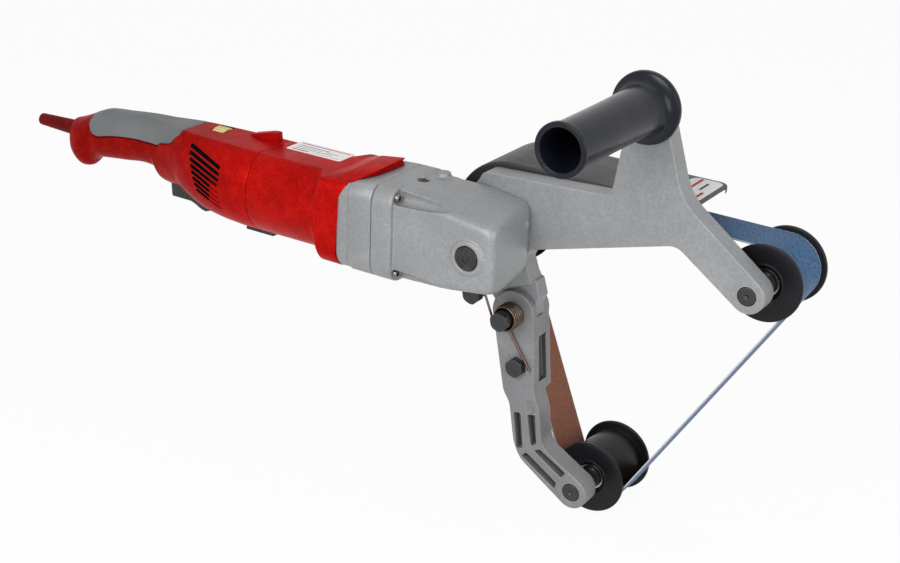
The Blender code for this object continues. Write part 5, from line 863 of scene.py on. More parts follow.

# %% [markdown]
# ## Openings of the rear shell
# Eight cooling slots slant across each side. They are slightly bowed and have round ends, and
# the lower ones end early in a shallow blind recess. In this model a slot is a pocket whose
# floor carries painted shade, a near-black finish that stands for the dark inside, so no
# daylight shows through from the far side; its cutter follows the surface.


# %% Vent slots
def side_of_body(x, z):
    """Half width of the rear housing at a place."""
    middle, tall, half, square = section_at(min(x, ROUND_X))
    share = min(abs(z - middle) / tall, 0.99)
    power = square + (TOP_SQUARER if z > middle else 0.0)
    return half * (1 - share ** power) ** (1 / power)


SLOT_STEPS = 27
SLOT_DEEP, RECESS_DEEP = 2.4, 0.9


def slot_form(rear, fore, side, depth, high=1.5, bow=0.5):
    """A bowed stadium cutter between two (x, z) points on one side of the body."""
    line = Vector(fore) - Vector(rear)
    along, up = line.normalized(), Vector((-line.y, line.x)).normalized()
    upper, lower = [], []
    for i in range(SLOT_STEPS + 1):
        t = (1 - cos(pi * i / SLOT_STEPS)) / 2
        reach = t * line.length
        end = min(reach, line.length - reach)
        tall = high if end >= high else (high ** 2 - (high - end) ** 2) ** 0.5
        middle = Vector(rear) + along * reach + up * bow * 4 * t * (1 - t)
        upper.append(middle + up * max(tall, 0.02))
        lower.append(middle - up * max(tall, 0.02))
    outline = upper + lower[::-1]
    near = [(x, side * (side_of_body(x, z) - depth), z) for x, z in outline]
    return skin("slot_form", [near, [(x, side * 45.0, z) for x, z in outline]])


SLOT_FORE_X = -217.2
VENT_ENDS = (SLOT_FORE_X, SLOT_FORE_X, SLOT_FORE_X, -218.5, -226.0, -226.5, -227.0, -229.0)
for side in (-1, 1):
    for number, end_x in enumerate(VENT_ENDS):
        rear = (-255.0 + 1.7 * number, 27.0 - 4.7 * number)
        fore = (SLOT_FORE_X, 17.3 - 4.9 * number)
        share = (end_x - rear[0]) / (fore[0] - rear[0])
        stop = (end_x, rear[1] + (fore[1] - rear[1]) * share)
        if end_x < -220:
            join(rear_housing, slot_form(stop, fore, side, RECESS_DEEP, high=1.2, bow=0.0))
        join(rear_housing, slot_form(rear, stop, side, SLOT_DEEP))
print("vent slots:", 2 * len(VENT_ENDS))


# %% Openings for the trigger, the wheel and the sleeve
WHEEL_Y, WHEEL_Z = 8.5, 21.9
SLEEVE_Z = 3.8
HUMP_SIDE = ((-223.0, 31.8), (-220.0, 34.8, 2.0), (-200.0, 40.0, 2.0), (-194.2, 40.2), (-193.6, 31.8))


def box_form(low, high):
    corners = ((low[0], low[1]), (high[0], low[1]), (high[0], high[1]), (low[0], high[1]))
    return skin("box_form", [[(x, y, z) for x, y in corners] for z in (low[2], high[2])])


join(rear_housing, box_form((-294.7, -8.8, -39.0), (-240.8, 8.8, -12.5)))
join(rear_housing, pin(13.8, -256.6, -243.4, "X", (0, WHEEL_Y, WHEEL_Z), 96))
join(rear_housing, pin(6.9, -430.0, -375.0, "X", (0, 0, SLEEVE_Z), 96))
hump = plate("hump_form", eased(HUMP_SIDE, 1.0, closed=True), 9.5, 16.5)
join(rear_housing, softened(hump, 0.9), "UNION")
dress(rear_housing, RED, "machine", "red_housing", "rear_housing", smooth=35.0)

# %% Painted shade on the floors of the slots
VENT_XS, VENT_ZS = (-262.0, -214.0), (-27.0, 29.5)
RECESS_X, RECESS_Z = -229.0, 5.0
# Painted shade: faces deeper than a slot's mouth take the near-black finish.
rear_housing.data.materials.append(VENT_PAINTED_SHADE)
dark = 0
for polygon in rear_housing.data.polygons:
    x, y, z = (polygon.center - CROSSING) / MM
    by_recess = x >= RECESS_X and z <= RECESS_Z
    under = RECESS_DEEP + 0.4 if by_recess else 0.35
    in_vents = VENT_XS[0] < x < VENT_XS[1] and VENT_ZS[0] < z < VENT_ZS[1]
    if in_vents and abs(y) < side_of_body(x, z) - under:
        polygon.material_index = 1
        dark += 1
print("dark faces inside the slots:", dark)

# %% [markdown]
# ## Soft overlay
# The grey overlay is a second, softer shot of plastic over the top of the grip. Its lower edge
# wanders in scallops, and a narrow seam separates it from the red. It is a thin closed shell
# between the same stations, a quarter of a millimetre proud, with its edges rounded down.

# %% Overlay shell
rings = []
ends = [x for step in (0.3, 0.6, 1.2) for x in (FIRST + step, LAST - step)]
for x in sorted([*ends, *np.arange(-377.0, LAST - 1.5, 1.3)]):
    end = min(x - FIRST, LAST - x)
    drop = 0.8 * max(0.0, 1 - (end - 0.3) / 0.9) ** 2 - 0.25
    seam = seam_angle(x) + 0.012
    outer = [surface_point(x, seam, drop + 0.9), surface_point(x, seam + 0.012, drop + 0.35)]
    outer += [surface_point(x, angle, drop) for angle in upper_angles(x, 0.0, seam)[1:-1]]
    outer += [surface_point(x, pi - seam - 0.012, drop + 0.35), surface_point(x, pi - seam, drop + 0.9)]
    inner = [surface_point(x, angle, 1.5) for angle in upper_angles(x, 1.5, seam)]
    rings.append(outer + inner[::-1])
overlay = skin("grip_overlay_shell", rings)
dress(overlay, OVERLAY_GREY, "machine", "grip_rubber", "grip_overlay", smooth=50.0)

# %% [markdown]
# ## Cord sleeve, trigger and the small black cover
# Only the bend sleeve of the mains lead shows: a plain taper with a rounded tip and a bore.
# The trigger has a hollow for the finger, and a flat black cover closes the brush opening
# below. The last two are outlines carried across, with all edges softened by a bevel.

# %% Sleeve, trigger and brush cover
TAPER = ((3.4, -448.5), (5.1, -448.5, 1.4), (6.6, -410.0, 6.0), (6.6, -397.0), (3.4, -397.0))
profile = eased(TAPER, 0.6, 5, closed=True)
sleeve = turned("cord_sleeve_taper", profile, "X", (0, 0, SLEEVE_Z))
dress(sleeve, SLEEVE_RED, "machine", "red_sleeve", "cord_sleeve")

outline = [(-293.5, -14.5), (-292.5, -30.2)]
for share in np.arange(17) / 16:
    outline.append((-274.0 + 18.0 * share, -30.2 - 5.6 * (1 - cos(pi * share)) / 2))
outline += [(-247.0 + 5.0 * cos(a), -27.5 + 5.0 * sin(a)) for a in np.linspace(-pi / 3, pi / 3, 9)]
outline.append((-274.0, -14.5))
trigger = plate("trigger_lever", outline, -8.0, 8.0)
dress(softened(trigger, 1.3, 4, 30.0), BLACK, "trigger", "black_plastic", "trigger", smooth=50.0)

cover_side = ((-212.0, -40.0), (-184.0, -40.0), (-184.0, -37.3), (-212.0, -37.3))
cover = plate("brush_cover_pad", eased(cover_side, 0.6, closed=True), -8.5, 8.5)
dress(softened(cover, 0.6, 3, 50.0), BLACK, "machine", "black_plastic", "brush_cover")

# %% [markdown]
# ## Cast pieces
# A die casting has no sharp corner, because the metal has to fill the mould. Bevels fail where
# many cuts meet, so the gear case and the arm are first built crisp from outlines and booleans,
# then turned into an even skin by a voxel remesh and smoothed a few times. That rounds every
# edge alike; the frame's rims are rounded by setting its outline in instead.


# %% Casting helper
RIM_SOFT = 0.9


def cast_edges(made, voxel, rounds):
    """Remeshes a crisp form into an even skin and rounds its edges."""
    grid = made.modifiers.new("even_skin", "REMESH")
    grid.mode, grid.voxel_size, grid.use_smooth_shade = "VOXEL", voxel * MM, True
    ease = made.modifiers.new("rounding", "SMOOTH")
    ease.factor, ease.iterations = 0.5, rounds
    return settle(made)


def swept(cx, cz, radius, start, turn, steps):
    """Points of an arc about a centre, from a start angle through a turn."""
    angles = [start + turn * i / steps for i in range(steps + 1)]
    return [(cx + radius * cos(angle), cz + radius * sin(angle)) for angle in angles]


def arc(cx, cz, radius, start, end, steps=24):
    return swept(cx, cz, radius, radians(start), radians(end - start), steps)


def tangent(point, cx, cz, radius, side):
    """Where a line from a point touches a circle, and at which angle."""
    dx, dz = point[0] - cx, point[1] - cz
    angle = atan2(dz, dx) + side * acos(radius / hypot(dx, dz))
    return cx + radius * cos(angle), cz + radius * sin(angle), angle


def soft_plate(name, outline, near, far):
    """A plate whose two rims are rounded by setting the outline in."""
    rings = []
    for low, way in ((near, 1), (far, -1)):
        quarter = []
        for angle in np.linspace(0, pi / 2, 5):
            section = shrunk(outline, RIM_SOFT * (1 - sin(angle)))
            quarter.append([(x, low + way * RIM_SOFT * (1 - cos(angle)), z) for x, z in section])
        rings += quarter if way == 1 else quarter[::-1]
    return skin(name, rings)


def even_light(made):
    """Lets the large faces rule the shading, so that soft rims don't bend it on the flats."""
    shaded(made.data, 35.0)
    change = made.modifiers.new("even_light", "WEIGHTED_NORMAL")
    change.keep_sharp = True
    return settle(made)


def drilled(made, x, z, radius, near, far):
    """A round hole along Y."""
    return join(made, pin(radius, near, far, "Y", (x, 0, z)))


print("casting helpers ready")

# %% [markdown]
# ## Gear flange and gear case
# The flange next to the motor slopes down under the visor and has a fine groove round it. Its
# table gives an X, the height of the flat top there and how far the section is set in. The
# gear case is a blunt nose that rounds over towards the viewer, so its table gives a reach
# from the near face and an inset; four screws sit in grooves along its corners, a raised ring
# surrounds the lock button, and its inside is hollow.

# %% Gear flange
CASE_HALF, CASE_CORNER = 38.2, 15.5
FLANGE_LEVELS = (
    (-100.0, 31.0, 1.5), (-99.7, 31.7, 0.95), (-99.1, 31.9, 0.7), (-90.2, 33.3, 0.7), (-89.9, 33.1, 1.1),
    (-89.5, 33.0, 1.2), (-89.1, 33.5, 1.1), (-88.8, 34.1, 0.25), (-88.3, 34.4, 0.0), (-69.4, 36.9, 0.0),
    (-68.8, 36.8, 0.2), (-68.3, 36.4, 0.8),
)
rings = [ring_at(x, rounded_square(CASE_HALF - step, CASE_CORNER, top)) for x, top, step in FLANGE_LEVELS]
rings += [ring_at(x, disc(29.0)) for x in (FLANGE_LEVELS[-1][0], FLANGE_LEVELS[0][0])]
gear_flange = skin("gear_flange_casting", rings, loop=True)
dress(gear_flange, CAST, "machine", "cast_grey", "gear_flange", smooth=30.0)

# %% Gear case, crisp form
SCREW_PITCH = 30.2
CASE_NEAR_Y, CASE_LONG = -34.0, 64.4
LOCK_X = 15.5
CASE_LEVELS = (
    (0.0, 8.2), (0.3, 6.6), (1.0, 5.0), (2.2, 3.6), (4.0, 2.4), (6.4, 1.5), (9.5, 0.8), (13.5, 0.3),
    (20.0, 0.0), (52.0, 0.0), (62.0, 0.35), (CASE_LONG, 0.6),
)
COLLAR_LEVELS = ((-68.0, 0.6), (-67.5, 0.0), (-51.2, 0.0), (-50.2, 0.5), (-49.8, 1.5))
LOCK_RING = ((0, -24.0), (15.6, -24.0), (14.8, -32.6, 2.2), (12.9, -36.2, 1.2), (0, -36.2))
TOP_BOSS = ((0, 20.0), (6.6, 20.0), (5.5, 38.8), (0, 38.8))
NUB = ((0, 20.0), (2.8, 20.0), (2.6, 31.8), (0, 31.8))


def case_outline(front, inset):
    """The gear case seen along the spindle."""
    tip, mid, back = 30.0 - inset, 34.4 - inset, 36.2 - inset
    upper = eased(((-12.0, mid), (front - inset, tip - 2.1, 8.5), (front - inset, 0.0)), 8.5, 12)
    upper = [(-51.0, back), *upper[:-1]]
    return upper + [(x, -z) for x, z in reversed(upper)]


rings = []
for reach, inset in CASE_LEVELS:
    front = 39.2 - 9.4 * reach / CASE_LONG
    rings.append([(x, CASE_NEAR_Y + reach, z) for x, z in case_outline(front, inset)])
gear_case = skin("gear_case_casting", rings)
collar_section = rounded_square(CASE_HALF, CASE_CORNER, 37.2)
collar = [ring_at(x, shrunk(collar_section, depth)) for x, depth in COLLAR_LEVELS]
join(gear_case, skin("collar_form", collar), "UNION")
RAISED = (
    (LOCK_RING, 1.0, "Y", (LOCK_X, 0, 0), 96), (TOP_BOSS, 1.0, "Z", (-42.0, 20.5, 0), 48),
    (NUB, 0.8, "X", (0, 24.5, 12.2), 32),
)
for profile, radius, axis, centre, steps in RAISED:
    join(gear_case, turned("raised_form", eased(profile, radius), axis, centre, steps), "UNION")
print("crisp gear case:", len(gear_case.data.polygons), "faces")

# %% Gear case, cuts and soft edges
CHAMBER = ((0, -28.0), (21.5, -28.0), (27.5, -22.0), (27.5, 34.0), (0, 34.0))
GROOVE = ((0, -50.4), (6.2, -50.4), (5.9, -34.0), (4.6, -16.0), (2.2, -5.0), (0, -2.0))
join(gear_case, turned("chamber_form", CHAMBER, "Y", (0, 0, 0)))
join(gear_case, pin(14.0, -70.0, 0, "X", (0, 0, 0)))
for side in (-1, 1):
    for up in (1, -1):
        where = (0, side * SCREW_PITCH, up * (SCREW_PITCH + 1.0))
        join(gear_case, turned("groove_form", eased(GROOVE, 2.0), "X", where, 40))
join(gear_case, pin(4.6, 34.5, 39.0, "Z", (-48.0, 2.0, 0), 40))
join(gear_case, pin(9.6, -40.0, -26.0, "Y", (LOCK_X, 0, 0)))
cast_edges(gear_case, 0.8, 4)
dress(gear_case, CAST, "machine", "cast_grey", "gear_case", smooth=60.0)

# %% [markdown]
# ## Frame casting
# The frame is one thick plate: a left part bolted to the gear case, an upright that carries
# the side handle, and an arm out to the upper roller. Its outline is straight lines that
# touch round ends, so every end is found as a tangent instead of being drawn by eye.

# %% Frame plate
HANDLE = (117.6, 118.9)
UPPER = (205.8, -1.7)
LOWER = (80.3, -202.7)
PIVOT = (19.5, -65.5)
STOP_UP = (-5.6, -49.0)
STOP_LOW = (26.2, -108.3)
FRAME_NEAR_Y, FRAME_FAR_Y = 30.7, 47.7
HANDLE_END, UPPER_END, PIVOT_END, LOWER_END = 12.5, 13.3, 18.5, 13.4
BOLT_HOLE, AXLE_HOLE, SCREW_HOLE = 5.3, 7.35, 2.7
SCREW_CIRCLE = 25.8
GUARD_SCREW_XS, GUARD_SCREW_Z = (25.0, 82.0), 38.5
LEFT_NOTCH, RIGHT_NOTCH = (94.2, 47.6), (150.2, 57.0)
LOW_BEND, HIGH_LEFT = (149.0, 22.2), (-14.6, 42.5)


def rounded_corner(before, corner, after, radius):
    return eased((before, (*corner, radius), after), radius, 8)[1:-1]


def round_end(centre, radius, start, end, steps):
    """The arc from one tangent point to another."""
    return swept(*centre, radius, start[2], (end[2] - start[2]) % (2 * pi), steps)


top_left = tangent(LEFT_NOTCH, *HANDLE, HANDLE_END, -1)
top_right = tangent(RIGHT_NOTCH, *HANDLE, HANDLE_END, 1)
end_up = tangent(RIGHT_NOTCH, *UPPER, UPPER_END, -1)
end_low = tangent(LOW_BEND, *UPPER, UPPER_END, 1)
inner_bend = (30.5, -10.5)
outline = [(26.8, -20.0), inner_bend]
outline += rounded_corner(inner_bend, LOW_BEND, end_low[:2], 7.0)
outline += round_end(UPPER, UPPER_END, end_low, end_up, 28)
outline += rounded_corner(end_up[:2], RIGHT_NOTCH, top_right[:2], 14.0)
outline += round_end(HANDLE, HANDLE_END, top_right, top_left, 28)
outline += rounded_corner(top_left[:2], LEFT_NOTCH, HIGH_LEFT, 7.0)
outline += rounded_corner(LEFT_NOTCH, HIGH_LEFT, (-26.6, 0.0), 6.0)
outline += arc(0, 0, 33.5, 150, 232) + arc(*STOP_UP, 8.2, 190, 262, 10) + [(-1.0, -52.3), (33.0, -37.5)]
frame_plate = soft_plate("frame_casting", outline, FRAME_NEAR_Y, FRAME_FAR_Y)
TONGUE_SIDE = (
    (36.5, -54.0), (38.5, -50.0), (34.5, -37.0), (32.0, -36.0), (25.8, -26.0), (-8.0, -26.0), (-8.0, -52.3),
)
tongue = arc(*PIVOT, 17.0, 180, 382, 40) + list(TONGUE_SIDE)
join(frame_plate, soft_plate("tongue_form", tongue, 36.4, 50.0), "UNION")
seat_ring = ((15.3, 46.7), (21.5, 46.7), (21.5, 51.7), (15.3, 51.7))
join(frame_plate, turned("seat_form", seat_ring, "Y", (0, 0, 0)), "UNION")
holes = [(0, 0, 16.3), (*UPPER, AXLE_HOLE), (*HANDLE, BOLT_HOLE), (*PIVOT, BOLT_HOLE), (*STOP_UP, BOLT_HOLE)]
holes += [(*point, SCREW_HOLE) for point in arc(0, 0, SCREW_CIRCLE, 45, 315, 3)]
DRILL_FAR_Y = 56.0
for x, z, radius in holes:
    drilled(frame_plate, x, z, radius, 28.0, DRILL_FAR_Y)
for x in GUARD_SCREW_XS:
    drilled(frame_plate, x, GUARD_SCREW_Z, SCREW_HOLE, 36.7, DRILL_FAR_Y)
even_light(frame_plate)
dress(frame_plate, CAST, "machine", "cast_grey", "frame_plate")

# %% [markdown]
# ## Tension arm
# The arm swings on the pivot bolt and carries the lower roller. It is forked round a tongue of
# the frame, thick at the top and thinner at the elbow, and its near face has four long pockets
# that save metal, with a shallower one above. Another pocket lies in its right side.

# %% Tension arm outline and body
ARM_LEFT = ((5.5, -82.0), (14.5, -133.0), (20.5, -141.5), (26.2, -174.5), (32.5, -187.2))
ARM_RIGHT = ((38.0, -80.0), (42.4, -129.0), (47.6, -140.0), (51.8, -171.2))
ARM_NEAR_Y, ARM_FAR_Y = 30.0, 47.5
left = tangent(ARM_LEFT[0], *PIVOT, PIVOT_END, -1)
right = tangent(ARM_RIGHT[0], *PIVOT, PIVOT_END, 1)
end_left = tangent(ARM_LEFT[4], *LOWER, LOWER_END, 1)
end_right = tangent(ARM_RIGHT[3], *LOWER, LOWER_END, -1)


def rounded_run(points, radii):
    """The inner corners of a run of points, each rounded by its own radius."""
    made = []
    for i, radius in enumerate(radii):
        made += rounded_corner(*points[i:i + 3], radius)
    return made


outline = round_end(PIVOT, PIVOT_END, right, left, 36)
outline += rounded_run((left[:2], *ARM_LEFT[1:], end_left[:2]), (4.0, 4.0, 7.0, 7.0))
outline += round_end(LOWER, LOWER_END, end_left, end_right, 28)
outline += rounded_run((end_right[:2], *ARM_RIGHT[:0:-1], right[:2]), (9.0, 5.0, 5.0))
arm = plate("tension_arm_casting", outline, ARM_NEAR_Y, ARM_FAR_Y)
deep = arc(*PIVOT, 16.8, -10, 190, 36)
deep += [(5.9, -82.0), (14.9, -129.5), (18.5, -133.5), (38.4, -133.5), (42.0, -129.0), (37.6, -80.0)]
join(arm, plate("deep_form", deep, 43.5, 57.5), "UNION")
fork = arc(*PIVOT, 17.6, 180, 360, 40) + [(53.5, -65.5), (53.5, -31.5), (-14.5, -31.5), (-14.5, -65.5)]
join(arm, plate("fork_form", fork, 35.8, 50.6))
print("crisp arm:", len(arm.data.polygons), "faces")

# %% Tension arm pockets and holes
POCKETS = (
    ((25.0, -149.0), (31.1, -148.0), (34.8, -177.5), (29.4, -179.5)),
    ((37.4, -147.4), (44.0, -146.0), (46.8, -170.5), (42.2, -173.5)),
    ((34.2, -185.0), (38.4, -180.8), (66.8, -198.6), (65.5, -204.2)),
    ((45.0, -176.8), (50.5, -174.5), (74.5, -187.6), (70.5, -192.5)),
)
SHALLOW_POCKET = ((36.2, -136.0), (41.4, -135.4), (43.4, -144.6), (37.9, -146.2))
SIDE_POCKET = ((33.0, -83.0), (37.4, -121.0), (47.4, -121.0), (43.0, -83.0))
SIDE_NEAR_Y, SIDE_FAR_Y = 38.5, 51.0
FLOOR_Y = ARM_NEAR_Y + 8.0
for corners, floor_y in (*[(corners, FLOOR_Y) for corners in POCKETS], (SHALLOW_POCKET, ARM_NEAR_Y + 1.6)):
    join(arm, plate("pocket_form", eased(corners, 1.4, 5, closed=True), 26.0, floor_y))
join(arm, plate("side_pocket_form", SIDE_POCKET, SIDE_NEAR_Y, SIDE_FAR_Y))
drilled(arm, *PIVOT, BOLT_HOLE, 26.0, 60.0)
drilled(arm, *LOWER, AXLE_HOLE, 26.0, 60.0)
drilled(arm, *STOP_LOW, BOLT_HOLE, 26.0, 42.3)
cast_edges(arm, 0.55, 4)
dress(arm, CAST_DARK, "arm", "cast_grey", "tension_arm", smooth=60.0)


# %% Shade in the pockets
MARGIN = 0.5


def within(corners, x, z):
    """Whether a point lies in a convex outline, or no further from it than the margin."""
    depths = []
    for (ax, az), (bx, bz) in zip(corners, (*corners[1:], corners[0])):
        depths.append(((bx - ax) * (z - az) - (bz - az) * (x - ax)) / hypot(bx - ax, bz - az))
    return min(depths) > -MARGIN or max(depths) < MARGIN


SIDE_POCKET_FLOOR = (*SIDE_POCKET[:2], (40.6, -121.0), (36.9, -83.0))
arm.data.materials.append(CAST_SHADE)
shady = 0
for polygon in arm.data.polygons:
    x, y, z = (polygon.center - CROSSING) / MM
    near_floor = FLOOR_Y - 1.6 < y < FLOOR_Y + 0.6 and any(within(corners, x, z) for corners in POCKETS)
    side_floor = SIDE_NEAR_Y - MARGIN < y < SIDE_FAR_Y + MARGIN and within(SIDE_POCKET_FLOOR, x, z)
    polygon.material_index = int(near_floor or side_floor)
    shady += polygon.material_index
print("shaded faces in the arm's pockets:", shady)

# %% [markdown]
# ## Geometry Nodes for what repeats
# Screws, bolts and a wheel's teeth repeat, and the spring and the belt follow a path. For
# these a node tree is the natural tool: it is built once, its sizes are named inputs, and it
# can be set on any object. Each tree ends in Realize Instances and Set Material, and the result is turned
# into a plain mesh, because an export knows nothing of instances.


# %% Tree helper
class Recipe(Finish):
    """A Geometry Nodes tree; it wires and does arithmetic as a finish does."""

    def __init__(self, name):
        self.tree = bpy.data.node_groups.new(name, "GeometryNodeTree")
        self.keys = {}
        for way in ("OUTPUT", "INPUT"):
            self.tree.interface.new_socket("Geometry", in_out=way, socket_type="NodeSocketGeometry")
        self.ins = self.tree.nodes.new("NodeGroupInput")
        self.given = Wire(self, self.ins.outputs["Geometry"])
        self.paint = self.size("Finish", None, "Material")

    def size(self, name, value, kind="Float"):
        """A named input with its usual value."""
        socket = self.tree.interface.new_socket(name, in_out="INPUT", socket_type="NodeSocket" + kind)
        if value is not None:
            socket.default_value = value
        self.keys[name] = socket.identifier
        return Wire(self, self.ins.outputs[name])

    def table(self, place, values):
        """Straight runs through a few values, as the place goes from 0 to 1."""
        made = self.tree.nodes.new("ShaderNodeFloatCurve")
        curve = made.mapping.curves[0]
        last = len(values) - 1
        while len(curve.points) < len(values):
            curve.points.new(0.5, 0.5)
        for i, value in enumerate(values):
            curve.points[i].location = (i / last, value)
            curve.points[i].handle_type = "VECTOR"
        made.mapping.update()
        self.feed(made.inputs["Value"], place)
        return Wire(self, made.outputs[0])

    def grid(self, rows, around):
        """A grid to be bent, and the two shares, from 0 to 1, that tell where on it a point is."""
        inputs = {"Size X": 1.0, "Size Y": 1.0, "Vertices X": rows, "Vertices Y": around + 1}
        flat = self.node("GeometryNodeMeshGrid", inputs)
        x, y, z = self.split(self.node("GeometryNodeInputPosition"))
        return flat, x + 0.5, y + 0.5

    def bent(self, flat, place, gap):
        """Moves every point to its place and joins points that are closer than the gap."""
        shaped = self.node("GeometryNodeSetPosition", {"Geometry": flat, "Position": place})
        return self.node("GeometryNodeMergeByDistance", {"Geometry": shaped, "Distance": gap})

    def end(self, geometry):
        """The last two nodes of every tree."""
        real = self.node("GeometryNodeRealizeInstances", {"Geometry": geometry})
        painted = self.node("GeometryNodeSetMaterial", {"Geometry": real, "Material": self.paint})
        out = self.tree.nodes.new("NodeGroupOutput")
        self.tree.links.new(painted.socket, out.inputs["Geometry"])
        return self

    def make(self, made, finish, **sizes):
        """Runs the tree on an object and leaves a plain mesh with outward faces."""
        change = made.modifiers.new(self.tree.name, "NODES")
        change.node_group = self.tree
        change[self.keys["Finish"]] = finish
        for name, value in sizes.items():
            change[self.keys[name.replace("_", " ")]] = value
        settle(made)
        sealed(made.data, 1e-4)
        return made


print("tree helper ready")

# %% [markdown]
# ## Screws and bolts
# A fastener is a profile turned round its own axis, and some rings of the profile are hexagons
# instead of circles: the whole head of a bolt, or only the socket of a screw. A grid is bent
# into that shape by formulas, and the result stands on every point, along that point's axis.


# %% The fastener tree
HEXAGON_FLAT = cos(pi / 6)


def fastener(name, radii, heads, shanks, outer_hex, inner_hex, around=48):
    """Rings given as shares of head radius, head height and shank length."""
    made = Recipe(name)
    head_r = made.size("Head radius", 0.004)
    head_h = made.size("Head height", 0.003)
    shank = made.size("Shank length", 0.010)
    turn_by = made.size("Turn", 0.2)
    rows = len(radii)
    flat, along, round_share = made.grid(rows, around)
    angle = round_share * (2 * pi)
    sixth = made.maths("COSINE", made.maths("WRAP", angle, pi / 6, -pi / 6))
    radius = made.table(along, radii)
    flat_out = made.table(along, [0.5 if i in outer_hex else 1.0 for i in range(rows)])
    flat_in = made.table(along, [radii[i] if i in inner_hex else 1.0 for i in range(rows)])
    hexed = made.maths("MINIMUM", radius, (HEXAGON_FLAT / sixth) + (flat_out > 0.75) * 5.0)
    socket = (HEXAGON_FLAT / sixth) + (flat_in > 0.99) * (1.0 - HEXAGON_FLAT / sixth)
    reach = hexed * socket * head_r
    height = made.table(along, heads) * head_h - made.table(along, shanks) * shank
    spun = angle + turn_by
    spread = {"X": reach * made.maths("COSINE", spun), "Y": reach * made.maths("SINE", spun), "Z": height}
    whole = made.bent(flat, made.add("CombineXYZ", spread), 1e-6)
    axis = made.node("GeometryNodeInputNamedAttribute", {"Name": "along"}, data_type="FLOAT_VECTOR")
    facing = made.node("FunctionNodeAlignRotationToVector", {"Vector": axis}, axis="Z")
    stood = {"Points": made.given, "Instance": whole, "Rotation": facing}
    return made.end(made.node("GeometryNodeInstanceOnPoints", stood))


button_screw = fastener(
    "button_screw",
    radii=(0.0, 0.55, 0.55, 1.0, 1.0, 0.97, 0.90, 0.78, 0.62, 0.56, 0.53, 0.50, 0.0),
    heads=(0.0, 0.0, 0.0, 0.0, 0.30, 0.52, 0.74, 0.90, 0.98, 1.0, 0.96, 0.40, 0.34),
    shanks=(1.0, 1.0, *[0.0] * 11), outer_hex=(), inner_hex=(10, 11),
)
hex_bolt = fastener(
    "hex_bolt",
    radii=(0.0, 0.52, 0.60, 0.60, 0.96, 1.0, 1.0, 0.975, 0.94, 0.90, 0.86, 0.0),
    heads=(0.0, 0.0, 0.0, 0.0, 0.0, 0.06, 0.66, 0.80, 0.90, 0.97, 1.0, 1.0),
    shanks=(1.0, 1.0, 0.97, *[0.0] * 9), outer_hex=range(4, 11), inner_hex=(), around=96,
)


def stand_points(name, places, along):
    """Loose points that carry the axis of what will stand on them."""
    mesh = bpy.data.meshes.new(name)
    mesh.from_pydata([spot(*place) for place in places], [], [])
    axis = mesh.attributes.new("along", "FLOAT_VECTOR", "POINT")
    axis.data.foreach_set("vector", list(along) * len(places))
    return linked(name, mesh)


print("fastener recipes: button screw and hexagon bolt")

# %% The screws
def numbered(stem, count):
    return ["%s_%d" % (stem, number + 1) for number in range(count)]


CASE_PLACES = [(-50.1, y, z) for y in (-SCREW_PITCH, SCREW_PITCH) for z in (SCREW_PITCH, -SCREW_PITCH)]
GUARD_PLACES = [(x, 49.8, GUARD_SCREW_Z) for x in GUARD_SCREW_XS]
FRAME_PLACES = [(x, 48.0, z) for x, z in arc(0, 0, SCREW_CIRCLE, 45, 315, 3)]
OIL_PLACES = [(-48.0, 2.0, 35.0)]
SCREWS = (
    ("case_screws", numbered("case_screw", 4), CASE_PLACES, X_AXIS, SCREW_STEEL, 3.3, 3.0, 17.5),
    ("guard_screws", numbered("guard_screw", 2), GUARD_PLACES, Y_AXIS, SCREW_STEEL, 4.0, 2.2, 11.8),
    ("frame_screws", numbered("frame_screw", 4), FRAME_PLACES, Y_AXIS, BOLT_BLACK, 4.0, 3.8, 16.5),
    ("oil_plug", ["oil_screw"], OIL_PLACES, Z_AXIS, BOLT_BLACK, 4.0, 1.4, 0.2),
)
for name, stands_for, places, along, finish, head_r, head_h, shank in SCREWS:
    made = stand_points(name, places, along)
    sizes = {"Head_radius": head_r * MM, "Head_height": head_h * MM, "Shank_length": shank * MM}
    button_screw.make(made, finish, **sizes)
    dress(made, finish, "machine", "black_steel", *stands_for, smooth=35.0)


# %% Bolts with their spacer sleeves
HEX_HEAD_R, STOP_SLEEVE_R = 8.2, 6.1


def merged(name, *made):
    """Several plain meshes as one piece."""
    shell = bmesh.new()
    for one in made:
        shell.from_mesh(one.data)
        bpy.data.objects.remove(one)
    mesh = bpy.data.meshes.new(name)
    shell.to_mesh(mesh)
    shell.free()
    return linked(name, mesh)


def sleeve(x, z, outer, near, far):
    inner = 5.0
    profile = eased(((inner, near), (outer, near), (outer, far), (inner, far)), 0.4, 3, closed=True)
    return turned("sleeve_form", profile, "Y", (x, 0, z), 64)


BOLTS = (
    ("pivot_bolt_head", "pivot_bolt", PIVOT, 14.2, 44.8, BOLT_BLACK, "machine", "black_steel"),
    ("upper_stop_bolt", "stop_bolt_upper", STOP_UP, 13.2, 35.5, BOLT_BLACK, "machine", "black_steel"),
    ("lower_stop_bolt", "stop_bolt_lower", STOP_LOW, 29.7, 12.3, BOLT_BLACK, "arm", "black_steel"),
    ("handle_bolt_head", "handle_bolt", HANDLE, 19.1, 29.6, BRIGHT, "machine", "bright_steel"),
)
SLEEVES = {"pivot_bolt": (7.2, 29.7), "stop_bolt_upper": (STOP_SLEEVE_R, 30.4)}
for name, node, (x, z), seat, shank, finish, body, slot in BOLTS:
    made = stand_points(name, [(x, seat, z)], (0, -1, 0))
    sizes = {"Head_radius": HEX_HEAD_R * MM, "Head_height": 6.2 * MM, "Shank_length": shank * MM}
    hex_bolt.make(made, finish, Turn=radians(12.0), **sizes)
    if node in SLEEVES:
        outer, far = SLEEVES[node]
        made = merged(name, made, sleeve(x, z, outer, seat - 0.3, far))
    dress(made, finish, body, slot, node, smooth=32.0)

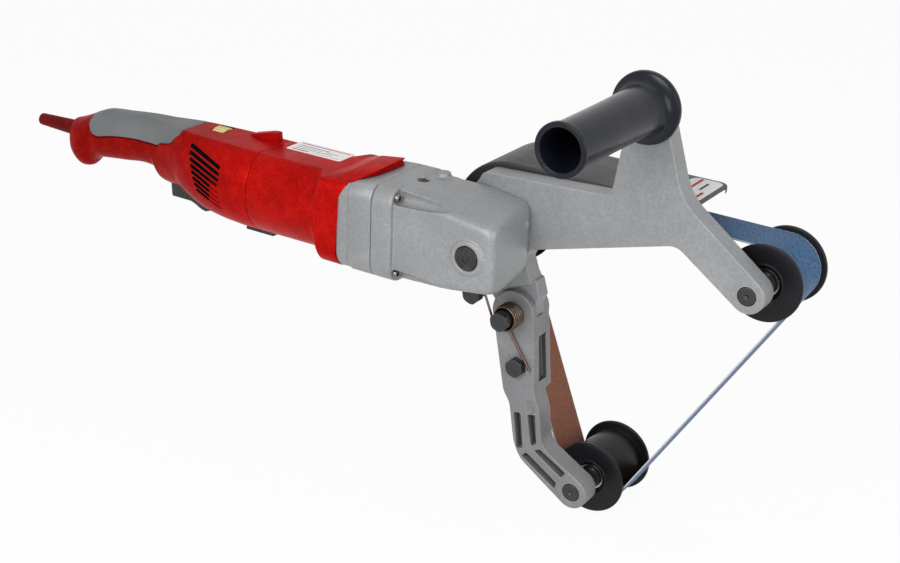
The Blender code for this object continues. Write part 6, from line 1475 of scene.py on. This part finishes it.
# %% [markdown]
# ## Turned pieces
# Rollers, axles, bearings and the side handle come off a lathe or out of a round mould, so one
# profile turned round the Y axis makes each. The rollers are crowned, a little fatter in the
# middle, which is what keeps a running belt centred. The hub recess holds the bearing.


# %% Rollers
ROLLER_NEAR_Y, ROLLER_WIDE = 60.4, 49.2
DRUM_R, CROWN = 22.9, 1.6
IDLER_FLANGE_R, IDLER_BORE_R = 29.6, 11.3


def roller_profile(flange, bore):
    near, far = ROLLER_NEAR_Y, ROLLER_NEAR_Y + ROLLER_WIDE
    crown = []
    for t in np.linspace(0, 1, 17):
        crown.append((DRUM_R + CROWN * (1 - (2 * t - 1) ** 2), near + 3.4 + (ROLLER_WIDE - 6.8) * t))
    rim = ((13.4, near + 0.5), (13.8, near - 0.1, 0.2), (14.6, near - 0.1, 0.2), (14.9, near + 0.5, 0.2))
    rim += ((flange - 4.5, near, 1.5), (flange, near + 0.3, 1.2), (flange - 0.3, near + 3.2, 0.8))
    back = ((flange - 0.3, far - 3.2, 0.8), (flange, far - 0.3, 1.2), (flange - 4.5, far, 1.5))
    hub = ((14.0, far - 0.4), (14.0, far - 3.0), (bore, far - 3.0), (bore, near + 3.0), (12.8, near + 2.4))
    return eased((*rim, *crown, *back, *hub), 0.5, 4, closed=True)


DRUMS = (
    ("upper_roller", "upper_idler", UPPER, IDLER_FLANGE_R, IDLER_BORE_R, "black_plastic"),
    ("lower_roller", "lower_idler", LOWER, IDLER_FLANGE_R, IDLER_BORE_R, "black_plastic"),
    ("drive_roller", "drive", (0.0, 0.0), 34.5, 7.5, "black_rubber"),
)
for name, body, (x, z), flange, bore, slot in DRUMS:
    made = turned(name + "_drum", roller_profile(flange, bore), "Y", (x, 0, z), 128)
    dress(made, ROLLER_BLACK, body, slot, name, smooth=30.0)

# %% [markdown]
# ## Bearings and axles
# Each idler turns on two sealed ball bearings. What shows in the hub is an outer steel ring, a
# dark rubber seal and an inner ring, so the profile has those steps, and the finish tells
# steel from seal by the distance from the axis, kept on the mesh as an attribute.


# %% Bearing finish and rings
BEARING_NEAR_Y, BEARING_FAR_Y = 63.4, 106.6


def bearing_finish():
    made = Finish("bearing_steel_and_seal")
    seal = made.add("Attribute", out="Fac", attribute_name="seal")
    fine = made.noise(0.9, 2.0)
    colour = made.mix(seal, (0.34, 0.34, 0.35), (0.012, 0.011, 0.011))
    made.feed(made.shader.inputs["Metallic"], 1.0 - seal)
    return made.show(colour, 0.22 + seal * 0.30 + (fine - 0.5) * 0.12, made.bump(fine, 0.004))


BEARING = bearing_finish()


def bearing(name, body, x, z):
    near, far = BEARING_NEAR_Y, BEARING_FAR_Y
    face = ((5.3, near), (6.9, near), (7.1, near + 0.5), (9.0, near + 0.5), (9.2, near), (10.7, near))
    back = [(r, near + far - y) for r, y in reversed(face)]
    waist = ((10.7, near + 8.0), (8.0, near + 8.0), (8.0, far - 8.0), (10.7, far - 8.0))
    profile = eased((*face, *waist, *back), 0.12, 2, closed=True)
    made = turned(name + "_rings", profile, "Y", (x, 0, z))
    seal = made.data.attributes.new("seal", "FLOAT", "POINT")
    centre = spot(x, 0, z)
    for point, vertex in zip(seal.data, made.data.vertices):
        reach = hypot(vertex.co.x - centre.x, vertex.co.z - centre.z) / MM
        point.value = 1.0 if 7.0 < reach < 9.1 else 0.0
    return dress(made, BEARING, body, "bright_steel", name, smooth=35.0)


bearing("upper_bearing", "upper_idler", *UPPER)
bearing("lower_bearing", "lower_idler", *LOWER)


# %% Axles and nuts
def axle(name, body, x, z, near):
    dimple = ((0, near + 1.6), (0.9, near + 0.9), (1.6, near + 0.3), (2.0, near))
    shoulder = ((7.0, near, 0.7), (7.0, 48.0), (8.5, 48.0), (8.5, BEARING_NEAR_Y - 0.3))
    stem = (*shoulder, (5.0, BEARING_NEAR_Y - 0.3), (5.0, 113.9), (0, 113.9))
    made = turned(name + "_pin", eased((*dimple, *stem), 0.4, 3), "Y", (x, 0, z), 64)
    return dress(made, AXLE_DARK, body, "black_steel", name, smooth=35.0)


def nut(name, body, x, z, near, far, flats, bore):
    """A hexagon nut with turned-down corners; every ring is a hexagon cut by a circle."""
    corner = flats / HEXAGON_FLAT
    rows = ((bore, near), (flats * 0.96, near), (flats * 1.06, near + 0.5), (corner, near + 1.2))
    rows += tuple((r, near + far - y) for r, y in reversed(rows))
    rings = []
    for radius, y in rows:
        ring = []
        for angle in 2 * pi * np.arange(96) / 96:
            facet = flats / cos((angle + pi / 6) % (pi / 3) - pi / 6)
            reach = min(radius, facet) if radius > bore else radius
            ring.append((x + reach * cos(angle), y, z + reach * sin(angle)))
        rings.append(ring)
    return dress(skin(name + "_hex", rings, loop=True), BRIGHT, body, "bright_steel", name, smooth=32.0)


axle("upper_axle", "machine", *UPPER, 30.4)
axle("lower_axle", "arm", *LOWER, 29.7)
for name, body, place in (("upper_axle_nut", "machine", UPPER), ("lower_axle_nut", "arm", LOWER)):
    nut(name, body, *place, 106.9, 112.4, 7.0, 5.3)
nut("drive_nut", "drive", 0.0, 0.0, 110.0, 113.5, 10.8, 7.3)

# %% [markdown]
# ## Lock button
# Pressing this button holds the spindle while the drive roller is changed. It is a black disc
# in the raised ring of the gear case, with a small horseshoe sunk into its face. The mark is
# cut in with a bent bar, so it has real depth and catches the light.

# %% Button with its mark
CAP = ((0, -36.6), (8.6, -36.6, 0.3), (9.2, -35.8, 0.8), (9.2, -30.4), (2.8, -30.4), (2.8, 4.1), (0, 4.1))
MARK_OUT_R, MARK_IN_R, MARK_Z, MARK_TOP = 2.6, 1.4, -0.6, 1.8
button = turned("lock_button_cap", eased(CAP, 0.4, 4), "Y", (LOCK_X, 0, 0))
bend = arc(LOCK_X, MARK_Z, MARK_OUT_R, 180, 360, 18)
bend += [(LOCK_X + reach, MARK_TOP) for reach in (MARK_OUT_R, MARK_IN_R)]
bend += arc(LOCK_X, MARK_Z, MARK_IN_R, 360, 180, 14)
bend += [(LOCK_X - reach, MARK_TOP) for reach in (MARK_IN_R, MARK_OUT_R)]
join(button, plate("mark_form", bend, -38.0, -35.9))
dress(button, BLACK, "lock_button", "black_plastic", "lock_button", smooth=35.0)

# %% [markdown]
# ## Side handle
# The side handle is a hollow rubber grip that flares into a wide guard against the frame. A
# groove behind its mouth leaves a lip, and the flare is a smooth trumpet. One closed profile
# makes the outside, the mouth and the deep hollow, down to the floor that the bolt clamps.

# %% Handle profile
TRUMPET = (
    (-87.5, 17.4), (-40.1, 17.4), (8.0, 18.1), (15.2, 18.5), (19.5, 19.4), (22.4, 21.2), (24.5, 24.2),
    (25.4, 26.0),
)
MOUTH = (
    (15.2, -93.2, 0.5), (16.6, -93.3, 0.2), (16.8, -93.7, 0.2), (18.6, -93.7, 0.6), (19.1, -92.9, 0.5),
    (19.1, -90.0, 0.5), (18.7, -89.3, 0.3), (17.3, -89.0, 0.5), (17.1, -88.2, 0.4),
)
RIM = ((26.6, 26.8, 0.8), (26.6, 29.7, 0.7), (25.8, 30.4, 0.4), (5.3, 30.4))
HOLLOW = ((5.3, 19.4), (13.4, 19.4, 1.2), (15.2, 17.0, 2.0))
grip_radius = flowing(TRUMPET)
flare = [(grip_radius(y)[0], y) for y in (*np.linspace(-87.0, 8.0, 16), *np.linspace(10.0, 25.4, 18))]
profile = eased((*MOUTH, *flare, *RIM, *HOLLOW), 0.4, 4, closed=True)
handle = turned("side_handle_grip", profile, "Y", (HANDLE[0], 0, HANDLE[1]), 128)
dress(handle, HANDLE_RUBBER, "machine", "black_rubber", "side_handle", smooth=35.0)

# %% [markdown]
# ## Sections that follow a path
# The belt and the spring are each one constant section carried along a line: a flat strip
# round three rollers, and a round wire through five coils and two legs. The object's own edges
# are that line. The tree samples it evenly, takes the outward direction from the line and the
# spindle's axis, and lifts a grid onto it. So one tree class serves both, with other formulas.


# %% Path tree
class PathRecipe(Recipe):
    """A section carried along the line that the object's edges give."""

    def __init__(self, name, stations, around):
        super().__init__(name)
        self.stations = stations
        self.flat, self.along, self.around = self.grid(stations + 1, around)
        line = self.node("GeometryNodeMeshToCurve", {"Mesh": self.given})
        sample = {"Curves": line, "Factor": self.along}
        self.at = self.node("GeometryNodeSampleCurve", sample, out="Position", mode="FACTOR")
        tangent = Wire(self, self.at.socket.node.outputs["Tangent"])
        self.outward = self.vector("NORMALIZE", self.vector("CROSS_PRODUCT", tuple(Y_AXIS), tangent))
        self.sideways = self.vector("CROSS_PRODUCT", tangent, self.outward)

    def vector(self, operation, a, b=(0.0, 0.0, 0.0), scale=1.0):
        made = self.tree.nodes.new("ShaderNodeVectorMath")
        made.operation = operation
        self.feed(made.inputs[0], a)
        if operation == "SCALE":
            self.feed(made.inputs["Scale"], scale)
        elif operation != "NORMALIZE":
            self.feed(made.inputs[1], b)
        return Wire(self, made.outputs[0])

    def keep(self, name, value):
        """Leaves a number on every point, for the finish to read."""
        inputs = {"Geometry": self.flat, "Name": name, "Value": value}
        self.flat = self.node("GeometryNodeStoreNamedAttribute", inputs, data_type="FLOAT", domain="POINT")

    def lay(self, out, side):
        """Places the section: so far outward from the line and so far sideways."""
        lifted = self.vector("ADD", self.at, self.vector("SCALE", self.outward, scale=out))
        placed = self.vector("ADD", lifted, self.vector("SCALE", self.sideways, scale=side))
        return self.end(self.bent(self.flat, placed, 1e-5))


def line_object(name, points, closed):
    """A row of edges through the points, for a path tree to follow."""
    count = len(points)
    edges = [(i, (i + 1) % count) for i in range(count if closed else count - 1)]
    mesh = bpy.data.meshes.new(name)
    mesh.from_pydata([spot(*point) for point in points], edges, [])
    return linked(name, mesh)


def bending(made, slot, node, start, end, smooth):
    """The last step of a piece that runs between the machine and the arm: its shading, its node hidden and
    its place kept in its points.
    """
    shaded(made.data, smooth)
    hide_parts(node)
    tuple(spot(*start))
    tuple(spot(*end))
    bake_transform(made)


print("path trees ready")

# %% [markdown]
# ## The abrasive belt
# The belt is a closed loop of cloth, 40 mm wide, coated with blue grit on its outside. Its line
# is the tangents and arcs round the three rollers. The cut edges fray a little, so noise nibbles
# at the strip's width, and two numbers left on the points tell the finish where the cloth side
# and the edges are.


# %% Belt finish
def belt_finish():
    made = Finish("blue_abrasive_cloth", Specular_IOR_Level=0.30, Sheen_Weight=0.22, Sheen_Roughness=0.35)
    across = made.add("Attribute", out="Fac", attribute_name="across")
    cloth = made.add("Attribute", out="Fac", attribute_name="cloth")
    run = made.add("Attribute", out="Fac", attribute_name="run")
    grit = made.cells(1.1)
    clump = made.noise(0.62, 5.0)
    patch = made.noise(0.018, 4.0)
    glint = made.band(grit, 0.06, 0.20, 1.0, 0.0) * made.band(made.noise(0.8, 2.0), 0.48, 0.62)
    pit = made.band(made.noise(1.3, 2.0), 0.56, 0.70)
    blue = made.mix(made.band(clump, 0.38, 0.62), (0.022, 0.066, 0.150), (0.078, 0.180, 0.340))
    blue = made.mix(made.band(patch, 0.35, 0.65) * 0.35, blue, (0.040, 0.098, 0.195))
    blue = made.mix(pit * 0.45, blue, (0.018, 0.050, 0.110))
    blue = made.mix(glint * 0.90, blue, (0.50, 0.60, 0.68))
    warp = made.maths("SINE", run * (2 * pi * 1100.0))
    weft = made.maths("SINE", across * (2 * pi * 44.0))
    weave = made.band(warp * weft, -0.9, 0.9)
    back = made.mix(weave * 0.6, (0.300, 0.118, 0.070), (0.390, 0.175, 0.115))
    back = made.mix(made.band(clump, 0.40, 0.62) * 0.60, back, (0.190, 0.072, 0.042))
    back = made.mix(made.band(patch, 0.40, 0.62) * 0.35, back, (0.230, 0.085, 0.048))
    colour = made.mix(cloth, blue, back)
    rim = made.maths("ABSOLUTE", across - 0.5)
    ragged = made.band(rim + (made.noise(0.9, 3.0) - 0.5) * 0.050, 0.480, 0.490)
    colour = made.mix(ragged * 0.85, colour, (0.56, 0.58, 0.62))
    height = grit * (1.0 - cloth) + weave * cloth
    return made.show(colour, 0.86 - glint * 0.35, made.bump(height, 0.10, made.bump(clump, 0.05)))


ABRASIVE = belt_finish()
print("belt finish: blue grit, orange cloth, frayed pale edge")

# %% Belt tree
loop_tree = PathRecipe("abrasive_loop", 1200, 42)
width = loop_tree.size("Width", 0.040)
thick = loop_tree.size("Thickness", 0.0011)
fray = loop_tree.size("Fray", 0.0007)
length = loop_tree.size("Length", 0.816)
outer_run = [i / 10 for i in range(11)]
inner_run = [1 - i / 9 for i in range(10)]
across = loop_tree.table(loop_tree.around, [*outer_run, *inner_run, 0.0])
depth = loop_tree.table(loop_tree.around, [1.0] * 11 + [0.0] * 10 + [1.0])
loop_tree.keep("across", across)
loop_tree.keep("cloth", 1.0 - depth)
loop_tree.keep("run", loop_tree.along * length)
at_edge = loop_tree.band(loop_tree.maths("ABSOLUTE", across - 0.5), 0.45, 0.50)
shifted = loop_tree.vector("ADD", loop_tree.at, loop_tree.vector("SCALE", tuple(Y_AXIS), scale=across))
nibbled = loop_tree.noise(0.7, 4.0, where=shifted) * at_edge * fray
loop_tree.lay(depth * thick, (across - 0.5) * (width - nibbled * 2.0))

# %% Belt line and belt
BELT_IN_R = 24.8
BELT_MID_Y = 85.0
ROLLERS = ((0.0, 0.0), LOWER, UPPER)


def belt_line():
    """The inside of the loop, anticlockwise round the three rollers."""
    steps, straight, points = 40, 24, []
    for i, (cx, cz) in enumerate(ROLLERS):
        before, after = ROLLERS[i - 1], ROLLERS[(i + 1) % len(ROLLERS)]
        come = atan2(cz - before[1], cx - before[0]) - pi / 2
        leave = atan2(after[1] - cz, after[0] - cx) - pi / 2
        points += swept(cx, cz, BELT_IN_R, come, (leave - come) % (2 * pi), steps)
        start = points[-1]
        end = (after[0] + BELT_IN_R * cos(leave), after[1] + BELT_IN_R * sin(leave))
        for share in np.linspace(0, 1, straight + 1)[1:-1]:
            points.append(tuple(start[k] + (end[k] - start[k]) * share for k in (0, 1)))
    return points


flat_line = belt_line()
rounds = sum(hypot(p[0] - q[0], p[1] - q[1]) for p, q in zip(flat_line, flat_line[1:] + flat_line[:1]))
belt = line_object("abrasive_belt", [(x, BELT_MID_Y, z) for x, z in flat_line], True)
loop_tree.make(belt, ABRASIVE, Length=rounds * MM)
bending(belt, "abrasive_cloth", "belt", (60, BELT_MID_Y, -32), (60, BELT_MID_Y, -172), 40.0)
print("belt: %.1f mm round, %d faces" % (rounds, len(belt.data.polygons)))

# %% [markdown]
# ## The tension spring
# A torsion spring round the arm's pivot pushes the arm out. Its upper leg rests on the upper
# stop bolt and its lower leg on the arm's own bolt, so the legs' directions are the tangents
# that pass the coil on one side and the bolt on the other. The wire is round all the way.

# %% Spring tree, line and spring
wire_tree = PathRecipe("round_wire", 760, 16)
wire_r = wire_tree.size("Wire radius", 0.001)
turned_by = wire_tree.around * (2 * pi)
from_start = wire_tree.along * wire_tree.stations
from_end = (1.0 - wire_tree.along) * wire_tree.stations
closing = wire_tree.maths("MINIMUM", wire_tree.maths("MINIMUM", from_start, from_end), 1.0)
wire_out = wire_tree.maths("COSINE", turned_by) * closing * wire_r
wire_tree.lay(wire_out, wire_tree.maths("SINE", turned_by) * closing * wire_r)

COIL_R = 9.4
WIRE_R = 1.0
COIL_NEAR_Y, COIL_FAR_Y = 15.8, 28.4
UPPER_LEG, LOWER_LEG = 26.0, 47.0


def leg_direction(stop, stop_r, side):
    """Along the line that touches the coil on one side and a stop bolt on the other."""
    dx, dz = stop[0] - PIVOT[0], stop[1] - PIVOT[1]
    return atan2(dz, dx) + side * asin((COIL_R + stop_r + WIRE_R + 0.3) / hypot(dx, dz))


def leg_tip(start, long, direction):
    return start[0] + long * cos(direction), start[1], start[2] + long * sin(direction)


upper = leg_direction(STOP_UP, STOP_SLEEVE_R, -1)
lower = leg_direction(STOP_LOW, HEX_HEAD_R, 1)
coil_start, coil_end = upper + pi / 2, lower - pi / 2
turns = 5 + (coil_end - coil_start) / (2 * pi) % 1
coil = []
for share in np.linspace(0, 1, int(turns * 48)):
    angle = coil_start + 2 * pi * turns * share
    y = COIL_NEAR_Y + (COIL_FAR_Y - COIL_NEAR_Y) * share
    coil.append((PIVOT[0] + COIL_R * cos(angle), y, PIVOT[1] + COIL_R * sin(angle)))
line = [leg_tip(coil[0], UPPER_LEG, upper), *coil, leg_tip(coil[-1], LOWER_LEG, lower)]
spring = line_object("torsion_spring", line, False)
wire_tree.make(spring, SPRING_WIRE, Wire_radius=WIRE_R * MM)
spring_y = 22.0
ends = [(x, spring_y, z) for x, z in (PIVOT, STOP_LOW)]
bending(spring, "spring_steel", "tension_spring", *ends, 60.0)
print("spring: %.3f turns" % turns)

# %% [markdown]
# ## The belt guard
# The guard is one bent sheet: a round hood over the drive roller that runs on as a flat cover
# above the upper run of the belt. It has a screw flange towards the frame and a rolled hem at
# its far edge. One section with rounded bends is carried round the arc and along the flat.

# %% Guard sheet
GUARD_R = 47.5
SHEET = 1.5
GUARD_NEAR_Y, GUARD_FAR_Y = 48.0, 112.0
GUARD_END_X, GUARD_CORNER = 152.5, 9.0


def guard_section(trim):
    far, under = GUARD_FAR_Y - trim, GUARD_R - SHEET
    inner_y, hem, flange = GUARD_NEAR_Y + SHEET, under - 3.5, under - 13.0
    outside = ((GUARD_NEAR_Y, GUARD_R, 1.7), (far, GUARD_R, 1.5), (far, hem, 0.5), (far - SHEET, hem, 0.5))
    inside = ((far - SHEET, under), (inner_y, under), (inner_y, flange), (GUARD_NEAR_Y, flange))
    return eased((*outside, *inside), 0.4, 4, closed=True)


stations = [((0.0, radians(degrees)), 0.0) for degrees in np.linspace(207.0, 90.0, 60)]
flat_end = GUARD_END_X - GUARD_CORNER
stations += [((x, pi / 2), 0.0) for x in np.linspace(0.0, flat_end, 12)[1:]]
for angle in np.linspace(0.0, pi / 2, 10)[1:]:
    stations.append(((flat_end + GUARD_CORNER * sin(angle), pi / 2), GUARD_CORNER * (1 - cos(angle))))
rings = []
for (foot, angle), trim in stations:
    rings.append([(foot + h * cos(angle), y, h * sin(angle)) for y, h in guard_section(trim)])
guard = skin("guard_hood", rings, smooth=35.0)
for x in GUARD_SCREW_XS:
    drilled(guard, x, GUARD_SCREW_Z, SCREW_HOLE, 47.0, 50.5)
dress(guard, GUARD_SHEET, "machine", "dark_sheet", "belt_guard", smooth=35.0)

# %% [markdown]
# ## The speed wheel
# A finely toothed wheel of pale yellow plastic sets the speed; only its rim stands out of the
# grip. A row of equal teeth is a formula of the angle, so a small tree makes the whole wheel.

# %% Wheel tree and wheel
wheel_tree = Recipe("toothed_wheel")
wheel_r = wheel_tree.size("Radius", 0.0126)
half_wide = wheel_tree.size("Half width", 0.006)
bore_r = wheel_tree.size("Bore", 0.002)
teeth = wheel_tree.size("Teeth", 20.0)
tooth = wheel_tree.size("Tooth depth", 0.0005)
RIM_RISE, SIDE_FALL = (0.0, 0.0, 0.6, 0.93, 0.97), (0.5, 1.0, 1.0, 1.0, 0.97, 0.90, 0.75, 0.6)
flat, section, turn_share = wheel_tree.grid(17, 240)
rim_share = wheel_tree.table(section, (*RIM_RISE, *[1.0] * 7, *RIM_RISE[::-1]))
side_table = (*SIDE_FALL, 0.5, 0.4, 0.25, 0.10, 0.03, 0.0, 0.0, 0.0, 0.5)
side_share = wheel_tree.table(section, side_table)
angle = turn_share * (2 * pi)
dip = (wheel_tree.maths("COSINE", angle * teeth) * 0.5 + 0.5) ** 2.0
reach = bore_r + (wheel_r - bore_r - dip * tooth) * rim_share
up, across = reach * wheel_tree.maths("SINE", angle), reach * wheel_tree.maths("COSINE", angle)
spread = {"X": (side_share - 0.5) * 2.0 * half_wide, "Y": across, "Z": up}
whole = wheel_tree.bent(flat, wheel_tree.add("CombineXYZ", spread), 1e-6)
stood = {"Points": wheel_tree.given, "Instance": whole}
wheel_tree.end(wheel_tree.node("GeometryNodeInstanceOnPoints", stood))
wheel = stand_points("dial_wheel", [(-250.0, WHEEL_Y, WHEEL_Z)], Z_AXIS)
wheel_tree.make(wheel, YELLOW)
dress(wheel, YELLOW, "speed_wheel", "pale_yellow", "speed_wheel", smooth=40.0)


# %% [markdown]
# ## Plain plates
# Two thin white films sit on the machine, one on the flat top of the motor body and one at the
# end of the guard. They are plain: a white ground with red and grey bars. The bars are a
# formula of the place, with their limits in the working frame's millimetres.


# %% Films
def film_finish(name, bars):
    """White film with bars, each given by its ink and its lows and highs along X and Y."""
    made = Finish(name, Specular_IOR_Level=0.10)
    parts = made.split(made.place)
    x, y = [(part - low) / MM for part, low in zip(parts, CROSSING[:2])]
    cloud = made.band(made.noise(0.15, 4.0), 0.4, 0.8) * 0.4
    colour = made.mix(cloud, (0.95, 0.95, 0.94), (0.86, 0.86, 0.84))
    for ink, x0, x1, y0, y1 in bars:
        colour = made.mix((x > x0) * (x < x1) * (y > y0) * (y < y1), colour, ink)
    return made.show(colour, 0.32 + made.noise(0.6, 3.0) * 0.12, made.bump(made.noise(1.5, 2.0), 0.004))


def rounded_plate(x0, x1, y0, y1, corner):
    centres = ((x1 - corner, y1 - corner), (x0 + corner, y1 - corner), (x0 + corner, y0 + corner))
    points = []
    for i, centre in enumerate((*centres, (x1 - corner, y0 + corner))):
        points += arc(*centre, corner, 90 * i, 90 * i + 90, 6)
    return points


def film(name, finish, slot, x0, x1, y0, y1, top, corner=1.5):
    outline = rounded_plate(x0, x1, y0, y1, corner)
    rings = [[(x, y, z) for x, y in outline] for z in (top - 0.10, top + 0.12)]
    return dress(skin(name, rings), finish, "machine", slot)


BAR_RED, BAR_GREY = (0.50, 0.004, 0.004), (0.035, 0.035, 0.04)
DECK_BARS = (
    (BAR_RED, -177, -130, 20.2, 21.6), (BAR_GREY, -176, -146, 15.6, 16.6), (BAR_GREY, -176, -152, 12.4, 13.2),
    (BAR_GREY, -148, -136, 12.4, 13.2), (BAR_GREY, -176, -140, 9.2, 10.0), (BAR_RED, -176, -160, 5.0, 6.6),
    (BAR_RED, -156, -130, 5.4, 6.0),
)
END_BARS = (
    (BAR_RED, 130.5, 133.2, 52.5, 107.0), (BAR_RED, 143.0, 145.6, 57.0, 80.0),
    (BAR_GREY, 125.5, 127.0, 66.0, 96.0), (BAR_GREY, 138.4, 140.6, 84.0, 100.0),
    (BAR_GREY, 136.4, 137.0, 58.0, 76.0), (BAR_GREY, 138.6, 139.2, 58.0, 76.0),
)
deck_print = film_finish("deck_film_print", DECK_BARS)
film("deck_film", deck_print, "red_housing", -180.0, -127.0, 2.5, 24.0, DECK_Z)
end_print = film_finish("guard_film_print", END_BARS)
film("guard_film", end_print, "dark_sheet", 124.0, 149.2, 51.2, 108.4, GUARD_R, 6.0)
print("films: deck and guard end")

# %% [markdown]
# ## The nodes that keep their CAD shape
# Fourteen nodes sit inside the housings or the drive roller. They show only in a cut or an
# opened view, and their shapes are right, so each only gets a better finish.

# %% Finishes of the carried-over nodes
CARRIED = (
    (BRIGHT, ("spindle", "spindle_bearing", "motor_shaft", "crown_gear", "rear_bearing", "front_bearing")),
    (COPPER, ("armature_core", "commutator")),
    (IRON, ("stator",)),
    (CARBON, ("carbon_brush_upper", "carbon_brush_lower")),
    (BLACK, ("fan", "rear_spider", "switch_block")),
)
carried = [(finish, nodes[name]) for finish, names in CARRIED for name in names]
for finish, node in carried:
    node.data.materials.clear()
    node.data.materials.append(finish)
print("nodes that keep their CAD shape:", len(carried), "of", sum(not n.hide_render for n in nodes.values()))

# %% [markdown]
# ## The size of the dressed model
# The looks must not change the object's size. The CAD box was kept at the start, and the box
# of the dressed model is kept beside it in one table, and printed, so that the two can be compared.

# %% Sizes
dressed_low, dressed_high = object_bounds()
sizes = {
    "cad": [list(cad_low), list(cad_high)],
    "visual": [list(dressed_low), list(dressed_high)],
}
print("dressed box in mm:", [round(v * 1000, 1) for v in dressed_high - dressed_low])
